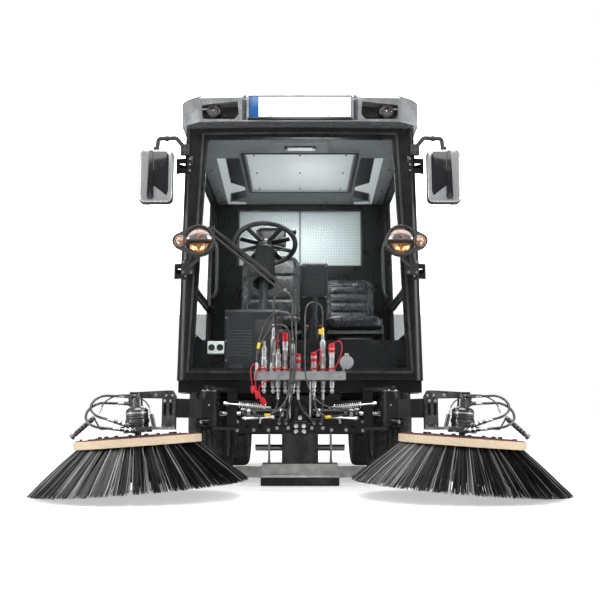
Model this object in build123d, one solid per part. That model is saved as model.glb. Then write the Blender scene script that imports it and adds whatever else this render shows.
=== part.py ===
from build123d import *
import math
import os

# Compact street sweeper.  Millimetres, +Z up, the front faces -Y, the vehicle's left is +X.
# The origin is on the ground, midway along the length and on the centre plane.

# ---------------------------------------------------------------- fits and clearances
PANEL_GAP = 6.0          # visible gap round a door or lid
PIN_PLAY = 0.05          # radial play of a pin or shaft in its bore
SEAT_GAP = 0.3           # air between a soft piece and what carries it
RUN_GAP = 5.0            # air between pieces that pass each other

# ---------------------------------------------------------------- overall
FRONT_Y = -2100.0
REAR_Y = 2100.0

# ---------------------------------------------------------------- wheels and axles
FRONT_AXLE_Y = -525.0
REAR_AXLE_Y = 1375.0
WHEEL_R = 330.0
TYRE_W = 205.0
TRACK_HALF = 492.5
RIM_R = 190.0
RIM_WALL = 6.0
RIM_DISC_T = 8.0
DISC_BOLTS = 8
DISC_BOLT_R = 165.0
HUB_R = 46.0
SPINDLE_R = 22.0
SPINDLE_L = 95.0
STUD_COUNT = 6
STUD_PCD_R = 70.0
STUD_R = 7.0
VENT_COUNT = 12
VENT_R = 13.0
VENT_PCD_R = 128.0
KINGPIN_X = 350.0
KINGPIN_R = 12.0
AXLE_Z0 = WHEEL_R - 34
AXLE_Z1 = WHEEL_R + 30
AXLE_HALF_T = 35.0
STEER_ARM = 130.0
STEER_PIN_IN = 15.0      # how far the steering arm's pin stands inboard of the kingpin
STEER_PIN_R = 8.0
TRACK_ROD_R = 9.5
TRACK_END_HALF = 10.0    # half the height of the track rod's slotted ends
KNUCKLE_EAR_T = 15.0

# ---------------------------------------------------------------- chassis
RAIL_Z0 = AXLE_Z1
RAIL_Z1 = RAIL_Z0 + 100
RAIL_IN_FRONT = 140.0
RAIL_OUT_FRONT = 200.0
RAIL_IN_REAR = 270.0
RAIL_OUT_REAR = 330.0
RAIL_FRONT_Y = -1150.0
RAIL_REAR_Y = 1980.0
RAIL_KINK_Y = (-40.0, 220.0)
RAIL_WALL = 6.0
CROSS_T = 50.0

# ---------------------------------------------------------------- cab
CAB_FRONT_Y = -1145.0
CAB_REAR_Y = 300.0
CAB_HALF = 618.0
CAB_Z0 = RAIL_Z1 + 70
CAB_Z1 = 1836.0
CAB_WALL = 32.0
CAB_CORNER_R = 55.0
CAB_BOW = 22.0           # how far the middle of the front stands ahead of its corners
CAB_TAPER = 1.04         # degrees that every wall leans in
GLASS_T = 5.0
SCREEN_Z0 = CAB_Z0 + 60
SCREEN_Z1 = 1782.0
SCREEN_HALF_LOW = CAB_HALF - 83
SCREEN_HALF_HIGH = CAB_HALF - 140
SCREEN_LAP = 22.0
REAR_WINDOW_HALF = CAB_HALF - 193
REAR_WINDOW_Z0 = 1360.0
REAR_WINDOW_Z1 = 1760.0
FLOOR_T = 12.0
FLOOR_FRONT_TOP = CAB_Z0 + 15
RISER_Y = -905.0
ARCH_R = WHEEL_R + 84
ARCH_T = 6.0
PLATFORM_TOP = WHEEL_R + ARCH_R + ARCH_T + 2
ARCH_IN_X = 222.0
SKIRT_Z0 = RAIL_Z1 + 10

# ---------------------------------------------------------------- doors
DOOR_FRONT_Y = -1085.0
DOOR_REAR_Y = 140.0
DOOR_Z0 = CAB_Z0 + 22
DOOR_STEP_Z = PLATFORM_TOP + PANEL_GAP
DOOR_Z1 = 1798.0
DOOR_ARCH_R = ARCH_R + 18
DOOR_FRAME_W = 52.0
DOOR_AXIS_X = CAB_HALF + 16
DOOR_AXIS_Y = -1100.0
HINGE_R = 9.0
HINGE_PIN_R = 4.0
HINGE_Z = (1085.0, 1640.0)
HINGE_LEAF = 26.0        # height of one hinge knuckle

# ---------------------------------------------------------------- roof
ROOF_Z1 = 1988.0
ROOF_FRONT_Y = -1235.0
ROOF_HALF = CAB_HALF - 8
ROOF_REAR_Y = 312.0
ROOF_EDGE_R = 26.0
PLATE_HALF = 260.0
PLATE_H = 112.0
PLATE_T = 3.0
PLATE_Z = 1912.0
BAY_DEPTH = 40.0         # depth of the plate bay between the roof's lamp pods
POD_IN_X = 300.0
POD_DEPTH = 60.0
POD_LAMP = (ROOF_HALF - 166, 1900.0)     # X, Z of a roof lamp
POD_LAMP_R = 25.0
HEADLINER_Z0 = 1786.0
HEADLINER_Z1 = 1800.0
HATCH_HALF = 300.0
HATCH_Y = (-880.0, -120.0)
CEILING_POD_HALF = 150.0

# ---------------------------------------------------------------- seats and controls
LAMP_CENTRE = (CAB_HALF - 120, CAB_FRONT_Y - 145, 1210.0)
LAMP_R = 68.0
LOBE_OFF = 92.0          # how far the indicator lobe's centre stands outboard of the lamp's
LOBE_R = 38.0
DRIVER_X = -200.0
WHEEL_CENTRE = (DRIVER_X, -575.0, 1340.0)
COLUMN_TILT = 31.0       # degrees from upright, leaning to the driver
STEERING_R = 185.0
STEERING_RIM_R = 13.0
COLUMN_R = 24.0
HUB_DROP = 27.0          # how far the wheel's hub reaches below its rim's plane
SEAT_DRIVER_X = (DRIVER_X - 200, DRIVER_X + 230)
SEAT_PASSENGER_X = (136.0, CAB_HALF - CAB_WALL - 92)
SEAT_FRONT_Y = -575.0
SEAT_BACK_Y = -85.0
CUSHION_Z0 = PLATFORM_TOP + 91
CUSHION_Z1 = CUSHION_Z0 + 87
BACKREST_T = 105.0

# ---------------------------------------------------------------- rear body and hopper
BODY_HALF = CAB_HALF - 6
BODY_Z0 = RAIL_Z1 + 3
BODY_Z1 = 862.0
BODY_FRONT_Y = 322.0
BODY_REAR_Y = 2010.0
BODY_WALL = 22.0
BODY_CORNER_R = 40.0
REAR_ARCH_R = WHEEL_R + 55
HOPPER_Z0 = 890.0
HOPPER_Z1 = 1960.0
HOPPER_FRONT_Y = 330.0
HOPPER_REAR_Y = 2040.0
HOPPER_HALF = BODY_HALF
HOPPER_WALL = 26.0
HOPPER_EDGE_R = 70.0
HOPPER_HINGE = (2018.0, 862.0)      # Y, Z of the tipping axis
HOPPER_HINGE_R = 16.0
HOPPER_HINGE_X = (-430.0, 430.0)
HOPPER_EYE_HALF = 23.0
HOPPER_DOOR_T = 42.0
HOPPER_DOOR_Z0 = 905.0
HOPPER_DOOR_Z1 = 1880.0
HOPPER_DOOR_AXIS = (2062.0, 1904.0)  # Y, Z of the rear door's hinge
RAM_BASE = (1811.0, RAIL_Z1 + 2.5)
RAM_TOP = (1568.6, 838.0)
RAM_R = 38.0
RAM_ROD_R = 20.0
RAM_PIN_R = 14.0
RAM_DRIFT = 12.0         # how far the head pin may leave the oversize eye's centre
DUCT_R = 95.0
DUCT_WALL = 5.0
DUCT_OUTLET_Y = 520.0
DUCT_Z = RAIL_Z1 + DUCT_R + 5
DUCT_JOINTS = (-400.0, 200.0)   # Y of the two joints between the duct's lengths

# ---------------------------------------------------------------- front beam and brushes
BEAM_Y = -1285.0
BEAM_T = 20.0
BEAM_HALF = 325.0
BEAM_Z0 = 270.0
BEAM_Z1 = 340.0
PLATE_HOLE_X = (190.0, 250.0)
PLATE_HOLE_Z = 305.0
PLATE_HOLE_R = 9.0
VALVE_HALF = 36.0
VALVE_DEPTH = 46.0
VALVE_PORTS = ((66.0, 318.0), (98.0, 318.0))     # X, Z on the left side block
PORT_R = 6.5
PORT_L = 22.0
ARM_PIN_X = 420.0
ARM_PIN_Y = -1380.0
ARM_PIN_R = 20.0
ARM_EYE_R = 44.0
ARM_Z0 = 305.0
ARM_Z1 = 465.0
EAR_T = 13.0
SWING_LEVER = 85.0
SWING_PIN_R = 8.0
SWING_ROD_R = 10.0
SWING_BARREL_R = 22.0
SWING_Z = 364.0
SWING_PORT_X = (214.0, 268.0)
SWING_DRIFT = 12.0       # how far the lever's pin leaves the rod's line at full swing
BRUSH_X = 705.0
BRUSH_Y = -1625.0
BRUSH_TILT = 4.0         # degrees that the brush leans out, so that its outer edge sweeps
BRUSH_TIP_R = 475.0
BRUSH_TIP_Z = 37.0
RING_R = 275.0
RING_IN_R = 150.0
RING_T = 33.0
RING_Z = 238.0
TUFT_COUNT = 36
TUFT_GAP = 14.0          # width of a parting between tufts at the tips
DISC_R = 215.0
DISC_T = 8.0
DISC_BOLTS = 8
DISC_BOLT_R = 165.0
BRUSH_SHAFT_R = 14.0
MOTOR_R = 48.0
LIFT = 55.0              # how far a brush can be raised
SLIDE_Y = -1586.0
SLIDE_T = 12.0
SLIDE_X = (548.0, 612.0)
SLIDE_BOLT_X = (572.0, 598.0)
SLIDE_BOLT_Z = 415.0
BOOM_Z0 = 343.0          # clears the disc's bolts by RUN_GAP when the brush is raised
BOOM_Z1 = 428.0
HEAD_PLATE_Z = 290.0
HEAD_TOP_Z = 462.0
HEAD_BRACKET_X = 738.0   # bulkhead plate that ends the two hose loops

# ---------------------------------------------------------------- couplers and hoses
TRAY_HALF = 210.0
TRAY_Y0 = -1480.0
TRAY_Y1 = -1400.0
TRAY_Z0 = 516.0
TRAY_Z1 = 551.0
SOCKET_X = 215.0
SOCKET_Z = 595.0
SOCKET_R = 31.0
ROW_FRONT_Y = -1455.0
ROW_BACK_Y = -1425.0
COUPLERS = (             # X, Y, height of the top, whether a dust cap closes it
    (-166.0, ROW_FRONT_Y, 694.0, False),
    (-101.0, ROW_FRONT_Y, 656.0, False),
    (-32.0, ROW_FRONT_Y, 681.0, False),
    (64.0, ROW_FRONT_Y, 640.0, True),
    (147.0, ROW_FRONT_Y, 681.0, True),
    (-124.0, ROW_BACK_Y, 748.0, False),
    (-69.0, ROW_BACK_Y, 735.0, True),
    (-9.0, ROW_BACK_Y, 636.0, True),
    (106.0, ROW_BACK_Y, 731.0, False),
)
COUPLER_FOOT_Z = TRAY_Z0 - 62
TRAY_FITTINGS = ((-200.0, -1466.0), (-196.0, -1440.0), (-133.0, -1466.0))
TRAY_FITTING_H = 14.0
HOSE_D = 9.0
HOSE_SLIM_D = 8.0
HOSE_THIN_D = 7.0
CABLE_D = 6.0
HEAD_HOSE_D = 11.0
HEAD_HOSE_UPPER = ((800, -1688, 326), (837.1, -1689.3, 336.9), (873, -1690, 345), (911.5, -1664, 373),
                   (911.5, -1626, 412), (873, -1600, 440), (822, -1600, 436), (776, -1600, 436))
HEAD_HOSE_LOWER = ((772, -1700, 291), (823, -1708.5, 295.3), (887, -1704, 302), (930, -1674, 333),
                   (930, -1630, 377), (887, -1600, 408), (830, -1600, 404), (776, -1600, 404))
HEAD_CABLE = ((645, -1662, 356), (653.3, -1662, 389), (676, -1676, 418), (716, -1692, 436), (764, -1702,
                                                                                             440),
              (812, -1702, 428), (850, -1696, 402), (866, -1690, 360))
HEAD_ELBOWS = ((742.0, -1686.0, 309.0), (712.0, -1690.0, 286.0))
GRIP_TOP = (894.0, -1668.0, 339.0)
GRIP_END = (988.0, -1660.0, 256.0)
GRIP_RIBS = 6

# ---------------------------------------------------------------- suction mouth
MOUTH_HALF = 195.0
MOUTH_FRONT_Y = -955.0
MOUTH_REAR_Y = -770.0
MOUTH_MID_Y = (MOUTH_FRONT_Y + MOUTH_REAR_Y) / 2
MOUTH_Z0 = 44.0
MOUTH_Z1 = 113.0
FLAP_Z0 = 3.0
WING_HALF = 335.0


# ================================================================ helpers
def block(x0, x1, y0, y1, z0, z1):
    """Box between limits on each axis."""
    centre = Pos((x0 + x1) / 2, (y0 + y1) / 2, (z0 + z1) / 2)
    return centre * Box(x1 - x0, y1 - y0, z1 - z0)


def bar(start, end, radius):
    """Round bar from one point to another."""
    a = Vector(*start)
    b = Vector(*end)
    return Solid.make_cylinder(radius, (b - a).length, Plane(origin=a, z_dir=b - a))


def pipe(start, end, radius, bore):
    """Round tube from one point to another."""
    a = Vector(*start)
    b = Vector(*end)
    along = (b - a).normalized()
    inner = bar(tuple(a - along), tuple(b + along), bore)
    return bar(start, end, radius) - inner


def side_prism(points, x0, x1):
    """Prism along X of an outline given as (y, z) points."""
    plane = Plane(origin=(x0, 0, 0), x_dir=(0, 1, 0), z_dir=(1, 0, 0))
    return extrude(plane * Polygon(*points, align=None), amount=x1 - x0, dir=(1, 0, 0))


def front_prism(points, y0, y1):
    """Prism along Y of an outline given as (x, z) points."""
    plane = Plane(origin=(0, y1, 0), x_dir=(1, 0, 0), z_dir=(0, -1, 0))
    return extrude(plane * Polygon(*points, align=None), amount=y1 - y0, dir=(0, -1, 0))


def plan_prism(points, z0, z1):
    """Prism along Z of an outline given as (x, y) points."""
    return extrude(Plane.XY.offset(z0) * Polygon(*points, align=None), amount=z1 - z0, dir=(0, 0, 1))


def axis_turned(points, place):
    """Turned body: a closed (radius, height) profile round the local Z axis, put at a place."""
    return place * revolve(Plane.XZ * Polygon(*points, align=None), Axis.Z)


def teardrop(c1, r1, c2, r2):
    """Face round two circles in a local XY plane, joined by their outer tangents."""
    dx = c2[0] - c1[0]
    dy = c2[1] - c1[1]
    turn = math.atan2(dy, dx)
    lean = math.acos((r1 - r2) / math.hypot(dx, dy))

    def at(centre, radius, angle):
        return (centre[0] + radius * math.cos(angle), centre[1] + radius * math.sin(angle))

    top = [at(c1, r1, turn + lean), at(c2, r2, turn + lean)]
    low = [at(c1, r1, turn - lean), at(c2, r2, turn - lean)]
    big = ThreePointArc(top[0], at(c1, r1, turn + math.pi), low[0])
    small = ThreePointArc(top[1], at(c2, r2, turn), low[1])
    return make_face([Line(*top), Line(*low), big, small])


def front_face_prism(face, y0, y1):
    """Prism along Y of a face drawn in (x, z)."""
    plane = Plane(origin=(0, y1, 0), x_dir=(1, 0, 0), z_dir=(0, -1, 0))
    return extrude(plane * face, amount=y1 - y0, dir=(0, -1, 0))


def other_side(shape):
    """The same shape on the vehicle's right."""
    return mirror(shape, about=Plane.YZ)


def both_sides(shape):
    """A left shape together with its mirror image."""
    return shape + other_side(shape)


def hose_radii(points):
    """Largest arc that each corner of a hose's route allows."""
    radii = []
    for before, here, after in zip(points, points[1:], points[2:]):
        a = Vector(*here) - Vector(*before)
        b = Vector(*after) - Vector(*here)
        radii.append(0.45 * min(a.length, b.length) / math.tan(math.radians(a.get_angle(b)) / 2))
    return radii


def hose(label, points, diameter):
    """Plain tube along a hose's route: straight runs joined by tangent arcs."""
    radii = hose_radii(points)
    route = FilletPolyline(*points, radius=radii)
    solid = sweep(Plane(origin=points[0], z_dir=route % 0) * Circle(diameter / 2), path=route)
    share = solid.volume / (math.pi * diameter ** 2 / 4 * route.length)
    print(f"{label}: length {route.length:.0f}, smallest radius {min(radii):.0f}, volume share {share:.3f}")
    return solid


def save(name, shape):
    """Write one node as parts/NAME.step."""
    export_step(shape, f"parts/{name}.step")


# ================================================================ wheels and axles
def tyre(side_x, axle_y):
    """Tyre as a turned ring with rounded shoulders and bulging walls."""
    half = TYRE_W / 2
    bead = half - 22
    profile = [
        (RIM_R, -bead),
        (RIM_R + 12, -bead),
        (RIM_R + 20, -bead - 10),
        (RIM_R + 62, -half),
        (WHEEL_R - 28, -half + 4),
        (WHEEL_R - 6, -half + 22),
        (WHEEL_R, -half + 48),
        (WHEEL_R, half - 48),
        (WHEEL_R - 6, half - 22),
        (WHEEL_R - 28, half - 4),
        (RIM_R + 62, half),
        (RIM_R + 20, bead + 10),
        (RIM_R + 12, bead),
        (RIM_R, bead),
    ]
    ring = revolve(Plane.XZ * Polygon(*profile, align=None), Axis.Z)
    return Pos(side_x, axle_y, WHEEL_R) * Rot(0, 90, 0) * ring


def rim(sign, axle_y):
    """Pressed steel wheel: well, dished disc with vent and stud holes, hub with a bearing bore."""
    half = TYRE_W / 2 - 22
    well = [
        (RIM_R, -half),
        (RIM_R, half),
        (RIM_R - RIM_WALL, half),
        (RIM_R - RIM_WALL, -half),
    ]
    lips = [(RIM_R + 10, half), (RIM_R + 10, half + 5), (RIM_R - RIM_WALL, half + 5), (RIM_R - RIM_WALL,
                                                                                       half)]
    disc = [
        (SPINDLE_R + PIN_PLAY, 14),
        (96, 14),
        (112, 34),
        (RIM_R - 16, 44),
        (RIM_R - RIM_WALL, 30),
        (RIM_R - RIM_WALL, 30 + RIM_DISC_T + 6),
        (RIM_R - 16, 44 + RIM_DISC_T),
        (108, 34 + RIM_DISC_T),
        (92, 14 + RIM_DISC_T),
        (SPINDLE_R + PIN_PLAY, 14 + RIM_DISC_T),
    ]
    hub = [
        (SPINDLE_R + PIN_PLAY, 14),
        (HUB_R, 14),
        (HUB_R, 14 + RIM_DISC_T - SPINDLE_L + 22),
        (SPINDLE_R + PIN_PLAY, 14 + RIM_DISC_T - SPINDLE_L + 22),
    ]
    cap = [(0, 22), (HUB_R - 8, 22), (HUB_R - 8, 46), (HUB_R - 16, 54), (0, 56)]
    sketches = [well, lips, [(r, -w) for r, w in lips][::-1], disc, hub, cap]
    wheel = Part()
    for profile in sketches:
        wheel += revolve(Plane.XZ * Polygon(*profile, align=None), Axis.Z)
    for index in range(VENT_COUNT):
        spot = Rot(0, 0, index * 360 / VENT_COUNT) * Pos(VENT_PCD_R, 0, 40)
        wheel -= spot * Cylinder(VENT_R, 40)
    for index in range(STUD_COUNT):
        spot = Rot(0, 0, index * 360 / STUD_COUNT) * Pos(STUD_PCD_R, 0, 22 + 8)
        wheel += spot * Cylinder(STUD_R, 16)
    return Pos(sign * TRACK_HALF, axle_y, WHEEL_R) * Rot(0, sign * 90, 0) * wheel


def front_axle():
    """Beam axle with a kingpin eye at each end and the pads that carry the rails."""
    eye_r = KINGPIN_R + 16
    neck = KINGPIN_X - eye_r + 4
    shoulder = KINGPIN_X - eye_r - RUN_GAP
    beam = block(-shoulder, shoulder, FRONT_AXLE_Y - AXLE_HALF_T, FRONT_AXLE_Y + AXLE_HALF_T, AXLE_Z0,
                 AXLE_Z1)
    beam += block(-neck, neck, FRONT_AXLE_Y - 22, FRONT_AXLE_Y + 22, AXLE_Z0 + 6, AXLE_Z1 - 6)
    beam -= block(-150, 150, FRONT_AXLE_Y - AXLE_HALF_T - 1, FRONT_AXLE_Y - AXLE_HALF_T + 12,
                  AXLE_Z0 + 14, AXLE_Z1 - 14)
    for sign in (-1, 1):
        x = sign * KINGPIN_X
        beam += bar((x, FRONT_AXLE_Y, AXLE_Z0 + 6), (x, FRONT_AXLE_Y, AXLE_Z1 - 6), eye_r)
        beam -= bar((x, FRONT_AXLE_Y, AXLE_Z0 - 5), (x, FRONT_AXLE_Y, AXLE_Z1 + 5), KINGPIN_R + PIN_PLAY)
    return beam


def knuckle(sign):
    """Steering knuckle: two ears on a kingpin, the wheel spindle and the steering arm."""
    x = KINGPIN_X
    low = AXLE_Z0 + 6 - RUN_GAP
    high = AXLE_Z1 - 6 + RUN_GAP
    ear = KNUCKLE_EAR_T
    ear_r = KINGPIN_R + 14
    flange_x = x + ear_r + 8
    part = bar((x, FRONT_AXLE_Y, low - ear), (x, FRONT_AXLE_Y, high + ear), KINGPIN_R)
    for z0 in (low - ear, high):
        part += bar((x, FRONT_AXLE_Y, z0), (x, FRONT_AXLE_Y, z0 + ear), ear_r)
        part += block(x, flange_x, FRONT_AXLE_Y - ear_r + 4, FRONT_AXLE_Y + ear_r - 4, z0, z0 + ear)
    part += block(x + ear_r + 6, flange_x + 8, FRONT_AXLE_Y - ear_r, FRONT_AXLE_Y + ear_r, low - ear,
                  high + ear)
    spindle_end = TRACK_HALF + 14 + RIM_DISC_T
    part += bar((flange_x, FRONT_AXLE_Y, WHEEL_R), (spindle_end - 1, FRONT_AXLE_Y, WHEEL_R), SPINDLE_R)
    pin_x = x - STEER_PIN_IN
    pin_y = FRONT_AXLE_Y + STEER_ARM
    arm = [(x - 16, FRONT_AXLE_Y), (x + 16, FRONT_AXLE_Y), (pin_x + 13, pin_y + 12), (pin_x - 13,
                                                                                      pin_y + 12)]
    part += plan_prism(arm, low - ear, low - ear + 14)
    rod_low = track_rod_z() - TRACK_END_HALF
    part += bar((pin_x, pin_y, rod_low - 6), (pin_x, pin_y, low - ear + 14), STEER_PIN_R)
    part += bar((pin_x, pin_y, rod_low - 5), (pin_x, pin_y, rod_low - SEAT_GAP), STEER_PIN_R + 12)
    return part if sign > 0 else other_side(part)


def track_rod_z():
    """Height of the track rod's axis, under the steering arms."""
    return AXLE_Z0 + 6 - RUN_GAP - KNUCKLE_EAR_T - TRACK_END_HALF - 6


def track_rod():
    """Rod that ties the two steering arms, with an oversize slot over each arm's pin."""
    z = track_rod_z()
    y = FRONT_AXLE_Y + STEER_ARM
    x = KINGPIN_X - STEER_PIN_IN
    play = 4.0
    forward = 26.0
    reach = STEER_PIN_R + play + 12
    rod = bar((-x + reach - 4, y, z), (x - reach + 4, y, z), TRACK_ROD_R)
    for sign in (-1, 1):
        mid = sign * x
        end = block(mid - reach, mid + reach, y - forward - reach + 4, y + reach, z - TRACK_END_HALF,
                    z + TRACK_END_HALF)
        slot = block(mid - STEER_PIN_R - play - 2, mid + STEER_PIN_R + play + 2,
                     y - forward - STEER_PIN_R - play,
                     y + STEER_PIN_R + play, z - 11, z + 11)
        rod += end - slot
    return rod


def rear_axle():
    """Drive axle: beam, centre housing and the two fixed hub motors with their spindles."""
    y = REAR_AXLE_Y
    part = block(-400, 400, y - AXLE_HALF_T, y + AXLE_HALF_T, AXLE_Z0, AXLE_Z1)
    part += bar((-90, y, WHEEL_R - 10), (90, y, WHEEL_R - 10), 78)
    for sign in (-1, 1):
        part += bar((sign * 340, y, WHEEL_R), (sign * 420, y, WHEEL_R), 88)
        end = sign * (TRACK_HALF + 14 + RIM_DISC_T - 1)
        part += bar((sign * 400, y, WHEEL_R), (end, y, WHEEL_R), SPINDLE_R)
    return part


# ================================================================ chassis
def chassis_frame():
    """Ladder frame: two cranked box rails and the cross members between them."""
    outline = [
        (RAIL_IN_FRONT, RAIL_FRONT_Y),
        (RAIL_OUT_FRONT, RAIL_FRONT_Y),
        (RAIL_OUT_FRONT, RAIL_KINK_Y[0] - 30),
        (RAIL_OUT_REAR, RAIL_KINK_Y[1]),
        (RAIL_OUT_REAR, RAIL_REAR_Y),
        (RAIL_IN_REAR, RAIL_REAR_Y),
        (RAIL_IN_REAR, RAIL_KINK_Y[1] + 12),
        (RAIL_IN_FRONT, RAIL_KINK_Y[0]),
    ]
    frame = both_sides(plan_prism(outline, RAIL_Z0, RAIL_Z1))
    spans = [(RAIL_FRONT_Y, RAIL_IN_FRONT), (300.0, RAIL_IN_REAR), (1255.0, RAIL_IN_REAR),
             (RAIL_REAR_Y - CROSS_T, RAIL_IN_REAR)]
    for y, half in spans:
        frame += block(-half, half, y, y + CROSS_T, RAIL_Z0 + 6, RAIL_Z1 - 6)
    for sign in (-1, 1):
        x = sign * (RAIL_IN_REAR + RAIL_OUT_REAR) / 2
        for y in (420.0, 1160.0, 1880.0):
            frame += block(x - 20, x + 20, y - 30, y + 30, RAIL_Z1, BODY_Z1 - BODY_WALL)
    foot_y, foot_z = RAM_BASE
    seat = foot_z - RAM_PIN_R - 14 - RUN_GAP
    frame += block(-RAIL_IN_REAR, RAIL_IN_REAR, foot_y - CROSS_T / 2, foot_y + CROSS_T / 2, RAIL_Z0 + 6,
                   seat)
    for x in (-RAM_R - 20, RAM_R + RUN_GAP):
        frame += block(x, x + 15, foot_y - 24, foot_y + 24, seat - 10, foot_z + 24)
    return frame + bar((-RAM_R - 20, foot_y, foot_z), (RAM_R + 20, foot_y, foot_z), RAM_PIN_R)


# ================================================================ cab
def cab_plan(offset):
    """Plan outline of the cab, its front bowed, moved out by an offset."""
    half = CAB_HALF + offset
    front = CAB_FRONT_Y - offset
    rear = CAB_REAR_Y + offset
    edge = Polyline((half, front), (half, rear), (-half, rear), (-half, front))
    bow = ThreePointArc((-half, front), (0, front - CAB_BOW), (half, front))
    face = make_face([edge, bow])
    corner = max(CAB_CORNER_R + offset, 12)
    front_corners = face.vertices().sort_by(Axis.Y)[:2]
    face = fillet(front_corners, corner)
    rear_corners = face.vertices().sort_by(Axis.Y)[-2:]
    return fillet(rear_corners, 18)


def cab_solid(offset, over=0.0):
    """Leaning block with the cab's outline, run past its two ends by an overlength."""
    spread = over * math.tan(math.radians(CAB_TAPER))
    foot = Plane.XY.offset(CAB_Z0 - over) * cab_plan(offset + spread)
    return extrude(foot, amount=CAB_Z1 - CAB_Z0 + 2 * over, taper=CAB_TAPER)


def cab_half_at(z):
    """Half width of the cab's outside at a height."""
    return CAB_HALF - (z - CAB_Z0) * math.tan(math.radians(CAB_TAPER))


def cab_ring():
    """The cab's four walls as one leaning ring."""
    return cab_solid(0) - cab_solid(-CAB_WALL, 20)


def screen_outline(grow):
    """Windscreen outline as (x, z) points, grown by a lap."""
    low = SCREEN_HALF_LOW + grow
    high = SCREEN_HALF_HIGH + grow
    z0 = SCREEN_Z0 - grow
    z1 = SCREEN_Z1 + grow
    return [(-low, z0), (low, z0), (high, z1), (-high, z1)]


def door_hinge(z, fixed):
    """Knuckles of one left door hinge: two on the pillar or the one between them on the door."""
    leaf = HINGE_LEAF
    inboard = cab_half_at(z) - 20
    at = (DOOR_AXIS_X, DOOR_AXIS_Y)
    if fixed:
        part = bar((*at, z - 1.5 * leaf), (*at, z + 1.5 * leaf), HINGE_PIN_R)
        for z0 in (z - 1.5 * leaf, z + 0.5 * leaf + 0.5):
            z1 = z0 + leaf - 0.5
            part += bar((*at, z0), (*at, z1), HINGE_R)
            part += plan_prism([(inboard, at[1] - 18), (at[0], at[1] - HINGE_R), (at[0], at[1]),
                                (inboard, at[1] - 6)], z0, z1)
        return part
    z0 = z - 0.5 * leaf + 0.5
    z1 = z + 0.5 * leaf
    part = bar((*at, z0), (*at, z1), HINGE_R)
    part += plan_prism([(at[0], at[1] - 4), (at[0] + 8, at[1]), (inboard + 10, at[1] + 46),
                        (inboard, at[1] + 46)], z0, z1)
    return part - bar((*at, z0 - 1), (*at, z1 + 1), HINGE_PIN_R + PIN_PLAY)


def cab_front_frame(ring):
    """Pillars, header and sill round the windscreen, with the pillar halves of the door hinges."""
    front_y = DOOR_FRONT_Y - PANEL_GAP
    keep = block(-800, 800, CAB_FRONT_Y - 100, front_y, CAB_Z0 - 10, CAB_Z1 + 10)
    frame = ring & keep
    frame -= front_prism(screen_outline(0), CAB_FRONT_Y - 120, CAB_FRONT_Y + 80)
    for z in HINGE_Z:
        frame += both_sides(door_hinge(z, True))
    return frame


def windscreen():
    """Bonded front glass that laps the frame round its opening."""
    skin = cab_solid(GLASS_T) - cab_solid(0, 20)
    return skin & front_prism(screen_outline(SCREEN_LAP), CAB_FRONT_Y - 120, CAB_FRONT_Y + 30)


def cab_rear_wall(ring):
    """Rear wall with its window opening and the pillars behind the doors."""
    keep = block(-800, 800, DOOR_REAR_Y + PANEL_GAP, CAB_REAR_Y + 50, PLATFORM_TOP, CAB_Z1 + 10)
    wall = ring & keep
    return wall - block(-REAR_WINDOW_HALF, REAR_WINDOW_HALF, CAB_REAR_Y - 90, CAB_REAR_Y + 10,
                        REAR_WINDOW_Z0, REAR_WINDOW_Z1)


def rear_window():
    """Flat pane that fills the rear wall's opening."""
    pane = block(-REAR_WINDOW_HALF, REAR_WINDOW_HALF, CAB_REAR_Y - 90, CAB_REAR_Y + 10,
                 REAR_WINDOW_Z0, REAR_WINDOW_Z1)
    mid = CAB_REAR_Y - 28
    return pane & block(-800, 800, mid - GLASS_T / 2, mid + GLASS_T / 2, REAR_WINDOW_Z0, REAR_WINDOW_Z1)


def arch_ring(radius, thickness, x0, x1):
    """Half ring over the front wheel."""
    ring = pipe((x0, FRONT_AXLE_Y, WHEEL_R), (x1, FRONT_AXLE_Y, WHEEL_R), radius + thickness, radius)
    return ring & block(x0, x1, FRONT_AXLE_Y - 500, FRONT_AXLE_Y + 500, SKIRT_Z0 + 10, PLATFORM_TOP)


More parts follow.
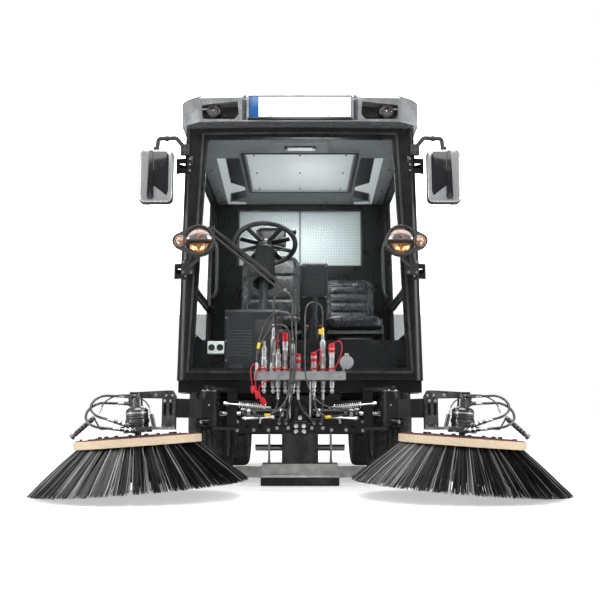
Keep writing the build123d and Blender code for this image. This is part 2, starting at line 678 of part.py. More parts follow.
def cab_floor(inside):
    """Footwell, riser and seat platform with the liners over the front wheels and the side skirts."""
    side = CAB_HALF - 10
    rear = CAB_REAR_Y
    profile = [
        (CAB_FRONT_Y - CAB_BOW, FLOOR_FRONT_TOP - FLOOR_T - 3),
        (CAB_FRONT_Y - CAB_BOW, FLOOR_FRONT_TOP),
        (RISER_Y - FLOOR_T, FLOOR_FRONT_TOP),
        (RISER_Y - FLOOR_T, PLATFORM_TOP),
        (rear, PLATFORM_TOP),
        (rear, PLATFORM_TOP - FLOOR_T),
        (RISER_Y, PLATFORM_TOP - FLOOR_T),
        (RISER_Y, FLOOR_FRONT_TOP - FLOOR_T - 3),
    ]
    tub = side_prism(profile, -side + 28, side - 28)
    front_slab = block(-side, side, CAB_FRONT_Y - 50, RISER_Y, FLOOR_FRONT_TOP - FLOOR_T - 3,
                       FLOOR_FRONT_TOP)
    tub -= front_slab - inside
    arch = arch_ring(ARCH_R, ARCH_T, ARCH_IN_X, side)
    y_reach = ARCH_R + ARCH_T
    wall = bar((ARCH_IN_X, FRONT_AXLE_Y, WHEEL_R), (ARCH_IN_X + ARCH_T, FRONT_AXLE_Y, WHEEL_R), y_reach)
    wall &= block(0, side, FRONT_AXLE_Y - 500, FRONT_AXLE_Y + 500, SKIRT_Z0 + 10, PLATFORM_TOP - 1)
    skirt = block(side - 14, side, FRONT_AXLE_Y + 200, rear, SKIRT_Z0, PLATFORM_TOP)
    toe = block(side - 34, side, DOOR_FRONT_Y, RISER_Y + 60, SKIRT_Z0, DOOR_Z0 - PANEL_GAP)
    toe += block(side - 34, side, CAB_FRONT_Y + 30, DOOR_FRONT_Y, SKIRT_Z0, CAB_Z0)
    hole = bar((side - 30, FRONT_AXLE_Y, WHEEL_R), (side + 30, FRONT_AXLE_Y, WHEEL_R), ARCH_R)
    left = arch + wall + (skirt - hole) + (toe - hole)
    rear_panel = block(-side + 14, side - 14, rear - FLOOR_T, rear, SKIRT_Z0, PLATFORM_TOP)
    rear_panel -= block(-DUCT_R - 45, DUCT_R + 45, rear - 40, rear + 40, SKIRT_Z0 - 10, SKIRT_Z0 + 230)
    front_lip = block(-side + 14, side - 14, CAB_FRONT_Y + 30, CAB_FRONT_Y + 42, SKIRT_Z0, CAB_Z0)
    mounts = Part()
    for y in (-1060.0, 240.0):
        mounts += both_sides(block(150, 190, y - 25, y + 25, RAIL_Z1, FLOOR_FRONT_TOP - 5))
    mounts += both_sides(block(150, 190, 215, 265, FLOOR_FRONT_TOP - 5, PLATFORM_TOP - 2))
    return tub + both_sides(left) + rear_panel + front_lip + mounts


def door_outline(inset):
    """Left door outline in (y, z): full height, cut away over the wheel."""
    front = DOOR_FRONT_Y + inset
    rear = DOOR_REAR_Y - inset
    low = DOOR_Z0 + inset
    step = DOOR_STEP_Z + inset
    top = DOOR_Z1 - inset
    radius = DOOR_ARCH_R + inset
    arch_front = FRONT_AXLE_Y - math.sqrt(radius ** 2 - (low - WHEEL_R) ** 2)
    if radius > step - WHEEL_R:
        arch_rear = FRONT_AXLE_Y - math.sqrt(radius ** 2 - (step - WHEEL_R) ** 2)
    else:
        arch_rear = FRONT_AXLE_Y
    angle = math.atan2(low - WHEEL_R, arch_front - FRONT_AXLE_Y)
    angle_end = math.atan2(step - WHEEL_R, arch_rear - FRONT_AXLE_Y)
    middle = (angle + angle_end) / 2
    mid = (FRONT_AXLE_Y + radius * math.cos(middle), WHEEL_R + radius * math.sin(middle))
    path = Polyline((arch_rear, step), (rear, step), (rear, top), (front, top), (front, low), (arch_front,
                                                                                               low))
    arc = ThreePointArc((arch_front, low), mid, (arch_rear, step))
    return make_face([path, arc])


def door_prism(inset, x0, x1):
    """Door outline carried along X."""
    plane = Plane(origin=(x0, 0, 0), x_dir=(0, 1, 0), z_dir=(1, 0, 0))
    return extrude(plane * door_outline(inset), amount=x1 - x0, dir=(1, 0, 0))


def door(ring):
    """Left door: a deep frame round one tall pane, with the door halves of its hinges."""
    slab = ring & door_prism(0, 0, 800)
    frame = slab - door_prism(DOOR_FRAME_W, 0, 800)
    rail = slab & block(400, 800, DOOR_FRONT_Y, DOOR_REAR_Y, 1035, 1075)
    handle = block(CAB_HALF - 26, CAB_HALF - 2, DOOR_REAR_Y - 190, DOOR_REAR_Y - 60, 1040, 1070)
    inner = block(CAB_HALF - 66, CAB_HALF - 30, DOOR_REAR_Y - 170, DOOR_REAR_Y - 70, 1042, 1064)
    part = frame + rail + handle + inner
    for z in HINGE_Z:
        part += door_hinge(z, False)
        part += slab & block(400, 800, DOOR_FRONT_Y, DOOR_FRONT_Y + DOOR_FRAME_W, z - 40, z + 40)
    return part


def door_glass():
    """Pane of the left door, set in the middle of its frame."""
    pane = cab_solid(-CAB_WALL / 2 + GLASS_T / 2) - cab_solid(-CAB_WALL / 2 - GLASS_T / 2, 20)
    pane &= door_prism(DOOR_FRAME_W, 0, 800)
    return pane - block(400, 800, DOOR_FRONT_Y, DOOR_REAR_Y, 1035, 1075)


def cab_roof():
    """Roof cap with the front fascia: a bay for the plate holder between two faceted lamp pods."""
    side_x = ROOF_HALF
    outline = [
        (-side_x + 30, ROOF_REAR_Y),
        (-side_x, ROOF_REAR_Y - 30),
        (-side_x, ROOF_FRONT_Y + 85),
        (-side_x + 96, ROOF_FRONT_Y + 10),
        (-POD_IN_X, ROOF_FRONT_Y),
        (POD_IN_X, ROOF_FRONT_Y),
        (side_x - 96, ROOF_FRONT_Y + 10),
        (side_x, ROOF_FRONT_Y + 85),
        (side_x, ROOF_REAR_Y - 30),
        (side_x - 30, ROOF_REAR_Y),
    ]
    cap = plan_prism(outline, CAB_Z1, ROOF_Z1)
    cap = chamfer(cap.faces().sort_by(Axis.Z)[-1].edges(), ROOF_EDGE_R)
    hollow = block(-side_x + 70, side_x - 70, CAB_FRONT_Y + 90, CAB_REAR_Y - 60, CAB_Z1 - 1, ROOF_Z1 - 60)
    cap -= hollow
    rail = block(CAB_HALF - 60, CAB_HALF - 26, DOOR_FRONT_Y, DOOR_REAR_Y, DOOR_Z1 + PANEL_GAP, CAB_Z1)
    cap += both_sides(rail)
    bay = [(-POD_IN_X, ROOF_FRONT_Y - 5), (POD_IN_X, ROOF_FRONT_Y - 5), (POD_IN_X - 30,
                                                                         ROOF_FRONT_Y + BAY_DEPTH),
           (-POD_IN_X + 30, ROOF_FRONT_Y + BAY_DEPTH)]
    cap -= plan_prism(bay, CAB_Z1 + 6, ROOF_Z1 + 5)
    edge = side_prism([(ROOF_FRONT_Y + BAY_DEPTH - 1, ROOF_Z1 - 46),
                       (ROOF_FRONT_Y + BAY_DEPTH + 60, ROOF_Z1 + 1),
                       (ROOF_FRONT_Y - 20, ROOF_Z1 + 1), (ROOF_FRONT_Y - 20, ROOF_Z1 - 46)],
                      -POD_IN_X + 25, POD_IN_X - 25)
    cap -= edge
    top = PLATE_Z + PLATE_H / 2 + 8
    low = CAB_Z1 + 4
    holder = [(-PLATE_HALF - 12, low), (PLATE_HALF + 12, low), (PLATE_HALF + 12, top - 12),
              (PLATE_HALF + 2, top),
              (-PLATE_HALF - 2, top), (-PLATE_HALF - 12, top - 12)]
    cap += front_prism(holder, ROOF_FRONT_Y, ROOF_FRONT_Y + BAY_DEPTH + 8)
    low_z = CAB_Z1 + 12
    pocket = [(POD_IN_X + 12, low_z + 24), (POD_IN_X + 34, low_z), (side_x - 112, low_z + 4),
              (side_x - 108, ROOF_Z1 - 62), (POD_IN_X + 16, ROOF_Z1 - 46)]
    cap -= both_sides(front_prism(pocket, ROOF_FRONT_Y - 10, ROOF_FRONT_Y + POD_DEPTH))
    x, z = POD_LAMP
    shell = bar((x, ROOF_FRONT_Y + POD_DEPTH + 2, z), (x, ROOF_FRONT_Y + 16, z), POD_LAMP_R + 5)
    shell -= bar((x, ROOF_FRONT_Y + 30, z), (x, ROOF_FRONT_Y + 10, z), POD_LAMP_R)
    shell += block(x + 27, x + 74, ROOF_FRONT_Y + 26, ROOF_FRONT_Y + 34, z + 6, z + 14)
    shell += block(x + 66, x + 74, ROOF_FRONT_Y + 26, ROOF_FRONT_Y + POD_DEPTH + 2, z - 22, z + 14)
    return cap + both_sides(shell)


def roof_lamps():
    """Round work lamps in the roof pods."""
    x, z = POD_LAMP
    return both_sides(bar((x, ROOF_FRONT_Y + 30, z), (x, ROOF_FRONT_Y + 18, z), POD_LAMP_R - SEAT_GAP))


def number_plates():
    """Blank plates on the roof fascia and on the rear cover."""
    front = block(-PLATE_HALF, PLATE_HALF, ROOF_FRONT_Y - PLATE_T, ROOF_FRONT_Y, PLATE_Z - PLATE_H / 2,
                  PLATE_Z + PLATE_H / 2)
    rear = block(-PLATE_HALF, PLATE_HALF, BODY_REAR_Y, BODY_REAR_Y + PLATE_T, 640, 640 + PLATE_H)
    return front + rear


def headliner():
    """Ceiling panel with the hatch recess, a raised rim round it, and the pod with the interior mirror."""
    half = CAB_HALF - CAB_WALL - 30
    panel = block(-half, half, CAB_FRONT_Y + 60, CAB_REAR_Y - CAB_WALL - 30, HEADLINER_Z0, HEADLINER_Z1)
    rim = block(-HATCH_HALF - 26, HATCH_HALF + 26, HATCH_Y[0] - 26, HATCH_Y[1] + 26, HEADLINER_Z0 - 10,
                HEADLINER_Z0 + 1)
    rim = chamfer(rim.faces().sort_by(Axis.Z)[0].edges(), 7)
    panel += rim
    panel -= block(-HATCH_HALF, HATCH_HALF, *HATCH_Y, HEADLINER_Z0 - 11, HEADLINER_Z0 + 4)
    pod = block(-CEILING_POD_HALF, CEILING_POD_HALF, CAB_FRONT_Y + 80, HATCH_Y[0] - 45, HEADLINER_Z0 - 15,
                HEADLINER_Z0 + 1)
    panel += fillet(pod.edges().filter_by(Axis.Z), 24)
    for x in (-half + 60, half - 60):
        for y in (-900.0, 150.0):
            panel += block(x - 15, x + 15, y - 15, y + 15, HEADLINER_Z1, ROOF_Z1 - 60)
    return panel


# ================================================================ cab equipment
def steering_axis():
    """Unit vector up the steering column."""
    tilt = math.radians(COLUMN_TILT)
    return Vector(0, math.sin(tilt), math.cos(tilt))


def steering_column():
    """Console box on the floor, the leaning column in its shroud, and the pedals."""
    low = FLOOR_FRONT_TOP + 55
    top = PLATFORM_TOP + 153
    profile = [
        (-1000, low),
        (RISER_Y - FLOOR_T, low),
        (RISER_Y - FLOOR_T, PLATFORM_TOP),
        (-770, PLATFORM_TOP),
        (-770, top - 55),
        (-810, top),
        (-985, top),
        (-1000, top - 15),
    ]
    console = side_prism(profile, -390, -100)
    centre = Vector(*WHEEL_CENTRE)
    up = steering_axis()
    base = centre - up * 560
    column = bar(tuple(base), tuple(centre - up * (HUB_DROP + SEAT_GAP)), COLUMN_R)
    shroud = bar(tuple(centre - up * 260), tuple(centre - up * 40), 48)
    part = console + column + shroud
    for x in (-330.0, -160.0):
        part += block(x - 30, x + 30, -985, -970, low - 10, low + 20)
        part += side_prism([(-1050, low - 40), (-1040, low - 48), (-965, low + 40), (-975, low + 48)],
                           x - 32, x + 32)
        part += block(x - 8, x + 8, -990, -960, low, low + 40)
    return part


def steering_wheel():
    """Round rim on a hub with four spokes, turning on the column."""
    plane = Plane(origin=WHEEL_CENTRE, x_dir=(1, 0, 0), z_dir=steering_axis())
    ring = Torus(STEERING_R - STEERING_RIM_R, STEERING_RIM_R)
    hub = Pos(0, 0, 15 - HUB_DROP) * Cylinder(42, 30)
    wheel = ring + hub
    for angle in (20, 160, 235, 305):
        spoke = Pos(STEERING_R / 2, 0, -6) * Box(STEERING_R - 26, 26, 7)
        wheel += Rot(0, 0, angle) * spoke
    return plane.location * wheel


def cushion(x0, x1):
    """Seat cushion with rounded edges."""
    pad = block(x0, x1, SEAT_FRONT_Y, SEAT_BACK_Y - 8, CUSHION_Z0 + SEAT_GAP, CUSHION_Z1)
    return fillet(pad.edges(), 26)


def backrest(x0, x1, top, head):
    """Leaning backrest, narrower at the top, with a headrest above it where there is one."""
    y0 = SEAT_BACK_Y
    lean = 70.0
    z0 = CUSHION_Z0 + SEAT_GAP
    profile = [(y0, z0), (y0 + BACKREST_T, z0), (y0 + BACKREST_T + lean, top), (y0 + 20 + lean, top)]
    pad = side_prism(profile, x0 + 8, x1 - 8)
    pad = fillet(pad.edges(), 20)
    if head > top:
        mid = (x0 + x1) / 2
        y1 = y0 + lean + 70
        pad += block(mid - 14, mid + 14, y1 - 12, y1 + 12, top - 30, top + 40)
        pad += fillet(block(mid - 105, mid + 105, y1 - 45, y1 + 45, top + 30, head).edges(), 22)
    return pad


def seat_bases():
    """Suspension boxes under both seats with their slide rails."""
    part = Part()
    for x0, x1 in (SEAT_DRIVER_X, SEAT_PASSENGER_X):
        part += block(x0 + 50, x1 - 50, SEAT_FRONT_Y + 60, SEAT_BACK_Y - 20, PLATFORM_TOP,
                      PLATFORM_TOP + 22)
        part += block(x0 + 70, x1 - 70, SEAT_FRONT_Y + 80, SEAT_BACK_Y - 40, PLATFORM_TOP, CUSHION_Z0 - 18)
        part += block(x0 + 20, x1 - 20, SEAT_FRONT_Y + 30, SEAT_BACK_Y + BACKREST_T, CUSHION_Z0 - 18,
                      CUSHION_Z0)
    return part


def control_terminal():
    """Operating terminal on a bent stalk beside the steering wheel."""
    post = bar((82, -700, PLATFORM_TOP + 4), (82, -715, 1010), 14)
    foot = bar((82, -700, PLATFORM_TOP), (82, -700, PLATFORM_TOP + 10), 40)
    head = Pos(82, -722, 1100) * Rot(18, 0, 0) * fillet(Box(145, 46, 200).edges(), 14)
    arm = bar((82, -560, PLATFORM_TOP), (82, -560, 880), 26)
    knob = bar((82, -560, 870), (82, -575, 1000), 12)
    return post + foot + head + arm + knob


def mirrors():
    """Outside mirrors: bracket, bent tube arm and the rounded head."""
    foot = block(570, 616, -1150, -1122, 1690, 1745) - cab_solid(0)
    route = FilletPolyline((606, -1128, 1740), (640, -1140, 1780), (735, -1128, 1780), (745, -1128, 1640),
                           radius=14)
    tube = sweep(Plane(origin=(606, -1128, 1740), z_dir=route % 0) * Circle(11), path=route)
    head = fillet(block(652, 822, -1160, -1100, 1432, 1712).edges(), 24)
    return both_sides(foot + tube + head)


def headlights():
    """Lamp pods on stalks from the front pillars: a round lamp with an indicator lobe outboard."""
    x, y, z = LAMP_CENTRE
    lobe = (x + LOBE_OFF, z - 4)
    pod = front_face_prism(teardrop((x, z), LAMP_R + 9, lobe, LOBE_R), y, y + 50)
    pod += front_face_prism(teardrop((x, z), LAMP_R - 4, lobe, LOBE_R - 12), y + 50, y + 72)
    pod += front_face_prism(teardrop((x, z), LAMP_R - 26, (lobe[0] - 16, lobe[1]), LOBE_R - 20), y + 72,
                            y + 88)
    pod -= bar((x, y - 1, z), (x, y + 44, z), LAMP_R)
    pod += block(x - LAMP_R, x + LAMP_R, y + 15, y + 44, z - 4, z + 4) & bar((x, y, z), (x, y + 60, z),
                                                                             LAMP_R + 2)
    pod -= front_face_prism(Pos(*lobe) * Circle(LOBE_R - 7), y - 1, y + 24)
    stalk = bar((x + 37, y + 70, z - 30), (x + 62, CAB_FRONT_Y + 24, z - 95), 13)
    stalk += bar((x + 8, y + 60, z - 40), (x + 8, y + 60, z - 96), 9)
    stalk += bar((x + 8, y + 60, z - 90), (x + 60, CAB_FRONT_Y - 6, z - 110), 8)
    plate = block(x + 37, x + 102, CAB_FRONT_Y - 14, CAB_FRONT_Y + 30, z - 150, z - 75)
    return both_sides(pod + (stalk + plate - cab_solid(GLASS_T)))


def headlight_lenses():
    """Clear covers of the lamps and of the indicator lobes."""
    x, y, z = LAMP_CENTRE
    lobe = front_face_prism(Pos(x + LOBE_OFF, z - 4) * Circle(LOBE_R - 7 - SEAT_GAP), y + 2, y + 24)
    return both_sides(bar((x, y + 2, z), (x, y + 14.5, z), LAMP_R) + lobe)


def wiper():
    """Parallel-arm wiper parked upright at the right of the screen."""
    y = CAB_FRONT_Y - CAB_BOW - 22
    tip = -(SCREEN_HALF_HIGH - 26)
    part = block(-95, -55, y - 4, CAB_FRONT_Y, 955, 1005) - cab_solid(GLASS_T)
    part += bar((-70, y, 985), (tip + 12, y, 1290), 6)
    part += bar((-82, y, 962), (tip, y, 1266), 6)
    part += block(tip - 10, tip + 22, y - 6, y + 8, 1262, 1300)
    part += block(tip - 6, tip + 6, y + 6, y + 16, 900, 1290)
    return part


# ================================================================ rear body and hopper
def rear_body():
    """Lower body behind the cab: side and rear covers round the engine bay, open below."""
    outer = block(-BODY_HALF, BODY_HALF, BODY_FRONT_Y, BODY_REAR_Y, BODY_Z0, BODY_Z1)
    outer = fillet(outer.edges().filter_by(Axis.Z).sort_by(Axis.Y)[-2:], BODY_CORNER_R)
    inner = block(-BODY_HALF + BODY_WALL, BODY_HALF - BODY_WALL, BODY_FRONT_Y + BODY_WALL,
                  BODY_REAR_Y - BODY_WALL, BODY_Z0 - 1, BODY_Z1 - BODY_WALL)
    body = outer - inner
    arch = bar((-700, REAR_AXLE_Y, WHEEL_R), (700, REAR_AXLE_Y, WHEEL_R), REAR_ARCH_R)
    body -= arch
    duct_way = block(-DUCT_R - 25, DUCT_R + 25, BODY_FRONT_Y - 10, DUCT_OUTLET_Y + DUCT_R + 25,
                     BODY_Z0 - 10, BODY_Z1 + 10)
    ram_way = block(-80, 80, RAM_TOP[0] - 75, RAM_BASE[0] + 60, BODY_Z1 - BODY_WALL - 5, BODY_Z1 + 10)
    louvres = Part()
    for index in range(6):
        y = 420 + index * 62
        louvres += block(-700, 700, y, y + 34, 560, 760)
    body = body - duct_way - ram_way - louvres
    bumper = block(-BODY_HALF + 20, BODY_HALF - 20, BODY_REAR_Y - BODY_WALL, REAR_Y, BODY_Z0, BODY_Z0 + 110)
    bumper = fillet(bumper.edges().filter_by(Axis.Z).sort_by(Axis.Y)[-2:], 40)
    hinge_y, hinge_z = HOPPER_HINGE
    ears = Part()
    for x in HOPPER_HINGE_X:
        reach = HOPPER_EYE_HALF + RUN_GAP
        body -= bar((x - reach, hinge_y, hinge_z), (x + reach, hinge_y, hinge_z), HOPPER_HINGE_R + 20)
        outline = [(hinge_y - 60, BODY_Z1 - 12), (hinge_y + 22, BODY_Z1 - 70), (hinge_y + 22, hinge_z),
                   (hinge_y + 10, hinge_z + 19), (hinge_y - 12, hinge_z + 19)]
        for inner_x in (x - reach - 16, x + reach):
            ears += side_prism(outline, inner_x, inner_x + 16)
        ears += bar((x - reach - 16, hinge_y, hinge_z), (x + reach + 16, hinge_y, hinge_z), HOPPER_HINGE_R)
    return body + bumper + ears


def hopper():
    """Waste hopper: a hollow bin open at the rear, with its hinge eyes and ram lug below."""
    outer = block(-HOPPER_HALF, HOPPER_HALF, HOPPER_FRONT_Y, HOPPER_REAR_Y, HOPPER_Z0, HOPPER_Z1)
    outer = fillet(outer.edges().filter_by(Axis.Y).sort_by(Axis.Z)[-2:], HOPPER_EDGE_R)
    outer = chamfer(outer.edges().filter_by(Axis.X).sort_by(Axis.Z)[-2:].sort_by(Axis.Y)[:1], 60)
    w = HOPPER_WALL
    inner = block(-HOPPER_HALF + w, HOPPER_HALF - w, HOPPER_FRONT_Y + w, HOPPER_REAR_Y + 10,
                  HOPPER_Z0 + w, HOPPER_DOOR_Z1 - w)
    bin_ = outer - inner
    bin_ -= bar((0, DUCT_OUTLET_Y, HOPPER_Z0 - 10), (0, DUCT_OUTLET_Y, HOPPER_Z0 + w + 10), DUCT_R)
    hinge_y, hinge_z = HOPPER_HINGE
    for x in HOPPER_HINGE_X:
        low = x - HOPPER_EYE_HALF
        high = x + HOPPER_EYE_HALF
        eye = bar((low, hinge_y, hinge_z), (high, hinge_y, hinge_z), HOPPER_HINGE_R + 14)
        eye += block(low, high, hinge_y - 26, hinge_y + 18, hinge_z, HOPPER_Z0 + 5)
        bin_ += eye
        bin_ -= bar((x - 30, hinge_y, hinge_z), (x + 30, hinge_y, hinge_z), HOPPER_HINGE_R + PIN_PLAY)
    door_y, door_z = HOPPER_DOOR_AXIS
    for x in (-420.0, 420.0):
        lug = side_prism([(HOPPER_REAR_Y - 20, door_z - 20), (door_y, door_z - 14), (door_y + 12, door_z),
                          (door_y, door_z + 14), (HOPPER_REAR_Y - 20, door_z + 34)], x - 42, x - 26)
        lug += side_prism([(HOPPER_REAR_Y - 20, door_z - 20), (door_y, door_z - 14), (door_y + 12, door_z),
                           (door_y, door_z + 14), (HOPPER_REAR_Y - 20, door_z + 34)], x + 26, x + 42)
        lug += bar((x - 42, door_y, door_z), (x + 42, door_y, door_z), 8)
        bin_ += lug
    top_y, top_z = RAM_TOP
    for x in (-52.0, 40.0):
        bin_ += side_prism([(top_y - 22, HOPPER_Z0 + 5), (top_y - 22, top_z), (top_y - 10, top_z - 22),
                            (top_y + 10, top_z - 22), (top_y + 22, top_z), (top_y + 22,
                                                                            HOPPER_Z0 + 5)], x, x + 12)
    bin_ += bar((-52, top_y, top_z), (52, top_y, top_z), RAM_PIN_R)
    return bin_


def hopper_door():
    """Rear door of the hopper: a ribbed panel hung from its top edge."""
    y0 = HOPPER_REAR_Y + 3
    half = HOPPER_HALF - 4
    panel = block(-half, half, y0, y0 + HOPPER_DOOR_T - 6, HOPPER_DOOR_Z0, HOPPER_DOOR_Z1)
    panel = fillet(panel.edges().filter_by(Axis.Y), 30)
    for x in (-300.0, 0.0, 300.0):
        panel -= block(x - 115, x + 115, y0 + HOPPER_DOOR_T - 18, y0 + HOPPER_DOOR_T, 1010, 1780)
    door_y, door_z = HOPPER_DOOR_AXIS
    for x in (-420.0, 420.0):
        arm = side_prism([(y0 + 8, HOPPER_DOOR_Z1 - 40), (y0 + 30, HOPPER_DOOR_Z1 - 40),
                          (door_y + 15, door_z),
                          (door_y, door_z + 14), (door_y - 8, door_z - 10)], x - 22, x + 22)
        arm += bar((x - 22, door_y, door_z), (x + 22, door_y, door_z), 15)
        panel += arm
        panel -= bar((x - 24, door_y, door_z), (x + 24, door_y, door_z), 8 + PIN_PLAY)
    return panel


def ram_direction():
    """Unit vector from the ram's foot to its head at rest."""
    return (Vector(0, *RAM_TOP) - Vector(0, *RAM_BASE)).normalized()


def ram_barrel():
    """Barrel of the tipping ram with its foot eye."""
    along = ram_direction()
    foot = Vector(0, *RAM_BASE)
    top = (Vector(0, *RAM_TOP) - foot).length - RAM_PIN_R - RAM_DRIFT - 12 - 2 * RUN_GAP
    tube = bar(tuple(foot + along * 22), tuple(foot + along * top), RAM_R)
    tube -= bar(tuple(foot + along * 40), tuple(foot + along * (top + 10)), RAM_ROD_R + PIN_PLAY)
    eye = bar((-RAM_R, *RAM_BASE), (RAM_R, *RAM_BASE), RAM_PIN_R + 14)
    return (tube + eye) - bar((-70, *RAM_BASE), (70, *RAM_BASE), RAM_PIN_R + PIN_PLAY)


def ram_rod():
    """Rod of the tipping ram, its head eye cut oversize where the linkage is opened."""
    along = ram_direction()
    foot = Vector(0, *RAM_BASE)
    head = Vector(0, *RAM_TOP)
    bore = RAM_PIN_R + RAM_DRIFT
    rod = bar(tuple(foot + along * 48), tuple(head - along * (bore + 4)), RAM_ROD_R)
    eye = bar((-30, *RAM_TOP), (30, *RAM_TOP), bore + 12)
    return (rod + eye) - bar((-70, *RAM_TOP), (70, *RAM_TOP), bore)


def suction_duct():
    """Duct from the suction mouth, over the front axle, to the hopper floor, in three lengths."""
    route = FilletPolyline((0, MOUTH_MID_Y, MOUTH_Z1), (0, MOUTH_MID_Y, 260), (0, -640, DUCT_Z), (0, 330,
                                                                                                  DUCT_Z),
                           (0, DUCT_OUTLET_Y, 700), (0, DUCT_OUTLET_Y,
                                                     HOPPER_Z0 - RUN_GAP), radius=DUCT_R + 15)
    start = Plane(origin=route @ 0, z_dir=route % 0)
    tube = sweep(start * Circle(DUCT_R), path=route)
    tube -= sweep(start * Circle(DUCT_R - DUCT_WALL), path=route)
    for y in DUCT_JOINTS:
        tube -= block(-DUCT_R - 5, DUCT_R + 5, y, y + SEAT_GAP, DUCT_Z - DUCT_R - 5, DUCT_Z + DUCT_R + 5)
    return tube


def suction_mouth():
    """Suction nozzle: steel box open below, its side wings, rubber flap and carrying tube."""
    casing = block(-MOUTH_HALF, MOUTH_HALF, MOUTH_FRONT_Y, MOUTH_REAR_Y, MOUTH_Z0, MOUTH_Z1)
    casing -= block(-MOUTH_HALF + 6, MOUTH_HALF - 6, MOUTH_FRONT_Y + 6, MOUTH_REAR_Y - 6, MOUTH_Z0 - 1,
                    MOUTH_Z1 - 6)
    casing -= bar((0, MOUTH_MID_Y, MOUTH_Z0), (0, MOUTH_MID_Y, MOUTH_Z1 + 5), DUCT_R - DUCT_WALL - 5)
    wing = plan_prism([(MOUTH_HALF - 1, MOUTH_FRONT_Y), (WING_HALF, MOUTH_FRONT_Y + 40),
                       (WING_HALF, MOUTH_FRONT_Y + 48),
                       (MOUTH_HALF - 1, MOUTH_FRONT_Y + 8)], MOUTH_Z0, MOUTH_Z1 - 12)
    part = casing + both_sides(wing)
    tube_y = MOUTH_MID_Y + DUCT_R + 27.5
    part += bar((-240, tube_y, 190), (240, tube_y, 190), 17)
    for sign in (-1, 1):
        x = sign * 165
        part += block(x - 6, x + 6, MOUTH_REAR_Y - 12, tube_y + 20, MOUTH_Z0 + 20, 215)
        part += block(x - 6, x + 6, tube_y - 14, tube_y + 14, 190, RAIL_Z0)
    return part


def mouth_flap():
    """Rubber skirt hung round the nozzle."""
    t = 6.0
    x = MOUTH_HALF
    outer = block(-x - t, x + t, MOUTH_FRONT_Y - t, MOUTH_REAR_Y + t, FLAP_Z0, MOUTH_Z0 + 20)
    inner = block(-x, x, MOUTH_FRONT_Y, MOUTH_REAR_Y, FLAP_Z0 - 1, MOUTH_Z0 + 30)
    gap = block(-x - 20, x + 20, MOUTH_FRONT_Y - 20, MOUTH_FRONT_Y + 60, MOUTH_Z0, MOUTH_Z0 + 40)
    return outer - inner - gap


def engine_block():
    """Engine and gearbox as one plain mass between the rails."""
    body = block(-RAIL_IN_REAR + 25, RAIL_IN_REAR - 25, 660, 1240, 410, 800)
    feet = both_sides(block(RAIL_IN_REAR - 30, RAIL_IN_REAR + 20, 760, 800, RAIL_Z1, RAIL_Z1 + 20))
    feet += both_sides(block(RAIL_IN_REAR - 30, RAIL_IN_REAR + 20, 1070, 1110, RAIL_Z1, RAIL_Z1 + 20))
    return body + feet


def tail_lamps():
    """Rear lamp clusters on the bumper's ends."""
    lamp = block(BODY_HALF - 150, BODY_HALF - 40, BODY_REAR_Y, BODY_REAR_Y + 30, 600, 760)
    return both_sides(fillet(lamp.edges().filter_by(Axis.Y), 12))


# ================================================================ front beam, arms and brushes
def front_beam():
    """Attachment beam across the nose with the clevises that carry the brush arms."""
    plate = block(-BEAM_HALF, BEAM_HALF, BEAM_Y, BEAM_Y + BEAM_T, BEAM_Z0, BEAM_Z1)
    for x in (-PLATE_HOLE_X[1], -PLATE_HOLE_X[0], PLATE_HOLE_X[0], PLATE_HOLE_X[1]):
        plate -= Pos(x, BEAM_Y + BEAM_T / 2, PLATE_HOLE_Z) * Rot(90, 0, 0) * Cylinder(PLATE_HOLE_R,
                                                                                      3 * BEAM_T)
    lip = block(-BEAM_HALF, BEAM_HALF, BEAM_Y, BEAM_Y + 46, BEAM_Z0, BEAM_Z0 + 8)
    legs = both_sides(block(RAIL_IN_FRONT, RAIL_OUT_FRONT, BEAM_Y + BEAM_T, RAIL_FRONT_Y, BEAM_Z0 + 20,
                            RAIL_Z0 + 60))
    legs += both_sides(block(RAIL_IN_FRONT, RAIL_OUT_FRONT, RAIL_FRONT_Y - 12, RAIL_FRONT_Y, RAIL_Z0,
                             RAIL_Z1))
    low = ARM_Z0 - RUN_GAP
    high = ARM_Z1 + RUN_GAP
    post = block(BEAM_HALF - 25, BEAM_HALF + 20, ARM_PIN_Y + 60, BEAM_Y + BEAM_T + 30, low - EAR_T,
                 high + EAR_T)
    post -= bar((200, BEAM_Y - 10, SWING_Z), (500, BEAM_Y - 10, SWING_Z), SWING_ROD_R + 6)
    side = post + bar((ARM_PIN_X, ARM_PIN_Y, low - EAR_T), (ARM_PIN_X, ARM_PIN_Y, high + EAR_T), ARM_PIN_R)
    side += bar((ARM_PIN_X, ARM_PIN_Y, high + EAR_T), (ARM_PIN_X, ARM_PIN_Y, high + EAR_T + 8),
                ARM_PIN_R + 8)
    for z0 in (low - EAR_T, high):
        ear = [(BEAM_HALF - 25, BEAM_Y + 20), (BEAM_HALF - 25, ARM_PIN_Y + 30), (ARM_PIN_X - 14,
                                                                                 ARM_PIN_Y - 36),
               (ARM_PIN_X + 30, ARM_PIN_Y - 22), (ARM_PIN_X + 34, ARM_PIN_Y + 22), (BEAM_HALF + 20,
                                                                                    BEAM_Y + 20)]
        side += plan_prism(ear, z0, z0 + EAR_T)
    return plate + lip + legs + both_sides(side) + valve_block()


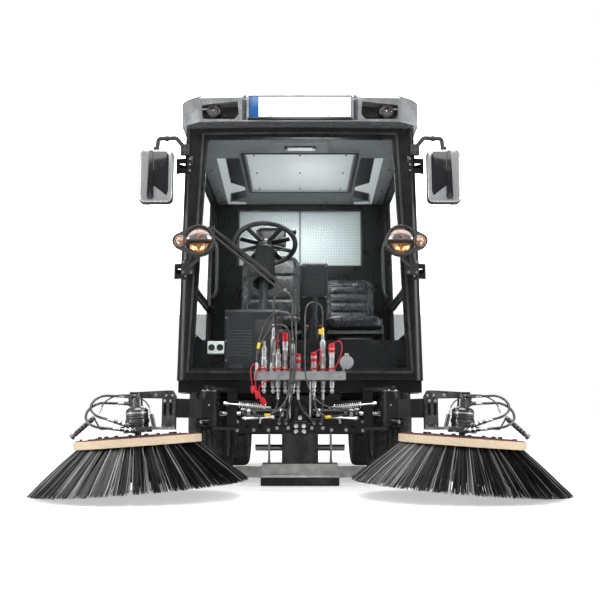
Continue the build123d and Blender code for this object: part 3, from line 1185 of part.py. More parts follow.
def valve_block():
    """Hydraulic manifold on the beam: a stepped block, two side blocks and their port fittings."""
    z0 = BEAM_Z0 - 8
    body = block(-VALVE_HALF, VALVE_HALF, BEAM_Y - VALVE_DEPTH, BEAM_Y, z0, z0 + 66)
    body += block(-VALVE_HALF + 6, VALVE_HALF - 6, BEAM_Y - VALVE_DEPTH + 10, BEAM_Y, z0 + 60, BEAM_Z1 + 22)
    body = chamfer(body.edges().filter_by(Axis.X).group_by(Axis.Y)[0], 3)
    for x in (-14, 0, 14):
        body += bar((x, BEAM_Y - VALVE_DEPTH, z0 + 12), (x, BEAM_Y - VALVE_DEPTH - 5, z0 + 12), 4)
    side = block(VALVE_HALF + 12, VALVE_HALF + 82, BEAM_Y - 36, BEAM_Y, BEAM_Z0 + 12, BEAM_Z1)
    side = chamfer(side.edges().filter_by(Axis.X).group_by(Axis.Y)[0], 3)
    side += bar((VALVE_HALF, BEAM_Y - 18, BEAM_Z0 + 40), (VALVE_HALF + 14, BEAM_Y - 18, BEAM_Z0 + 40), 9)
    for x, z in VALVE_PORTS:
        side += bar((x, BEAM_Y - 36, z), (x, BEAM_Y - 36 - PORT_L, z), PORT_R)
        side += bar((x, BEAM_Y - 38, z), (x, BEAM_Y - 48, z), PORT_R + 4)
    return body + both_sides(side)


def swing_barrels():
    """Barrels of the two brush swing cylinders, lying on the beam, each with its gland and oil port."""
    y = ARM_PIN_Y + SWING_LEVER
    tube = bar((60, y, SWING_Z), (272, y, SWING_Z), SWING_BARREL_R)
    tube += bar((258, y, SWING_Z), (282, y, SWING_Z), SWING_BARREL_R + 3)
    for x in (75.0, 232.0):
        tube += block(x, x + 24, y - 14, BEAM_Y + BEAM_T, BEAM_Z1, SWING_Z)
    port_y = y - SWING_BARREL_R
    for x in SWING_PORT_X:
        tube += bar((x, y, SWING_Z), (x, port_y - PORT_L, SWING_Z), PORT_R)
        tube += bar((x, y, SWING_Z), (x, port_y - 10, SWING_Z), PORT_R + 4)
    tube -= bar((110, y, SWING_Z), (290, y, SWING_Z), SWING_ROD_R + PIN_PLAY)
    return both_sides(tube)


def swing_rod():
    """Left swing rod with a slotted eye over the arm lever's pin."""
    y = ARM_PIN_Y + SWING_LEVER
    x = ARM_PIN_X
    rod = bar((150, y, SWING_Z), (x - 16, y, SWING_Z), SWING_ROD_R)
    eye = block(x - 20, x + 20, y - SWING_DRIFT - 20, y + 20, SWING_Z - 11, SWING_Z + 11)
    eye -= block(x - SWING_PIN_R - 4, x + SWING_PIN_R + 4, y - SWING_DRIFT - SWING_PIN_R - 3,
                 y + SWING_PIN_R + 3,
                 SWING_Z - 12, SWING_Z + 12)
    return rod + eye


def brush_arm():
    """Left swing arm: pivot eye, lever for the cylinder and the box boom that reaches over the brush."""
    pin = (ARM_PIN_X, ARM_PIN_Y)
    arm = bar((*pin, ARM_Z0), (*pin, ARM_Z1), ARM_EYE_R)
    arm += bar((*pin, ARM_Z0 + 20), (*pin, ARM_Z0 + 32), ARM_EYE_R + 6)
    arm += bar((*pin, ARM_Z1 - 32), (*pin, ARM_Z1 - 20), ARM_EYE_R + 6)
    tip_y = SLIDE_Y + SLIDE_T + 8
    boom = [(pin[0] + 8, pin[1] + 44), (498, -1368), (566, -1440), (SLIDE_X[1] - 6, tip_y + 40),
            (SLIDE_X[1] - 6, tip_y), (SLIDE_X[0] + 6, tip_y), (SLIDE_X[0] + 6, tip_y + 26), (505, -1468),
            (452, -1436), (pin[0] - 10, pin[1] - 43)]
    arm += plan_prism(boom, BOOM_Z0, BOOM_Z1)
    pocket = [(500, -1396), (548, -1446), (590, tip_y + 34), (572, tip_y + 30), (520, -1450), (482, -1424)]
    arm -= plan_prism(pocket, BOOM_Z1 - 26, BOOM_Z1 + 1)
    arm -= plan_prism(pocket, BOOM_Z0 - 1, BOOM_Z0 + 26)
    lever_z = SWING_Z + 11 + RUN_GAP
    lever = [(pin[0] - 26, pin[1] + 20), (pin[0] + 26, pin[1] + 20), (pin[0] + 15,
                                                                      pin[1] + SWING_LEVER + 13),
             (pin[0] - 15, pin[1] + SWING_LEVER + 13)]
    arm += plan_prism(lever, lever_z, lever_z + 14)
    arm += bar((pin[0], pin[1] + SWING_LEVER, SWING_Z - 14), (pin[0], pin[1] + SWING_LEVER, lever_z + 10),
               SWING_PIN_R)
    arm += bar((pin[0], ARM_PIN_Y - 44, ARM_Z0 + 18), (470, ARM_PIN_Y - 44, ARM_Z0 + 18), 15)
    arm += bar((456, ARM_PIN_Y - 44, ARM_Z0 + 18), (456, ARM_PIN_Y - 64, ARM_Z0 + 18), 13)
    for x in SLIDE_BOLT_X:
        arm += bar((x, tip_y + 2, SLIDE_BOLT_Z), (x, SLIDE_Y + SLIDE_T + SEAT_GAP, SLIDE_BOLT_Z), 11)
        arm += bar((x, tip_y + 2, SLIDE_BOLT_Z), (x, SLIDE_Y - 10, SLIDE_BOLT_Z), 5)
        arm += bar((x, SLIDE_Y - SEAT_GAP, SLIDE_BOLT_Z), (x, SLIDE_Y - 10, SLIDE_BOLT_Z), 11)
    return arm - bar((*pin, ARM_Z0 - 5), (*pin, ARM_Z1 + 5), ARM_PIN_R + PIN_PLAY)


def brush_place():
    """Location of the left brush: its spin axis, leaning out, through the ring's middle."""
    return Pos(BRUSH_X, BRUSH_Y, RING_Z) * Rot(0, BRUSH_TILT, 0)


def brush_head():
    """Lifting head: slotted slide bracket, motor plate, hydraulic motor with its ports, and the tilt grip."""
    x0, x1 = SLIDE_X
    base_z = HEAD_PLATE_Z
    face = [(x0, base_z), (x1, base_z), (x1, HEAD_TOP_Z - 26), (x1 - 16, HEAD_TOP_Z), (x0 + 16, HEAD_TOP_Z),
            (x0, HEAD_TOP_Z - 26)]
    plate = front_prism(face, SLIDE_Y, SLIDE_Y + SLIDE_T)
    plate += block(x0, x0 + 6, SLIDE_Y - 26, SLIDE_Y + SLIDE_T, base_z, HEAD_TOP_Z - 26)
    for x in SLIDE_BOLT_X:
        plate -= block(x - 6, x + 6, SLIDE_Y - 5, SLIDE_Y + SLIDE_T + 5, SLIDE_BOLT_Z - LIFT - 8,
                       SLIDE_BOLT_Z + 8)
    base = plan_prism([(x0, SLIDE_Y + SLIDE_T), (x0, SLIDE_Y - 26), (640, -1690), (768, -1690),
                       (786, -1620),
                       (742, -1568), (x1, SLIDE_Y + SLIDE_T)], base_z, base_z + 12)
    carrier = front_prism([(x1 - 8, HEAD_TOP_Z - 36), (744, HEAD_TOP_Z - 34), (744, HEAD_TOP_Z - 8),
                           (x1 - 16, HEAD_TOP_Z), (x1 - 30, HEAD_TOP_Z - 12)], SLIDE_Y, SLIDE_Y + SLIDE_T)
    low = RING_T / 2 + DISC_T + 14
    motor = axis_turned([(0, low), (MOTOR_R + 14, low), (MOTOR_R + 14, low + 12), (MOTOR_R, low + 12),
                         (MOTOR_R, low + 40), (MOTOR_R + 4, low + 42), (MOTOR_R + 4, low + 58), (MOTOR_R,
                                                                                                 low + 60),
                         (MOTOR_R, low + 98), (MOTOR_R - 8, low + 106), (MOTOR_R - 18, low + 110),
                         (0, low + 110)], brush_place())
    head = plate + base + carrier + motor
    head += bar((712, BRUSH_Y, 372), (716, BRUSH_Y, 424), 24)
    head += bar((714, BRUSH_Y, 410), (716, SLIDE_Y + 6, HEAD_TOP_Z - 20), 13)
    for elbow, start in zip(HEAD_ELBOWS, (HEAD_HOSE_UPPER[0], HEAD_HOSE_LOWER[0])):
        head += bar((BRUSH_X, BRUSH_Y, elbow[2]), elbow, 13)
        head += Pos(*elbow) * Sphere(13)
        middle = tuple((a + 2 * b) / 3 for a, b in zip(elbow, start))
        head += bar(elbow, middle, 10)
        head += bar(middle, start, 8.5)
    for end in (HEAD_HOSE_UPPER[-1], HEAD_HOSE_LOWER[-1]):
        head += bar(end, (HEAD_BRACKET_X - 14, end[1], end[2]), 8.5)
        head += bar((HEAD_BRACKET_X + 12, end[1], end[2]), (HEAD_BRACKET_X + 22, end[1], end[2]), 11)
    end_y = HEAD_HOSE_UPPER[-1][1]
    head += block(HEAD_BRACKET_X, HEAD_BRACKET_X + 12, end_y - 14, SLIDE_Y + SLIDE_T, 388, HEAD_TOP_Z - 8)
    head += bar((630, HEAD_CABLE[0][1], base_z + 6), HEAD_CABLE[0], 9)
    head += tilt_grip()
    shaft = Pos(0, 0, RING_T / 2 + DISC_T + 30) * Cylinder(BRUSH_SHAFT_R + PIN_PLAY, 110)
    return head - brush_place() * shaft


def tilt_grip():
    """Bent rod with a ribbed grip, by which the brush is set by hand."""
    wire = FilletPolyline((768, -1672, HEAD_PLATE_Z + 6), (862, -1672, HEAD_PLATE_Z + 2),
                          (GRIP_TOP[0] - 8, -1668, 330),
                          GRIP_TOP, radius=9)
    rod = sweep(Plane(origin=wire @ 0, z_dir=wire % 0) * Circle(3.5), path=wire)
    along = Vector(*GRIP_END) - Vector(*GRIP_TOP)
    place = Plane(origin=GRIP_TOP, z_dir=along).location
    profile = [(0, -6), (9, -6), (9, 4)]
    for index in range(GRIP_RIBS):
        z = 12 + index * (along.length - 24) / GRIP_RIBS
        profile += [(11, z), (11, z + 8), (9, z + 10)]
    profile += [(9, along.length - 12), (13, along.length - 6), (13, along.length), (0, along.length)]
    return rod + axis_turned(profile, place)


def brush_disc():
    """Steel disc that drives the brush, with its raised centre, clamp bolts, hub and shaft."""
    z0 = RING_T / 2
    disc = Pos(0, 0, z0 + DISC_T / 2) * Cylinder(DISC_R, DISC_T)
    for index in range(DISC_BOLTS):
        spot = Rot(0, 0, (index + 0.5) * 360 / DISC_BOLTS) * Pos(DISC_BOLT_R, 0, z0 + DISC_T + 3)
        disc += spot * Cylinder(9, 10)
    shaft = Pos(0, 0, z0 + DISC_T + 24) * Cylinder(BRUSH_SHAFT_R, 50)
    return brush_place() * (disc + shaft)


def brush_ring():
    """Wooden ring that holds the tufts."""
    ring = Cylinder(RING_R, RING_T) - Cylinder(RING_IN_R, RING_T + 2)
    return brush_place() * ring


def brush_bristles():
    """Skirt of bristles, flaring from under the ring to the ground, parted into tufts."""
    drop = RING_Z - BRUSH_TIP_Z
    z0 = -RING_T / 2
    profile = [
        (RING_IN_R + 10, z0),
        (RING_R - 8, z0),
        (RING_R + 40, z0 - 25),
        (BRUSH_TIP_R, -drop + 6),
        (BRUSH_TIP_R - 22, -drop),
        (RING_R + 70, -drop + 12),
        (RING_IN_R + 60, z0 - 60),
    ]
    skirt = revolve(Plane.XZ * Polygon(*profile, align=None), Axis.Z)
    reach = BRUSH_TIP_R + 20
    wedge = [(RING_R + 15, 0), (reach, TUFT_GAP / 2), (reach, -TUFT_GAP / 2)]
    parting = extrude(Plane.XY.offset(-drop - 10) * Polygon(*wedge, align=None), amount=drop, dir=(0, 0, 1))
    for index in range(TUFT_COUNT):
        skirt -= Rot(0, 0, (index + 0.5) * 360 / TUFT_COUNT) * parting
    return brush_place() * skirt


def coupling_bank():
    """Tray across the nose for the couplers, on two brackets from the beam, with a round socket at its end."""
    x = TRAY_HALF
    tray = block(-x, x, TRAY_Y0, TRAY_Y1, TRAY_Z0, TRAY_Z1)
    tray -= block(-x + 6, x - 6, TRAY_Y0 + 5, TRAY_Y1 - 5, TRAY_Z0 - 1, TRAY_Z1 - 5)
    arm = side_prism([(TRAY_Y1 - 40, TRAY_Z0), (TRAY_Y1, TRAY_Z0), (BEAM_Y + 10, BEAM_Z1),
                      (BEAM_Y - 30, BEAM_Z1)], 44, 52)
    socket = bar((SOCKET_X, TRAY_Y0 + 14, SOCKET_Z), (SOCKET_X, TRAY_Y1, SOCKET_Z), SOCKET_R)
    socket -= bar((SOCKET_X, TRAY_Y0 + 13, SOCKET_Z), (SOCKET_X, TRAY_Y0 + 28, SOCKET_Z), SOCKET_R - 5)
    socket += bar((SOCKET_X, TRAY_Y0 + 22, SOCKET_Z), (SOCKET_X, TRAY_Y0 + 32, SOCKET_Z), 8)
    socket += block(x - 14, x - 4, TRAY_Y0 + 30, TRAY_Y1 - 10, TRAY_Z1, SOCKET_Z - 12)
    fittings = Part()
    for fit_x, fit_y in TRAY_FITTINGS:
        fittings += bar((fit_x, fit_y, TRAY_Z1), (fit_x, fit_y, TRAY_Z1 + TRAY_FITTING_H), 7)
    return tray + both_sides(arm) + socket + fittings


def coupler(x, y, top, capped):
    """One upright quick coupler: hexagon, sleeve and plug, or a capped half, with its fitting below."""
    if capped:
        shape = ((12, 0), (12, 0.1), (9, 0.13), (9, 0.18), (13, 0.21), (13, 0.62), (15, 0.66), (15, 0.82),
                 (10, 0.9),
                 (7, 0.93), (4, 1))
    else:
        shape = ((13, 0), (13, 0.09), (10, 0.11), (10, 0.2), (15, 0.23), (15, 0.42), (12, 0.45), (12, 0.62),
                 (14, 0.65), (14, 0.8), (9, 0.83), (8, 0.86), (8, 1))
    height = top - TRAY_Z1
    profile = [(0, TRAY_Z1)] + [(r, TRAY_Z1 + share * height) for r, share in shape] + [(0, top)]
    below = [(0, TRAY_Z1 - 3), (8, TRAY_Z1 - 3), (8, TRAY_Z0 - 8), (12, TRAY_Z0 - 10), (12, TRAY_Z0 - 26),
             (7, TRAY_Z0 - 30), (7, COUPLER_FOOT_Z), (0, COUPLER_FOOT_Z)]
    return axis_turned(profile, Pos(x, y, 0)) + axis_turned(below, Pos(x, y, 0))


def quick_couplers():
    """Two rows of upright hydraulic couplers standing in the tray."""
    part = Part()
    for x, y, top, capped in COUPLERS:
        part += coupler(x, y, top, capped)
    return part


def over_loop(start, end, crest):
    """Corners of a half round turn that rises from one (x, y) to another and tops out at a crest."""
    radius = abs(end[0] - start[0]) / 2
    side = math.tan(math.radians(22.5))
    low = crest - radius * (1 - side)
    corners = []
    for share, z in ((0, low), ((1 - side) / 2, crest), ((1 + side) / 2, crest), (1, low)):
        x = start[0] + share * (end[0] - start[0])
        corners.append((x, start[1] + share * (end[1] - start[1]), z))
    return corners


def front_hose_routes():
    """Label, route and diameter of every hose and cable on the nose."""
    valve_y = BEAM_Y - 36 - PORT_L
    swing_y = ARM_PIN_Y + SWING_LEVER - SWING_BARREL_R - PORT_L
    near_x, far_x = SWING_PORT_X
    port_in, port_out = VALVE_PORTS
    foot = COUPLER_FOOT_Z
    rise = TRAY_Z1 + TRAY_FITTING_H
    tall = [(-124, ROW_BACK_Y, 748), (-124, ROW_BACK_Y, 826), *over_loop((-124, -1427), (-34, -1443), 930),
            (-36, -1462, 830), (-36, -1484, 756), (-31, -1502, 690), (-30, -1503, 600), (-34, -1503, 520),
            (-48, -1500, 448), (-84, -1488, 388), (-140, -1466, 352), (-196, -1448, 347), (-244, -1424,
                                                                                           354),
            (-far_x, -1381, SWING_Z), (-far_x, swing_y, SWING_Z)]
    outer = [(-200, -1466, rise), (-200, -1466, 632), (-183, -1468, 715), *over_loop((-160, -1470),
                                                                                     (-18, -1491), 828),
             (-19, -1492, 715), (-20, -1491, 640), (-24, -1490, 560), (-31, -1488, 484), (-44, -1476, 415),
             (-58, -1448, 360), (-port_in[0], -1396, port_in[1]), (-port_in[0], valve_y, port_in[1])]
    inner = [(-196, -1440, rise), (-196, -1440, 620), (-179, -1443, 687), *over_loop((-150, -1446),
                                                                                     (-46, -1476), 770),
             (-43, -1486, 672), (-40, -1489, 600), (-44, -1489, 530), (-52, -1485, 462), (-70, -1470, 402),
             (-92, -1442, 350), (-port_out[0], -1392, port_out[1]), (-port_out[0], valve_y, port_out[1])]
    cable = [(-133, -1466, rise), (-133, -1466, 618), (-124, -1470, 680),
             *over_loop((-112, -1472), (-32, ROW_FRONT_Y), 745), (-32, ROW_FRONT_Y, 681)]
    right = [(106, ROW_BACK_Y, 731), (106, ROW_BACK_Y, 795), *over_loop((106, -1432), (26, -1466), 877),
             (23, -1478, 790), (24, -1489, 720), (22, -1491, 650), (22, -1492, 575), (30, -1489, 505),
             (52, -1482, 446), (92, -1468, 408), (146, -1448, 388), (204, -1432, 382), (248, -1410, 372),
             (far_x, -1376, SWING_Z), (far_x, swing_y, SWING_Z)]
    feed_right = [(64, ROW_FRONT_Y, foot), (64, ROW_FRONT_Y, 420), (72, -1454, 387), (97, -1444, 358),
                  (128, -1430, 347), (166, -1418, 349), (198, -1402, 356), (near_x, -1373, SWING_Z),
                  (near_x, swing_y, SWING_Z)]
    feed_left = [(-101, ROW_FRONT_Y, foot), (-101, ROW_FRONT_Y, 420), (-108, -1454, 386), (-130, -1446,
                                                                                           359),
                 (-164, -1432, 349), (-196, -1410, 354), (-near_x, -1376, SWING_Z), (-near_x, swing_y,
                                                                                     SWING_Z)]
    drop_in = [(-9, ROW_BACK_Y, foot), (-9, ROW_BACK_Y, 418), (9, -1428, 384), (32, -1426, 356), (53,
                                                                                                  -1411, 334),
               (port_in[0], -1380, port_in[1]), (port_in[0], valve_y, port_in[1])]
    drop_out = [(106, ROW_BACK_Y, foot), (106, ROW_BACK_Y, 420), (105, -1428, 386), (103, -1421, 352),
                (100, -1400, 327), (port_out[0], -1372, port_out[1]), (port_out[0], valve_y, port_out[1])]
    return (("tall hose", tall, HOSE_SLIM_D), ("outer hose", outer, HOSE_D), ("inner hose", inner, HOSE_D),
            ("cable", cable, CABLE_D), ("right hose", right, HOSE_THIN_D), ("right feed", feed_right,
                                                                            HOSE_D),
            ("left feed", feed_left, HOSE_D), ("inner drop", drop_in, HOSE_D), ("outer drop", drop_out,
                                                                                HOSE_D))


def front_hoses():
    """Hoses from the couplers, over and down in two tied bundles, to the manifold and the swing cylinders."""
    part = Part()
    for label, points, diameter in front_hose_routes():
        part += hose(label, points, diameter)
    return part


def brush_hoses():
    """The two hoses and the thin cable that loop outboard of the left brush motor."""
    part = hose("upper brush hose", HEAD_HOSE_UPPER, HEAD_HOSE_D)
    part += hose("lower brush hose", HEAD_HOSE_LOWER, HEAD_HOSE_D)
    return part + hose("brush cable", HEAD_CABLE, CABLE_D)


# ================================================================ assembly
os.makedirs("parts", exist_ok=True)

walls = cab_ring()
nodes = {
    "chassis_frame": chassis_frame(),
    "front_axle": front_axle(),
    "rear_axle": rear_axle(),
    "track_rod": track_rod(),
    "engine_block": engine_block(),
    "cab_front_frame": cab_front_frame(walls),
    "cab_rear_wall": cab_rear_wall(walls),
    "cab_windows": windscreen() + rear_window(),
    "cab_floor": cab_floor(cab_solid(-CAB_WALL, 20)),
    "cab_roof": cab_roof(),
    "headliner": headliner(),
    "lamp_lenses": roof_lamps() + headlight_lenses() + tail_lamps(),
    "number_plates": number_plates(),
    "cab_controls": steering_column() + control_terminal(),
    "steering_wheel": steering_wheel(),
    "seat_cushions": cushion(*SEAT_DRIVER_X) + cushion(*SEAT_PASSENGER_X),
    "seat_backrests": backrest(*SEAT_DRIVER_X, 1400.0, 1585.0) + backrest(*SEAT_PASSENGER_X, 1240.0, 0.0),
    "seat_bases": seat_bases(),
    "mirrors": mirrors(),
    "headlights": headlights(),
    "wiper": wiper(),
    "rear_body": rear_body(),
    "hopper": hopper(),
    "hopper_door": hopper_door(),
    "ram_barrel": ram_barrel(),
    "ram_rod": ram_rod(),
    "suction_duct": suction_duct(),
    "suction_mouth": suction_mouth(),
    "mouth_flap": mouth_flap(),
    "front_beam": front_beam() + swing_barrels(),
    "coupling_bank": coupling_bank() + quick_couplers(),
    "front_hoses": front_hoses(),
}
for name, shape in nodes.items():
    save(name, shape)

pair = {
    "door": door(walls),
    "door_glass": door_glass(),
    "swing_rod": swing_rod(),
    "brush_arm": brush_arm(),
    "brush_head": brush_head(),
    "brush_disc": brush_disc(),
    "brush_ring": brush_ring(),
    "brush_bristles": brush_bristles(),
    "brush_hoses": brush_hoses(),
}
for name, shape in pair.items():
    save(f"{name}_left", shape)
    save(f"{name}_right", other_side(shape))

for sign, side in ((1, "left"), (-1, "right")):
    save(f"knuckle_{side}", knuckle(sign))
    for axle_y, end in ((FRONT_AXLE_Y, "front"), (REAR_AXLE_Y, "rear")):
        save(f"tyre_{end}_{side}", tyre(sign * TRACK_HALF, axle_y))
        save(f"rim_{end}_{side}", rim(sign, axle_y))
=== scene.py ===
"""Compact street sweeper: finishes, soft parts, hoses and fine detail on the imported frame."""
import logging
import math
from dataclasses import dataclass
from enum import Enum
from typing import ClassVar

import bmesh
import bpy
import numpy as np
from mathutils import Matrix, Vector
from mathutils.bvhtree import BVHTree


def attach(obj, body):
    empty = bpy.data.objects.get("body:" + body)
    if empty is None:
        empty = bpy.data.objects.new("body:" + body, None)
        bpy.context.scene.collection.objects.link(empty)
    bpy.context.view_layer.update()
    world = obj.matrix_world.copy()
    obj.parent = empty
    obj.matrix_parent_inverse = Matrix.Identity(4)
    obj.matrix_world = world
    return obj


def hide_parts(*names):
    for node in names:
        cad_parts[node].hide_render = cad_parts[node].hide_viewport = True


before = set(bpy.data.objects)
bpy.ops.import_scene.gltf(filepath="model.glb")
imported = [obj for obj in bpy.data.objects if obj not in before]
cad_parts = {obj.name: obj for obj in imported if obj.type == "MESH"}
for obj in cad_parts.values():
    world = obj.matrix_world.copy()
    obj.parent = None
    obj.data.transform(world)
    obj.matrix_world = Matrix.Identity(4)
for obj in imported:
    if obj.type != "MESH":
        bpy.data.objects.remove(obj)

logging.basicConfig(level=logging.INFO, format="%(message)s")
LOG = logging.getLogger("sweeper")
SIDES = (("left", 1.0), ("right", -1.0))
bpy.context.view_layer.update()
TAU = 2.0 * math.pi
LEFTWARD = (1.0, 0.0, 0.0)
FORWARD = (0.0, -1.0, 0.0)
BACKWARD = (0.0, 1.0, 0.0)
UP = (0.0, 0.0, 1.0)
DOWN = (0.0, 0.0, -1.0)
MIX_FACTOR, MIX_A, MIX_B, MIX_COLOUR = 0, 6, 7, 2


# ------------------------------------------------------------------ surfaces worked out as whole arrays
def place(at: tuple = (0.0, 0.0, 0.0), up: tuple = UP) -> np.ndarray:
    """Matrix that puts a shape's origin at a point and its Z axis along a direction.

    Args:
        at: Where the origin goes.
        up: Direction of the shape's Z axis.

    Returns:
        A 4 by 4 matrix.
    """
    turn = Vector(up).to_track_quat("Z", "Y").to_matrix().to_4x4()
    return np.array(Matrix.Translation(at) @ turn)


def turned(degrees: float, axis: str = "Z") -> np.ndarray:
    """Matrix of a turn about one axis."""
    return np.array(Matrix.Rotation(math.radians(degrees), 4, axis))


def shifted(by: tuple) -> np.ndarray:
    """Matrix of a shift."""
    return np.array(Matrix.Translation(by))


def moved(points: np.ndarray, matrix: np.ndarray) -> np.ndarray:
    """Points carried by a matrix: its 3 by 3 part times each point, plus its shift."""
    return points @ matrix[:3, :3].T + matrix[:3, 3]


class Shape:
    """Points and faces of one piece, gathered from parametric surfaces."""

    def __init__(self) -> None:
        """Start with nothing."""
        self.points: list[np.ndarray] = []
        self.faces: list[np.ndarray] = []
        self.marks: list[np.ndarray] = []
        self.count = 0

    def add(self, points: np.ndarray, faces: list[np.ndarray], marks: np.ndarray | None = None) -> "Shape":
        """Take in points and the faces between them.

        Args:
            points: Array of n by 3.
            faces: Arrays of corner numbers, each of k by 3 or k by 4.
            marks: One value per point for the material, 0 where it's left out.

        Returns:
            The shape itself.
        """
        self.points.append(np.asarray(points, dtype=np.float64))
        self.faces += [np.asarray(block, dtype=np.int64) + self.count for block in faces if len(block)]
        self.marks.append(np.zeros(len(points)) if marks is None else np.asarray(marks, dtype=np.float64))
        self.count += len(points)
        return self

    def grid(self, points: np.ndarray, around: bool = False, along: bool = False,
             caps: bool = False) -> "Shape":
        """Sheet of quads over an n by m array of points.

        Args:
            points: Array of n by m by 3, its rows along the first parameter.
            around: Joins the last column to the first.
            along: Joins the last row to the first.
            caps: Closes the first and last rows with fans about their mean points.

        Returns:
            The shape itself.
        """
        rows, cols = points.shape[:2]
        number = np.arange(rows * cols).reshape(rows, cols)
        next_row = np.roll(number, -1, axis=0) if along else number[1:]
        here = number if along else number[:-1]
        corner = [here, np.roll(here, -1, axis=1), np.roll(next_row, -1, axis=1), next_row]
        if not around:
            corner = [block[:, :-1] for block in corner]
        quads = np.stack([block.ravel() for block in corner], axis=1)
        flat = points.reshape(-1, 3)
        faces = [quads]
        if caps:
            middle = np.stack([points[0].mean(axis=0), points[-1].mean(axis=0)])
            first, last = number[0], number[-1]
            start = np.full(cols, len(flat))
            faces.append(np.stack([np.roll(first, -1), first, start], axis=1))
            faces.append(np.stack([last, np.roll(last, -1), start + 1], axis=1))
            flat = np.concatenate([flat, middle])
        return self.add(flat, faces)

    def lathe(self, profile: list | np.ndarray, steps: int = 32,
              matrix: np.ndarray | None = None) -> "Shape":
        """Turned form: x is radius times cosine, y is radius times sine, z is the height.

        Args:
            profile: Pairs of radius and height, from one end of the axis to the other.
            steps: Number of flats round the axis.
            matrix: Where the form goes.

        Returns:
            The shape itself.
        """
        outline = np.asarray(profile, dtype=np.float64)
        angle = np.arange(steps)[None, :] * TAU / steps
        radius, height = outline[:, :1], outline[:, 1:]
        points = np.stack([radius * np.cos(angle), radius * np.sin(angle), height + 0 * angle], axis=2)
        flat = points if matrix is None else moved(points, matrix)
        return self.grid(flat, around=True)

    def tube(self, path: list | np.ndarray, radius: float | np.ndarray, sides: int = 10) -> "Shape":
        """Round section carried along a path.

        The section's two axes are the cross product of the path's tangent with the direction that the path
        turns least in, and the cross product of the tangent with that.

        Args:
            path: Points that it follows.
            radius: One radius, or one for each point.
            sides: Number of flats.

        Returns:
            The shape itself.
        """
        line = np.asarray(path, dtype=np.float64)
        tangent = np.gradient(line, axis=0)
        tangent /= np.linalg.norm(tangent, axis=1, keepdims=True)
        steady = np.linalg.svd(tangent)[2][-1]
        first = np.cross(tangent, steady)
        first /= np.linalg.norm(first, axis=1, keepdims=True)
        second = np.cross(tangent, first)
        angle = np.arange(sides) * TAU / sides
        reach = np.broadcast_to(np.asarray(radius, dtype=np.float64), (len(line),))[:, None, None]
        ring = first[:, None] * np.cos(angle)[None, :, None]
        ring = ring + second[:, None] * np.sin(angle)[None, :, None]
        return self.grid(line[:, None] + reach * ring, around=True, caps=True)

    def ribbon(self, path: list | np.ndarray, across: tuple, width: float, thick: float) -> "Shape":
        """Flat strap: an oblong section carried along a path, its width along one direction.

        Args:
            path: Points that it follows.
            across: Direction of the strap's width.
            width: Width.
            thick: Thickness.

        Returns:
            The shape itself.
        """
        line = np.asarray(path, dtype=np.float64)
        tangent = np.gradient(line, axis=0)
        tangent /= np.linalg.norm(tangent, axis=1, keepdims=True)
        side = np.asarray(across, dtype=np.float64)[None]
        side = side - tangent * (tangent * side).sum(axis=1, keepdims=True)
        side /= np.linalg.norm(side, axis=1, keepdims=True)
        face = np.cross(tangent, side)
        u = np.array([-0.5, -0.42, 0.42, 0.5, 0.5, 0.42, -0.42, -0.5])[None, :, None] * width
        v = np.array([-0.3, -0.5, -0.5, -0.3, 0.3, 0.5, 0.5, 0.3])[None, :, None] * thick
        return self.grid(line[:, None] + side[:, None] * u + face[:, None] * v, around=True, caps=True)

    def box(self, low: tuple, high: tuple, soft: float = 0.002, matrix: np.ndarray | None = None,
            fine: bool = True) -> "Shape":
        """Box with rounded edges: each point of a cube is pulled to a rounding's radius from an inner box.

        Args:
            low: Lowest corner.
            high: Highest corner.
            soft: Radius of the edges.
            matrix: Where the box goes.
            fine: Two facets across an edge instead of one.

        Returns:
            The shape itself.
        """
        a, b = np.asarray(low, dtype=np.float64), np.asarray(high, dtype=np.float64)
        half = (b - a) / 2
        soft = min(soft, float(half.min()) * 0.98)
        cuts = np.array([0.0, 0.35, 1.0] if fine else [0.0, 1.0])
        for axis in range(3):
            u_axis, v_axis = (axis + 1) % 3, (axis + 2) % 3
            steps = [np.concatenate([cuts * soft - half[k],
                                     half[k] - cuts[::-1] * soft]) for k in (u_axis, v_axis)]
            u, v = np.meshgrid(*steps, indexing="ij")
            for sign in (-1.0, 1.0):
                raw = np.zeros((*u.shape, 3))
                raw[..., u_axis], raw[..., v_axis], raw[..., axis] = u, v, sign * half[axis]
                inner = np.clip(raw, soft - half, half - soft)
                out = raw - inner
                span = np.linalg.norm(out, axis=2, keepdims=True)
                points = (a + b) / 2 + inner + out * (soft / np.maximum(span, 1e-12))
                self.grid(points if matrix is None else moved(points, matrix))
        return self

    def slab(self, outline: list | np.ndarray, low: float, high: float, matrix: np.ndarray | None = None,
             soft: float = 0.0008) -> "Shape":
        """Flat plate of a convex outline between two heights, its edges eased.

        Args:
            outline: Pairs of x and y, in order.
            low: Height of its underside.
            high: Height of its top.
            matrix: Where it goes.
            soft: How far the edges are eased.

        Returns:
            The shape itself.
        """
        flat = np.asarray(outline, dtype=np.float64)
        middle = flat.mean(axis=0)
        reach = np.linalg.norm(flat - middle, axis=1, keepdims=True)
        inner = middle + (flat - middle) * (1 - soft / np.maximum(reach, 1e-9))
        rows = [(inner, low), (flat, low + soft), (flat, high - soft), (inner, high)]
        points = np.stack([np.column_stack([edge, np.full(len(edge), z)]) for edge, z in rows])
        return self.grid(points if matrix is None else moved(points, matrix), around=True, caps=True)

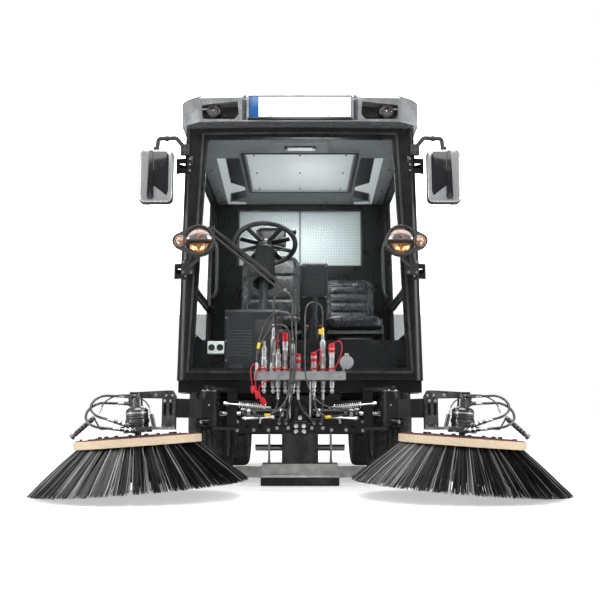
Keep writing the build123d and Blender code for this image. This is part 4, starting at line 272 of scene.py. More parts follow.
    def repeat(self, other: "Shape", places: list[np.ndarray]) -> "Shape":
        """Copies of another shape, one for each matrix.

        Args:
            other: The shape to copy.
            places: One 4 by 4 matrix for each copy.

        Returns:
            The shape itself.
        """
        points = np.concatenate(other.points)
        marks = np.concatenate(other.marks)
        stack = np.stack(places)
        spread = np.einsum("kij,nj->kni", stack[:, :3, :3], points) + stack[:, None, :3, 3]
        shift = np.arange(len(places))[:, None, None] * len(points)
        faces = [(block[None] + shift).reshape(-1, block.shape[1]) for block in other.faces]
        return self.add(spread.reshape(-1, 3), faces, np.tile(marks, len(places)))

    def piece(self, name: str, body: str, finish: "Finish", crease: float = 35.0,
              weld: float = 1e-6) -> bpy.types.Object:
        """Make the Blender object, merge doubled points, turn its faces outward and let it ride.

        Args:
            name: Name of the piece.
            body: Body that it moves with.
            finish: Its finish.
            crease: Edges sharper than this many degrees stay sharp.
            weld: Points nearer than this are merged.

        Returns:
            The new object.
        """
        mesh = bpy.data.meshes.new(name)
        points = np.concatenate(self.points)
        sizes = np.concatenate([np.full(len(block), block.shape[1]) for block in self.faces])
        corners = np.concatenate([block.ravel() for block in self.faces])
        mesh.vertices.add(len(points))
        mesh.vertices.foreach_set("co", points.ravel())
        mesh.loops.add(len(corners))
        mesh.loops.foreach_set("vertex_index", corners)
        mesh.polygons.add(len(sizes))
        mesh.polygons.foreach_set("loop_start", np.concatenate([[0], np.cumsum(sizes)[:-1]]))
        shade = mesh.attributes.new("shade", "FLOAT", "POINT")
        shade.data.foreach_set("value", np.concatenate(self.marks))
        mesh.update(calc_edges=True)
        mesh.validate()
        work = bmesh.new()
        work.from_mesh(mesh)
        bmesh.ops.remove_doubles(work, verts=work.verts, dist=weld)
        bmesh.ops.dissolve_degenerate(work, edges=work.edges, dist=weld)
        bmesh.ops.recalc_face_normals(work, faces=work.faces)
        work.to_mesh(mesh)
        work.free()
        mesh.shade_smooth()
        mesh.set_sharp_from_angle(angle=math.radians(crease))
        mesh.materials.append(finish.get())
        made = bpy.data.objects.new(name, mesh)
        bpy.context.collection.objects.link(made)
        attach(made, body)
        return made


def ring_places(count: int, radius: float, matrix: np.ndarray, height: float = 0.0,
                start: float = 0.0) -> list[np.ndarray]:
    """Matrices spaced evenly on a circle about a matrix's Z axis.

    Args:
        count: How many.
        radius: Radius of the circle.
        matrix: Where the circle's centre is.
        height: Height above it.
        start: Angle of the first, in degrees.

    Returns:
        One matrix for each place.
    """
    base = Matrix(matrix.tolist())
    made = []
    for index in range(count):
        spin = Matrix.Rotation(math.radians(start + 360.0 * index / count), 4, "Z")
        made.append(np.array(base @ spin @ Matrix.Translation((radius, 0.0, height))))
    return made


def hex_bolt(size: float) -> Shape:
    """Hexagon head on a washer, standing on the plane of its origin.

    Args:
        size: Thread diameter.

    Returns:
        The bolt's shape.
    """
    bolt = Shape()
    bolt.lathe([(0, 0), (size, 0), (size * 1.05, size * 0.04), (size * 1.05, size * 0.14),
                (size, size * 0.18), (0, size * 0.18)], 16)
    bolt.lathe([(0, size * 0.15), (size * 0.86, size * 0.15), (size * 0.86, size * 0.66),
                (size * 0.74, size * 0.78), (0, size * 0.8)], 6)
    return bolt


def socket_screw(size: float) -> Shape:
    """Round head with a sunk hexagon socket, standing on the plane of its origin."""
    screw = Shape()
    screw.lathe([(0, 0), (size * 0.8, 0), (size * 0.8, size * 0.75), (size * 0.7, size * 0.9),
                 (size * 0.42, size * 0.9), (size * 0.42, size * 0.45), (0, size * 0.45)], 12)
    return screw


def collar(radius: float, half: float, ease: float = 0.002) -> list:
    """Outline of a solid collar about its middle: its rims ease in by 1 mm over the last stretch."""
    inner = radius - 0.001
    return [(0.0, -half), (inner, -half), (radius, ease - half), (radius, half - ease), (inner, half),
            (0.0, half)]


def button(radius: float, wall: float, top: float, height: float) -> list:
    """Outline of a round button on its plane: its wall, then a bevel in to its flat top."""
    return [(0.0, 0.0), (radius, 0.0), (radius, wall), (top, height), (0.0, height)]


def band(inner: float, outer: float, *heights: float) -> list:
    """Outline of an open band: out from its inner radius, along its outer one, and back in."""
    first, second, third, last = heights
    return [(inner, first), (outer, second), (outer, third), (inner, last)]


def frame_bars(half: float, low: float, high: float, wide: float, tall: float) -> list:
    """Opposite corners, as x and z, of the four bars of an upright frame about the centre plane."""
    return [((-half, low), (half, low + tall)), ((-half, high - tall), (half, high)),
            ((-half, low), (-half + wide, high)), ((half - wide, low), (half, high))]


# ------------------------------------------------------------------ finishes
class Recipe:
    """A node material under construction, with short names for the nodes that the finishes share."""

    def __init__(self, name: str) -> None:
        """Start a material that holds one Principled shader.

        Args:
            name: Name of the new material.
        """
        self.material = bpy.data.materials.new(name)
        self.material.use_nodes = True
        self.tree = self.material.node_tree
        self.shader = self.tree.nodes["Principled BSDF"]

    def node(self, kind: str, **settings: object) -> bpy.types.Node:
        """Add a node and set its plain attributes.

        Args:
            kind: Node class without the ShaderNode prefix.
            settings: Attributes to set on it.

        Returns:
            The new node.
        """
        made = self.tree.nodes.new("ShaderNode" + kind)
        for key, value in settings.items():
            setattr(made, key, value)
        return made

    def join(self, source: bpy.types.NodeSocket, target: bpy.types.NodeSocket) -> None:
        """Link one socket to another."""
        self.tree.links.new(source, target)

    def feed(self, target: bpy.types.NodeSocket, value: object) -> None:
        """Link a socket, or set a plain value, on a target socket."""
        if isinstance(value, bpy.types.NodeSocket):
            self.join(value, target)
        else:
            target.default_value = value

    def place(self, scale: tuple = (1.0, 1.0, 1.0), turn: tuple = (0.0, 0.0, 0.0)) -> bpy.types.NodeSocket:
        """Object coordinates, scaled and turned by a Mapping node."""
        where = self.node("TexCoord")
        mapping = self.node("Mapping")
        mapping.inputs["Scale"].default_value = scale
        mapping.inputs["Rotation"].default_value = turn
        self.join(where.outputs["Object"], mapping.inputs["Vector"])
        return mapping.outputs["Vector"]

    def noise(self, vector: bpy.types.NodeSocket, scale: float, detail: float = 3.0,
              rough: float = 0.5) -> bpy.types.NodeSocket:
        """Fractal noise over a vector."""
        made = self.node("TexNoise")
        self.join(vector, made.inputs["Vector"])
        made.inputs["Scale"].default_value = scale
        made.inputs["Detail"].default_value = detail
        made.inputs["Roughness"].default_value = rough
        return made.outputs["Fac"]

    def cells(self, vector: bpy.types.NodeSocket, scale: float) -> bpy.types.NodeSocket:
        """Distance to the nearest of scattered points."""
        made = self.node("TexVoronoi")
        self.join(vector, made.inputs["Vector"])
        made.inputs["Scale"].default_value = scale
        return made.outputs["Distance"]

    def mark(self) -> bpy.types.NodeSocket:
        """The value that each point of a piece carries for its finish."""
        return self.node("Attribute", attribute_name="shade").outputs["Fac"]

    def ramp(self, factor: bpy.types.NodeSocket, stops: list) -> bpy.types.NodeSocket:
        """Colour ramp.

        Args:
            factor: Socket that drives it.
            stops: Pairs of position and colour.

        Returns:
            The colour output.
        """
        made = self.node("ValToRGB")
        elements = made.color_ramp.elements
        while len(elements) < len(stops):
            elements.new(0.5)
        for element, (position, colour) in zip(elements, stops):
            element.position = position
            element.color = (*colour[:3], 1.0)
        self.join(factor, made.inputs["Fac"])
        return made.outputs["Color"]

    def grey_ramp(self, factor: bpy.types.NodeSocket, low: tuple, high: tuple) -> bpy.types.NodeSocket:
        """Ramp between two grey levels, each given as a position and a level."""
        return self.ramp(factor, [(low[0], (low[1],) * 3), (high[0], (high[1],) * 3)])

    def sum(self, operation: str, a: object, b: object = 0.0) -> bpy.types.NodeSocket:
        """One Math node."""
        made = self.node("Math", operation=operation)
        self.feed(made.inputs[0], a)
        self.feed(made.inputs[1], b)
        return made.outputs[0]

    def blend(self, factor: object, a: object, b: object, kind: str = "MIX") -> bpy.types.NodeSocket:
        """Mix two colours by a factor."""
        made = self.node("Mix", data_type="RGBA", blend_type=kind)
        self.feed(made.inputs[MIX_FACTOR], factor)
        self.feed(made.inputs[MIX_A], (*a, 1.0) if isinstance(a, tuple) else a)
        self.feed(made.inputs[MIX_B], (*b, 1.0) if isinstance(b, tuple) else b)
        return made.outputs[MIX_COLOUR]

    def bump(self, height: bpy.types.NodeSocket, depth: float, strength: float = 1.0) -> None:
        """Drive the shader's normal from a height, its depth given in metres."""
        made = self.node("Bump")
        made.inputs["Strength"].default_value = strength
        made.inputs["Distance"].default_value = depth
        self.join(height, made.inputs["Height"])
        self.join(made.outputs["Normal"], self.shader.inputs["Normal"])

    def axis(self, name: str) -> bpy.types.NodeSocket:
        """One Object coordinate, X, Y or Z."""
        where = self.node("TexCoord")
        parts = self.node("SeparateXYZ")
        self.join(where.outputs["Object"], parts.inputs["Vector"])
        return parts.outputs[name]

    def tint(self, source: bpy.types.NodeSocket) -> None:
        """Drive the shader's colour."""
        self.join(source, self.shader.inputs["Base Color"])

    def dull(self, factor: bpy.types.NodeSocket, low: tuple, high: tuple) -> None:
        """Drive the shader's roughness between two levels, each given with its position on a factor."""
        self.join(self.grey_ramp(factor, low, high), self.shader.inputs["Roughness"])

    def shine(self, source: bpy.types.NodeSocket, strength: float) -> None:
        """Let the shader give off a colour."""
        self.join(source, self.shader.inputs["Emission Color"])
        self.shader.inputs["Emission Strength"].default_value = strength

    def level(self, rough: float, metal: float = 0.0, specular: float = 0.5) -> None:
        """Set the shader's plain values."""
        self.shader.inputs["Roughness"].default_value = rough
        self.shader.inputs["Metallic"].default_value = metal
        self.shader.inputs["Specular IOR Level"].default_value = specular


@dataclass(frozen=True)
class Paint:
    """Satin or gloss paint and powder coat with a fine orange peel, faint dust and duller patches."""

    name: str
    colour: tuple
    rough: float = 0.35
    metal: float = 0.0
    peel: float = 0.00006
    dust: float = 0.06
    specular: float = 0.5

    def build(self) -> bpy.types.Material:
        """Make the material."""
        made = Recipe(self.name)
        spot = made.place()
        made.level(self.rough, self.metal, self.specular)
        cloud = made.noise(spot, 5.0, 5.0, 0.6)
        dusty = tuple(c + (0.42 - c) * self.dust for c in self.colour)
        made.tint(made.ramp(cloud, [(0.35, self.colour), (0.75, dusty)]))
        made.dull(made.noise(spot, 16.0, 4.0), (0.3, self.rough - 0.05), (0.75, self.rough + 0.09))
        made.bump(made.noise(spot, 420.0, 2.0), self.peel)
        return made.material


@dataclass(frozen=True)
class Moulding:
    """Moulded plastic with a pebbled grain and slightly polished high spots."""

    name: str
    colour: tuple
    rough: float = 0.5
    grain: float = 900.0
    depth: float = 0.00012
    specular: float = 0.4

    def build(self) -> bpy.types.Material:
        """Make the material."""
        made = Recipe(self.name)
        spot = made.place()
        made.level(self.rough, 0.0, self.specular)
        lighter = tuple(min(1.0, c * 1.25 + 0.004) for c in self.colour)
        tone = made.ramp(made.noise(spot, 9.0, 5.0, 0.65), [(0.3, self.colour), (0.8, lighter)])
        made.tint(tone)
        made.dull(made.noise(spot, 30.0, 3.0), (0.3, self.rough - 0.06), (0.8, self.rough + 0.1))
        made.bump(made.cells(spot, self.grain), self.depth, 0.6)
        return made.material


@dataclass(frozen=True)
class BareMetal:
    """Plated, ground or cast metal with drawn scratches along one axis and darker handled patches."""

    name: str
    colour: tuple
    rough: float = 0.3
    metal: float = 1.0
    drawn: tuple = (40.0, 40.0, 900.0)
    depth: float = 0.00002
    stain: float = 0.62

    def build(self) -> bpy.types.Material:
        """Make the material."""
        made = Recipe(self.name)
        made.level(self.rough, self.metal)
        streak = made.noise(made.place(self.drawn), 1.0, 4.0, 0.7)
        cloud = made.noise(made.place(), 22.0, 4.0, 0.6)
        darker = tuple(c * self.stain for c in self.colour)
        made.tint(made.ramp(cloud, [(0.28, darker), (0.62, self.colour)]))
        made.dull(streak, (0.25, self.rough - 0.08), (0.8, self.rough + 0.14))
        made.bump(streak, self.depth)
        return made.material


@dataclass(frozen=True)
class Casting:
    """Rough sand-cast or dark housing metal: pitted, with oily patches."""

    name: str
    colour: tuple
    rough: float = 0.5
    metal: float = 0.6

    def build(self) -> bpy.types.Material:
        """Make the material."""
        made = Recipe(self.name)
        spot = made.place()
        made.level(self.rough, self.metal)
        oily = made.noise(spot, 14.0, 6.0, 0.7)
        light = tuple(min(1.0, c * 2.2 + 0.02) for c in self.colour)
        made.tint(made.ramp(oily, [(0.32, self.colour), (0.72, light)]))
        made.dull(oily, (0.3, self.rough - 0.15), (0.75, self.rough + 0.15))
        made.bump(made.noise(spot, 260.0, 5.0, 0.7), 0.0003, 0.7)
        return made.material


@dataclass(frozen=True)
class ClearPane:
    """Safety glass or a lamp cover: it lets light through to what lies behind and keeps its reflections."""

    name: str
    tint: tuple = (0.93, 0.96, 0.96)
    rough: float = 0.0
    index: float = 1.12

    def build(self) -> bpy.types.Material:
        """Make the material."""
        made = Recipe(self.name)
        made.level(self.rough)
        made.shader.inputs["Base Color"].default_value = (*self.tint, 1.0)
        made.shader.inputs["Transmission Weight"].default_value = 1.0
        made.shader.inputs["IOR"].default_value = self.index
        made.dull(made.noise(made.place(), 3.0, 6.0, 0.7), (0.4, self.rough), (0.9, self.rough + 0.015))
        pass_light = made.node("BsdfTransparent")
        pass_light.inputs["Color"].default_value = (*self.tint, 1.0)
        path = made.node("LightPath")
        mix = made.node("MixShader")
        made.join(path.outputs["Is Shadow Ray"], mix.inputs["Fac"])
        made.join(made.shader.outputs["BSDF"], mix.inputs[1])
        made.join(pass_light.outputs["BSDF"], mix.inputs[2])
        made.join(mix.outputs["Shader"], made.tree.nodes["Material Output"].inputs["Surface"])
        return made.material


@dataclass(frozen=True)
class Beech:
    """Laminated beech: fine grain along the ring, with darker end-grain flecks."""

    name: str
    pale: tuple = (0.78, 0.64, 0.46)
    dark: tuple = (0.54, 0.39, 0.25)

    def build(self) -> bpy.types.Material:
        """Make the material."""
        made = Recipe(self.name)
        made.level(0.6)
        grain = made.noise(made.place((26.0, 26.0, 520.0)), 1.0, 6.0, 0.65)
        fleck = made.noise(made.place((240.0, 240.0, 900.0)), 1.0, 2.0, 0.5)
        base = made.ramp(grain, [(0.25, self.dark), (0.5, self.pale),
                                 (0.8, tuple(c * 1.06 for c in self.pale))])
        marks = made.ramp(fleck, [(0.3, (0.7, 0.6, 0.5)), (0.5, (1.0, 1.0, 1.0))])
        made.tint(made.blend(1.0, base, marks, "MULTIPLY"))
        made.bump(grain, 0.0003)
        return made.material


@dataclass(frozen=True)
class Bristle:
    """Extruded brush filament: black, with a few much paler strands at random, and pale strands along each
    tuft's edges as a painted highlight.
    """

    name: str = "bristle"

    def build(self) -> bpy.types.Material:
        """Make the material; each strand carries its own tone, 0 to 1."""
        made = Recipe(self.name)
        made.level(0.32, 0.0, 0.42)
        # The ramp's pale top is taken by a few random strands, and by the strands along each tuft's edges
        # as a painted highlight.
        tone = made.ramp(made.mark(), [(0.0, (0.003, 0.003, 0.0035)), (0.7, (0.012, 0.012, 0.0125)),
                                       (0.9, (0.07, 0.07, 0.072)), (1.0, (0.36, 0.36, 0.365))])
        made.tint(tone)
        made.dull(made.noise(made.place(), 60.0, 4.0), (0.3, 0.26), (0.8, 0.48))
        return made.material


@dataclass(frozen=True)
class Vinyl:
    """Seat vinyl: a leather-like grain of fine cells over soft creases, shinier on the high spots."""

    name: str
    colour: tuple = (0.007, 0.007, 0.008)
    rough: float = 0.30

    def build(self) -> bpy.types.Material:
        """Make the material."""
        made = Recipe(self.name)
        spot = made.place()
        made.level(self.rough, 0.0, 0.5)
        worn = made.ramp(made.noise(spot, 12.0, 5.0, 0.6),
                         [(0.35, self.colour), (0.8, tuple(c * 1.9 for c in self.colour))])
        made.tint(worn)
        made.dull(made.noise(spot, 40.0, 4.0), (0.3, self.rough - 0.08), (0.75, self.rough + 0.1))
        grain = made.cells(spot, 620.0)
        crease = made.noise(spot, 36.0, 4.0, 0.6)
        made.bump(made.sum("ADD", grain, made.sum("MULTIPLY", crease, 2.5)), 0.0004, 0.8)
        return made.material


@dataclass(frozen=True)
class Rubber:
    """Tyre and hose rubber: dull black, dustier where it is proud, finely pitted."""

    name: str
    colour: tuple = (0.014, 0.014, 0.015)
    rough: float = 0.55
    dust: tuple = (0.09, 0.085, 0.08)
    specular: float = 0.4

    def build(self) -> bpy.types.Material:
        """Make the material."""
        made = Recipe(self.name)
        spot = made.place()
        made.level(self.rough, 0.0, self.specular)
        cloud = made.noise(spot, 8.0, 6.0, 0.7)
        made.tint(made.ramp(cloud, [(0.42, self.colour), (0.85, self.dust)]))
        made.dull(cloud, (0.3, self.rough - 0.08), (0.8, self.rough + 0.2))
        made.bump(made.noise(spot, 300.0, 4.0, 0.6), 0.0002, 0.7)
        return made.material


@dataclass(frozen=True)
class Perforated:
    """Light metal sheet with rows of round holes and a fine speckle between them; the whole sheet glows
    with its own colour as painted light from behind it.
    """

    name: str = "perforated_screen"
    pitch: float = 0.011
    pale: tuple = (0.78, 0.80, 0.81)
    dark: tuple = (0.40, 0.42, 0.43)
    painted_glow: float = 0.26

    def build(self) -> bpy.types.Material:
        """Make the material: a hole is where both wrapped coordinates lie near the middle of a cell."""
        made = Recipe(self.name)
        made.level(0.45, 0.3)
        legs = []
        for axis in ("X", "Z"):
            scaled = made.sum("DIVIDE", made.axis(axis), self.pitch)
            centred = made.sum("SUBTRACT", made.sum("FRACT", scaled), 0.5)
            legs.append(made.sum("POWER", made.sum("ABSOLUTE", centred), 2.0))
        away = made.sum("SQRT", made.sum("ADD", *legs))
        hole = made.ramp(away, [(0.26, self.dark), (0.32, self.pale)])
        speckle = made.ramp(made.noise(made.place(), 240.0, 3.0, 0.7),
                            [(0.35, (0.72,) * 3), (0.65, (1.0,) * 3)])
        shade = made.blend(1.0, hole, speckle, "MULTIPLY")
        made.tint(shade)
        # The sheet gives off its own colour: a painted glow, though no lamp is there.
        made.shine(shade, self.painted_glow)
        made.bump(away, 0.0008, 0.5)
        return made.material


@dataclass(frozen=True)
class Glow:
    """Lamp reflector or bulb: bright chromed metal with flutes, or a warm lens."""

    name: str
    colour: tuple
    rough: float = 0.12
    metal: float = 1.0
    ribs: float = 260.0

    def build(self) -> bpy.types.Material:
        """Make the material."""
        made = Recipe(self.name)
        made.level(self.rough, self.metal)
        spot = made.place()
        darker = tuple(c * 0.7 for c in self.colour)
        made.tint(made.ramp(made.noise(spot, 24.0, 3.0), [(0.3, darker), (0.6, self.colour)]))
        made.bump(made.sum("SINE", made.sum("MULTIPLY", made.axis("X"), self.ribs * TAU)), 0.0002, 0.6)
        return made.material


@dataclass(frozen=True)
class PaintedGlow:
    """Pale, finely speckled surface that gives off its own colour: painted light, though no lamp is there.
    """

    name: str
    colour: tuple = (0.72, 0.75, 0.76)
    painted_glow: float = 0.30

    def build(self) -> bpy.types.Material:
        """Make the material."""
        made = Recipe(self.name)
        made.level(0.4)
        darker = tuple(c * 0.80 for c in self.colour)
        shade = made.ramp(made.noise(made.place(), 300.0, 3.0, 0.7), [(0.38, darker), (0.6, self.colour)])
        made.tint(shade)
        # Painted light: the surface glows with its own colour.
        made.shine(shade, self.painted_glow)
        return made.material


class Finish(Enum):
    """Every finish that a piece or a CAD node may take."""

    BLACK = Paint("powder_black", (0.005, 0.005, 0.0055), 0.30, dust=0.006, specular=0.40)
    CAB_GREY = Paint("roof_silver", (0.38, 0.39, 0.40), 0.20, 0.75, dust=0.0)
    BODY = Paint("body_silver", (0.36, 0.37, 0.38), 0.32, 0.45, dust=0.02)
    WHEEL = Paint("wheel_silver", (0.50, 0.51, 0.52), 0.3, 0.5)
    PLATE = Paint("plate_white", (0.44, 0.45, 0.45), 0.5, dust=0.0)
    PLATE_BAND = Paint("plate_band_blue", (0.003, 0.085, 0.28), 0.3, dust=0.0)
    RED_CAP = Moulding("cap_red", (0.46, 0.006, 0.020), 0.30)
    RED_RIM = Moulding("felt_red_brown", (0.16, 0.03, 0.025), 0.8, 400.0)
    YELLOW = Moulding("tag_yellow", (0.80, 0.58, 0.03), 0.4)
    PLASTIC = Moulding("plastic_black", (0.010, 0.010, 0.011), 0.42)
    GLOSS = Moulding("plastic_gloss_black", (0.006, 0.006, 0.007), 0.16, depth=0.00002, specular=0.6)
    TRIM = Moulding("trim_grey", (0.016, 0.017, 0.018), 0.4)
    SHELL_GREY = Moulding("shell_grey", (0.24, 0.25, 0.26), 0.38, depth=0.00004)
    PALE = Moulding("headliner_pale", (0.22, 0.228, 0.232), 0.6, 500.0)
    # Painted light: the glow of the roof hatch, bright patches on the ceiling and the reflection in the cab
    # mirror.
    HATCH = PaintedGlow("painted_pale_glow")
    MIRROR_SHELL = Paint("mirror_shell_silver", (0.46, 0.47, 0.48), 0.22, 0.6, dust=0.0)
    WHITE_BOX = Moulding("socket_white", (0.72, 0.72, 0.70), 0.4)
    GLASS = ClearPane("safety_glass")
    AMBER = ClearPane("lamp_amber", (1.0, 0.80, 0.56), 0.08, 1.2)
    PINK = ClearPane("lamp_blush", (0.96, 0.89, 0.88), 0.03, 1.25)
    STEEL = BareMetal("plated_steel", (0.88, 0.88, 0.87), 0.30)
    CHROME = BareMetal("bright_chrome", (0.92, 0.92, 0.92), 0.16, stain=0.9)
    ZINC = BareMetal("dull_zinc", (0.56, 0.56, 0.55), 0.36)
    DARK_STEEL = BareMetal("dark_steel", (0.11, 0.11, 0.115), 0.4)
    MIRROR = BareMetal("mirror_glass", (0.75, 0.77, 0.78), 0.1, drawn=(3.0, 3.0, 3.0), depth=0.0,
                       stain=0.95)
    CAST = Casting("dark_casting", (0.030, 0.030, 0.032))
    ALLOY = Casting("alloy_casting", (0.10, 0.10, 0.103), 0.26, 1.0)
    TRAY = BareMetal("tray_steel", (0.60, 0.60, 0.60), 0.34)
    RUBBER = Rubber("black_rubber")
    TYRE = Rubber("tyre_rubber", (0.012, 0.012, 0.013), 0.6)
    HOSE = Rubber("hose_rubber", (0.016, 0.016, 0.017), 0.16, (0.06, 0.06, 0.06), 1.0)
    VINYL = Vinyl("seat_vinyl")
    STITCH = Moulding("seat_thread", (0.07, 0.07, 0.075), 0.6)
    BEECH = Beech("beech_ring")
    BRISTLE = Bristle()
    SCREEN = Perforated()
    REFLECTOR = Glow("lamp_reflector", (0.88, 0.88, 0.86))
    BULB = Glow("lamp_bulb", (0.80, 0.46, 0.26), 0.25, 0.6, 0.0)

    def get(self) -> bpy.types.Material:
        """The material, made once and kept by its name."""
        found = bpy.data.materials.get(self.value.name)
        return found if found is not None else self.value.build()


# ------------------------------------------------------------------ the studio
@dataclass
class Studio:
    """Pale floor, soft lamps, an even sky and the camera low in front of the machine."""

    camera_y: float = -5.425
    camera_z: float = 0.31
    pitch: float = 8.27
    lens: float = 51.6
    sky: float = 0.26
    floor_glow: float = 0.50

    def build(self) -> None:
        """Make the camera, the world, the floor and the lamps."""
        self.camera()
        self.world()
        self.floor()
        self.lamp("top", (0.0, -1.6, 5.0), (0.0, -0.4, 0.9), 4.0, 190.0)
        self.lamp("side_left", (4.4, -2.8, 1.9), (0.0, -0.8, 0.8), 2.4, 100.0)
        self.lamp("side_right", (-4.4, -2.8, 1.9), (0.0, -0.8, 0.8), 2.4, 100.0)
        self.lamp("front", (0.0, -5.2, 5.2), (0.0, -1.2, 0.6), 2.0, 150.0)
        self.lamp("back", (0.0, 5.5, 3.6), (0.0, 0.6, 1.0), 4.0, 120.0)
        self.lamp("hatch", (0.0, -0.50, 1.765), (0.0, -0.35, 0.9), 0.5, 14.0, False)
        self.lamp("window", (0.0, 0.20, 1.40), (0.0, -0.70, 0.7), 0.5, 3.0, False)

    def camera(self) -> None:
        """Camera at the height of the wheels, looking up a little."""
        data = bpy.data.cameras.new("camera")
        data.sensor_width = 36.0
        data.lens = self.lens
        eye = bpy.data.objects.new("camera", data)
        eye.location = (0.0, self.camera_y, self.camera_z)
        eye.rotation_euler = (math.radians(90.0 + self.pitch), 0.0, 0.0)
        bpy.context.collection.objects.link(eye)
        bpy.context.scene.camera = eye

    def world(self) -> None:
        """Even sky that shows white behind the machine and through glass, and dimmer in reflections and
        bounced light.
        """
        world = bpy.data.worlds.new("sky")
        bpy.context.scene.world = world
        world.use_nodes = True
        tree = world.node_tree
        back = tree.nodes["Background"]
        back.inputs["Color"].default_value = (1.0, 1.0, 1.0, 1.0)
        path = tree.nodes.new("ShaderNodeLightPath")
        bounces = tree.nodes.new("ShaderNodeMath")
        bounces.operation = "ADD"
        tree.links.new(path.outputs["Diffuse Depth"], bounces.inputs[0])
        tree.links.new(path.outputs["Glossy Depth"], bounces.inputs[1])
        level = tree.nodes.new("ShaderNodeMapRange")
        level.inputs["To Min"].default_value = 1.0
        level.inputs["To Max"].default_value = self.sky
        tree.links.new(bounces.outputs[0], level.inputs["Value"])
        tree.links.new(level.outputs["Result"], back.inputs["Strength"])

    def floor(self) -> None:
        """Wide white floor that keeps the machine's soft shadow."""
        half = 40.0
        mesh = bpy.data.meshes.new("floor")
        mesh.from_pydata([(-half, -half, 0), (half, -half, 0), (half, half, 0), (-half, half, 0)], [],
                         [(0, 1, 2, 3)])
        piece = bpy.data.objects.new("floor", mesh)
        bpy.context.collection.objects.link(piece)
        made = Recipe("floor_white")
        made.level(0.75)
        made.shader.inputs["Base Color"].default_value = (0.84, 0.84, 0.84, 1.0)
        glow = made.node("Emission")
        path = made.node("LightPath")
        bounces = made.sum("ADD", path.outputs["Diffuse Depth"], path.outputs["Glossy Depth"])
        seen = made.sum("LESS_THAN", bounces, 0.5)
        away = made.node("VectorMath", operation="LENGTH")
        made.join(made.node("TexCoord").outputs["Object"], away.inputs[0])
        rise = made.node("MapRange", interpolation_type="SMOOTHSTEP")
        rise.inputs["From Min"].default_value = 2.2
        rise.inputs["From Max"].default_value = 6.0
        rise.inputs["To Min"].default_value = self.floor_glow
        rise.inputs["To Max"].default_value = 1.0
        made.join(away.outputs["Value"], rise.inputs["Value"])
        made.join(made.sum("MULTIPLY", seen, rise.outputs["Result"]), glow.inputs["Strength"])
        both = made.node("AddShader")
        made.join(made.shader.outputs["BSDF"], both.inputs[0])
        made.join(glow.outputs["Emission"], both.inputs[1])
        made.join(both.outputs["Shader"], made.tree.nodes["Material Output"].inputs["Surface"])
        mesh.materials.append(made.material)

    def lamp(self, name: str, spot: tuple, aim: tuple, size: float, power: float,
             seen: bool = True) -> None:
        """Square soft lamp at a spot, turned to an aim point; one inside the cab is not seen itself."""
        data = bpy.data.lights.new(name, "AREA")
        data.size = size
        data.energy = power
        lamp = bpy.data.objects.new(name, data)
        lamp.location = spot
        lamp.visible_camera = seen
        lamp.visible_transmission = seen
        lamp.rotation_euler = (Vector(aim) - Vector(spot)).to_track_quat("-Z", "Y").to_euler()
        bpy.context.collection.objects.link(lamp)


# ------------------------------------------------------------------ hoses and cables
@dataclass(frozen=True)
class Hose:
    """One free hose or cable: its route in metres, its diameter, its real length and its body."""

    name: str
    route: tuple
    diameter: float
    length: float
    body: str
    node: str
    stiffness: str = "stiff"

    def curve(self, name: str) -> bpy.types.Curve:
        """Smooth NURBS curve along the route, as a bare line."""
        made = bpy.data.curves.new(name, "CURVE")
        made.dimensions = "3D"
        run = made.splines.new("NURBS")
        run.points.add(len(self.route) - 1)
        flat = np.column_stack([np.array(self.route), np.ones(len(self.route))])
        run.points.foreach_set("co", flat.ravel())
        run.order_u = 3
        run.use_endpoint_u = True
        run.resolution_u = 8
        return made

    def build(self) -> None:
        curve = self.curve(self.name)
        curve.bevel_depth = self.diameter / 2
        curve.bevel_resolution = 4
        curve.use_fill_caps = True
        curve.materials.append(Finish.HOSE.get())
        made = bpy.data.objects.new(self.name, curve)
        bpy.context.collection.objects.link(made)
        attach(made, self.body)
        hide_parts(self.node)

    def line(self) -> np.ndarray:
        """Points along the smooth curve, as Blender evaluates it without its bevel."""
        curve = self.curve(self.name + "_line")
        probe = bpy.data.objects.new(self.name + "_line", curve)
        mesh = bpy.data.meshes.new_from_object(probe)
        points = np.empty(len(mesh.vertices) * 3)
        mesh.vertices.foreach_get("co", points)
        bpy.data.objects.remove(probe)
        bpy.data.meshes.remove(mesh)
        bpy.data.curves.remove(curve)
        return points.reshape(-1, 3)

    def crimp(self, crimps: Shape) -> None:
        """Add a ferrule on each end, looking along the line."""
        line = self.line()
        for end, inward in ((line[0], line[3]), (line[-1], line[-4])):
            crimps.repeat(ferrule(self.diameter / 2), [place(end, inward - end)])


def over_loop(start: tuple, end: tuple, crest: float) -> list:
    """Corners of a half round turn that rises from one (x, y) to another and tops out at a crest."""
    radius = abs(end[0] - start[0]) / 2
    side = math.tan(math.radians(22.5))
    low = crest - radius * (1 - side)
    corners = []
    for share, z in ((0, low), ((1 - side) / 2, crest), ((1 + side) / 2, crest), (1, low)):
        corners.append((start[0] + share * (end[0] - start[0]), start[1] + share * (end[1] - start[1]), z))
    return corners


def metres(points: list) -> tuple:
    """Points in millimetres as metres."""
    return tuple(tuple(value / 1000 for value in point) for point in points)


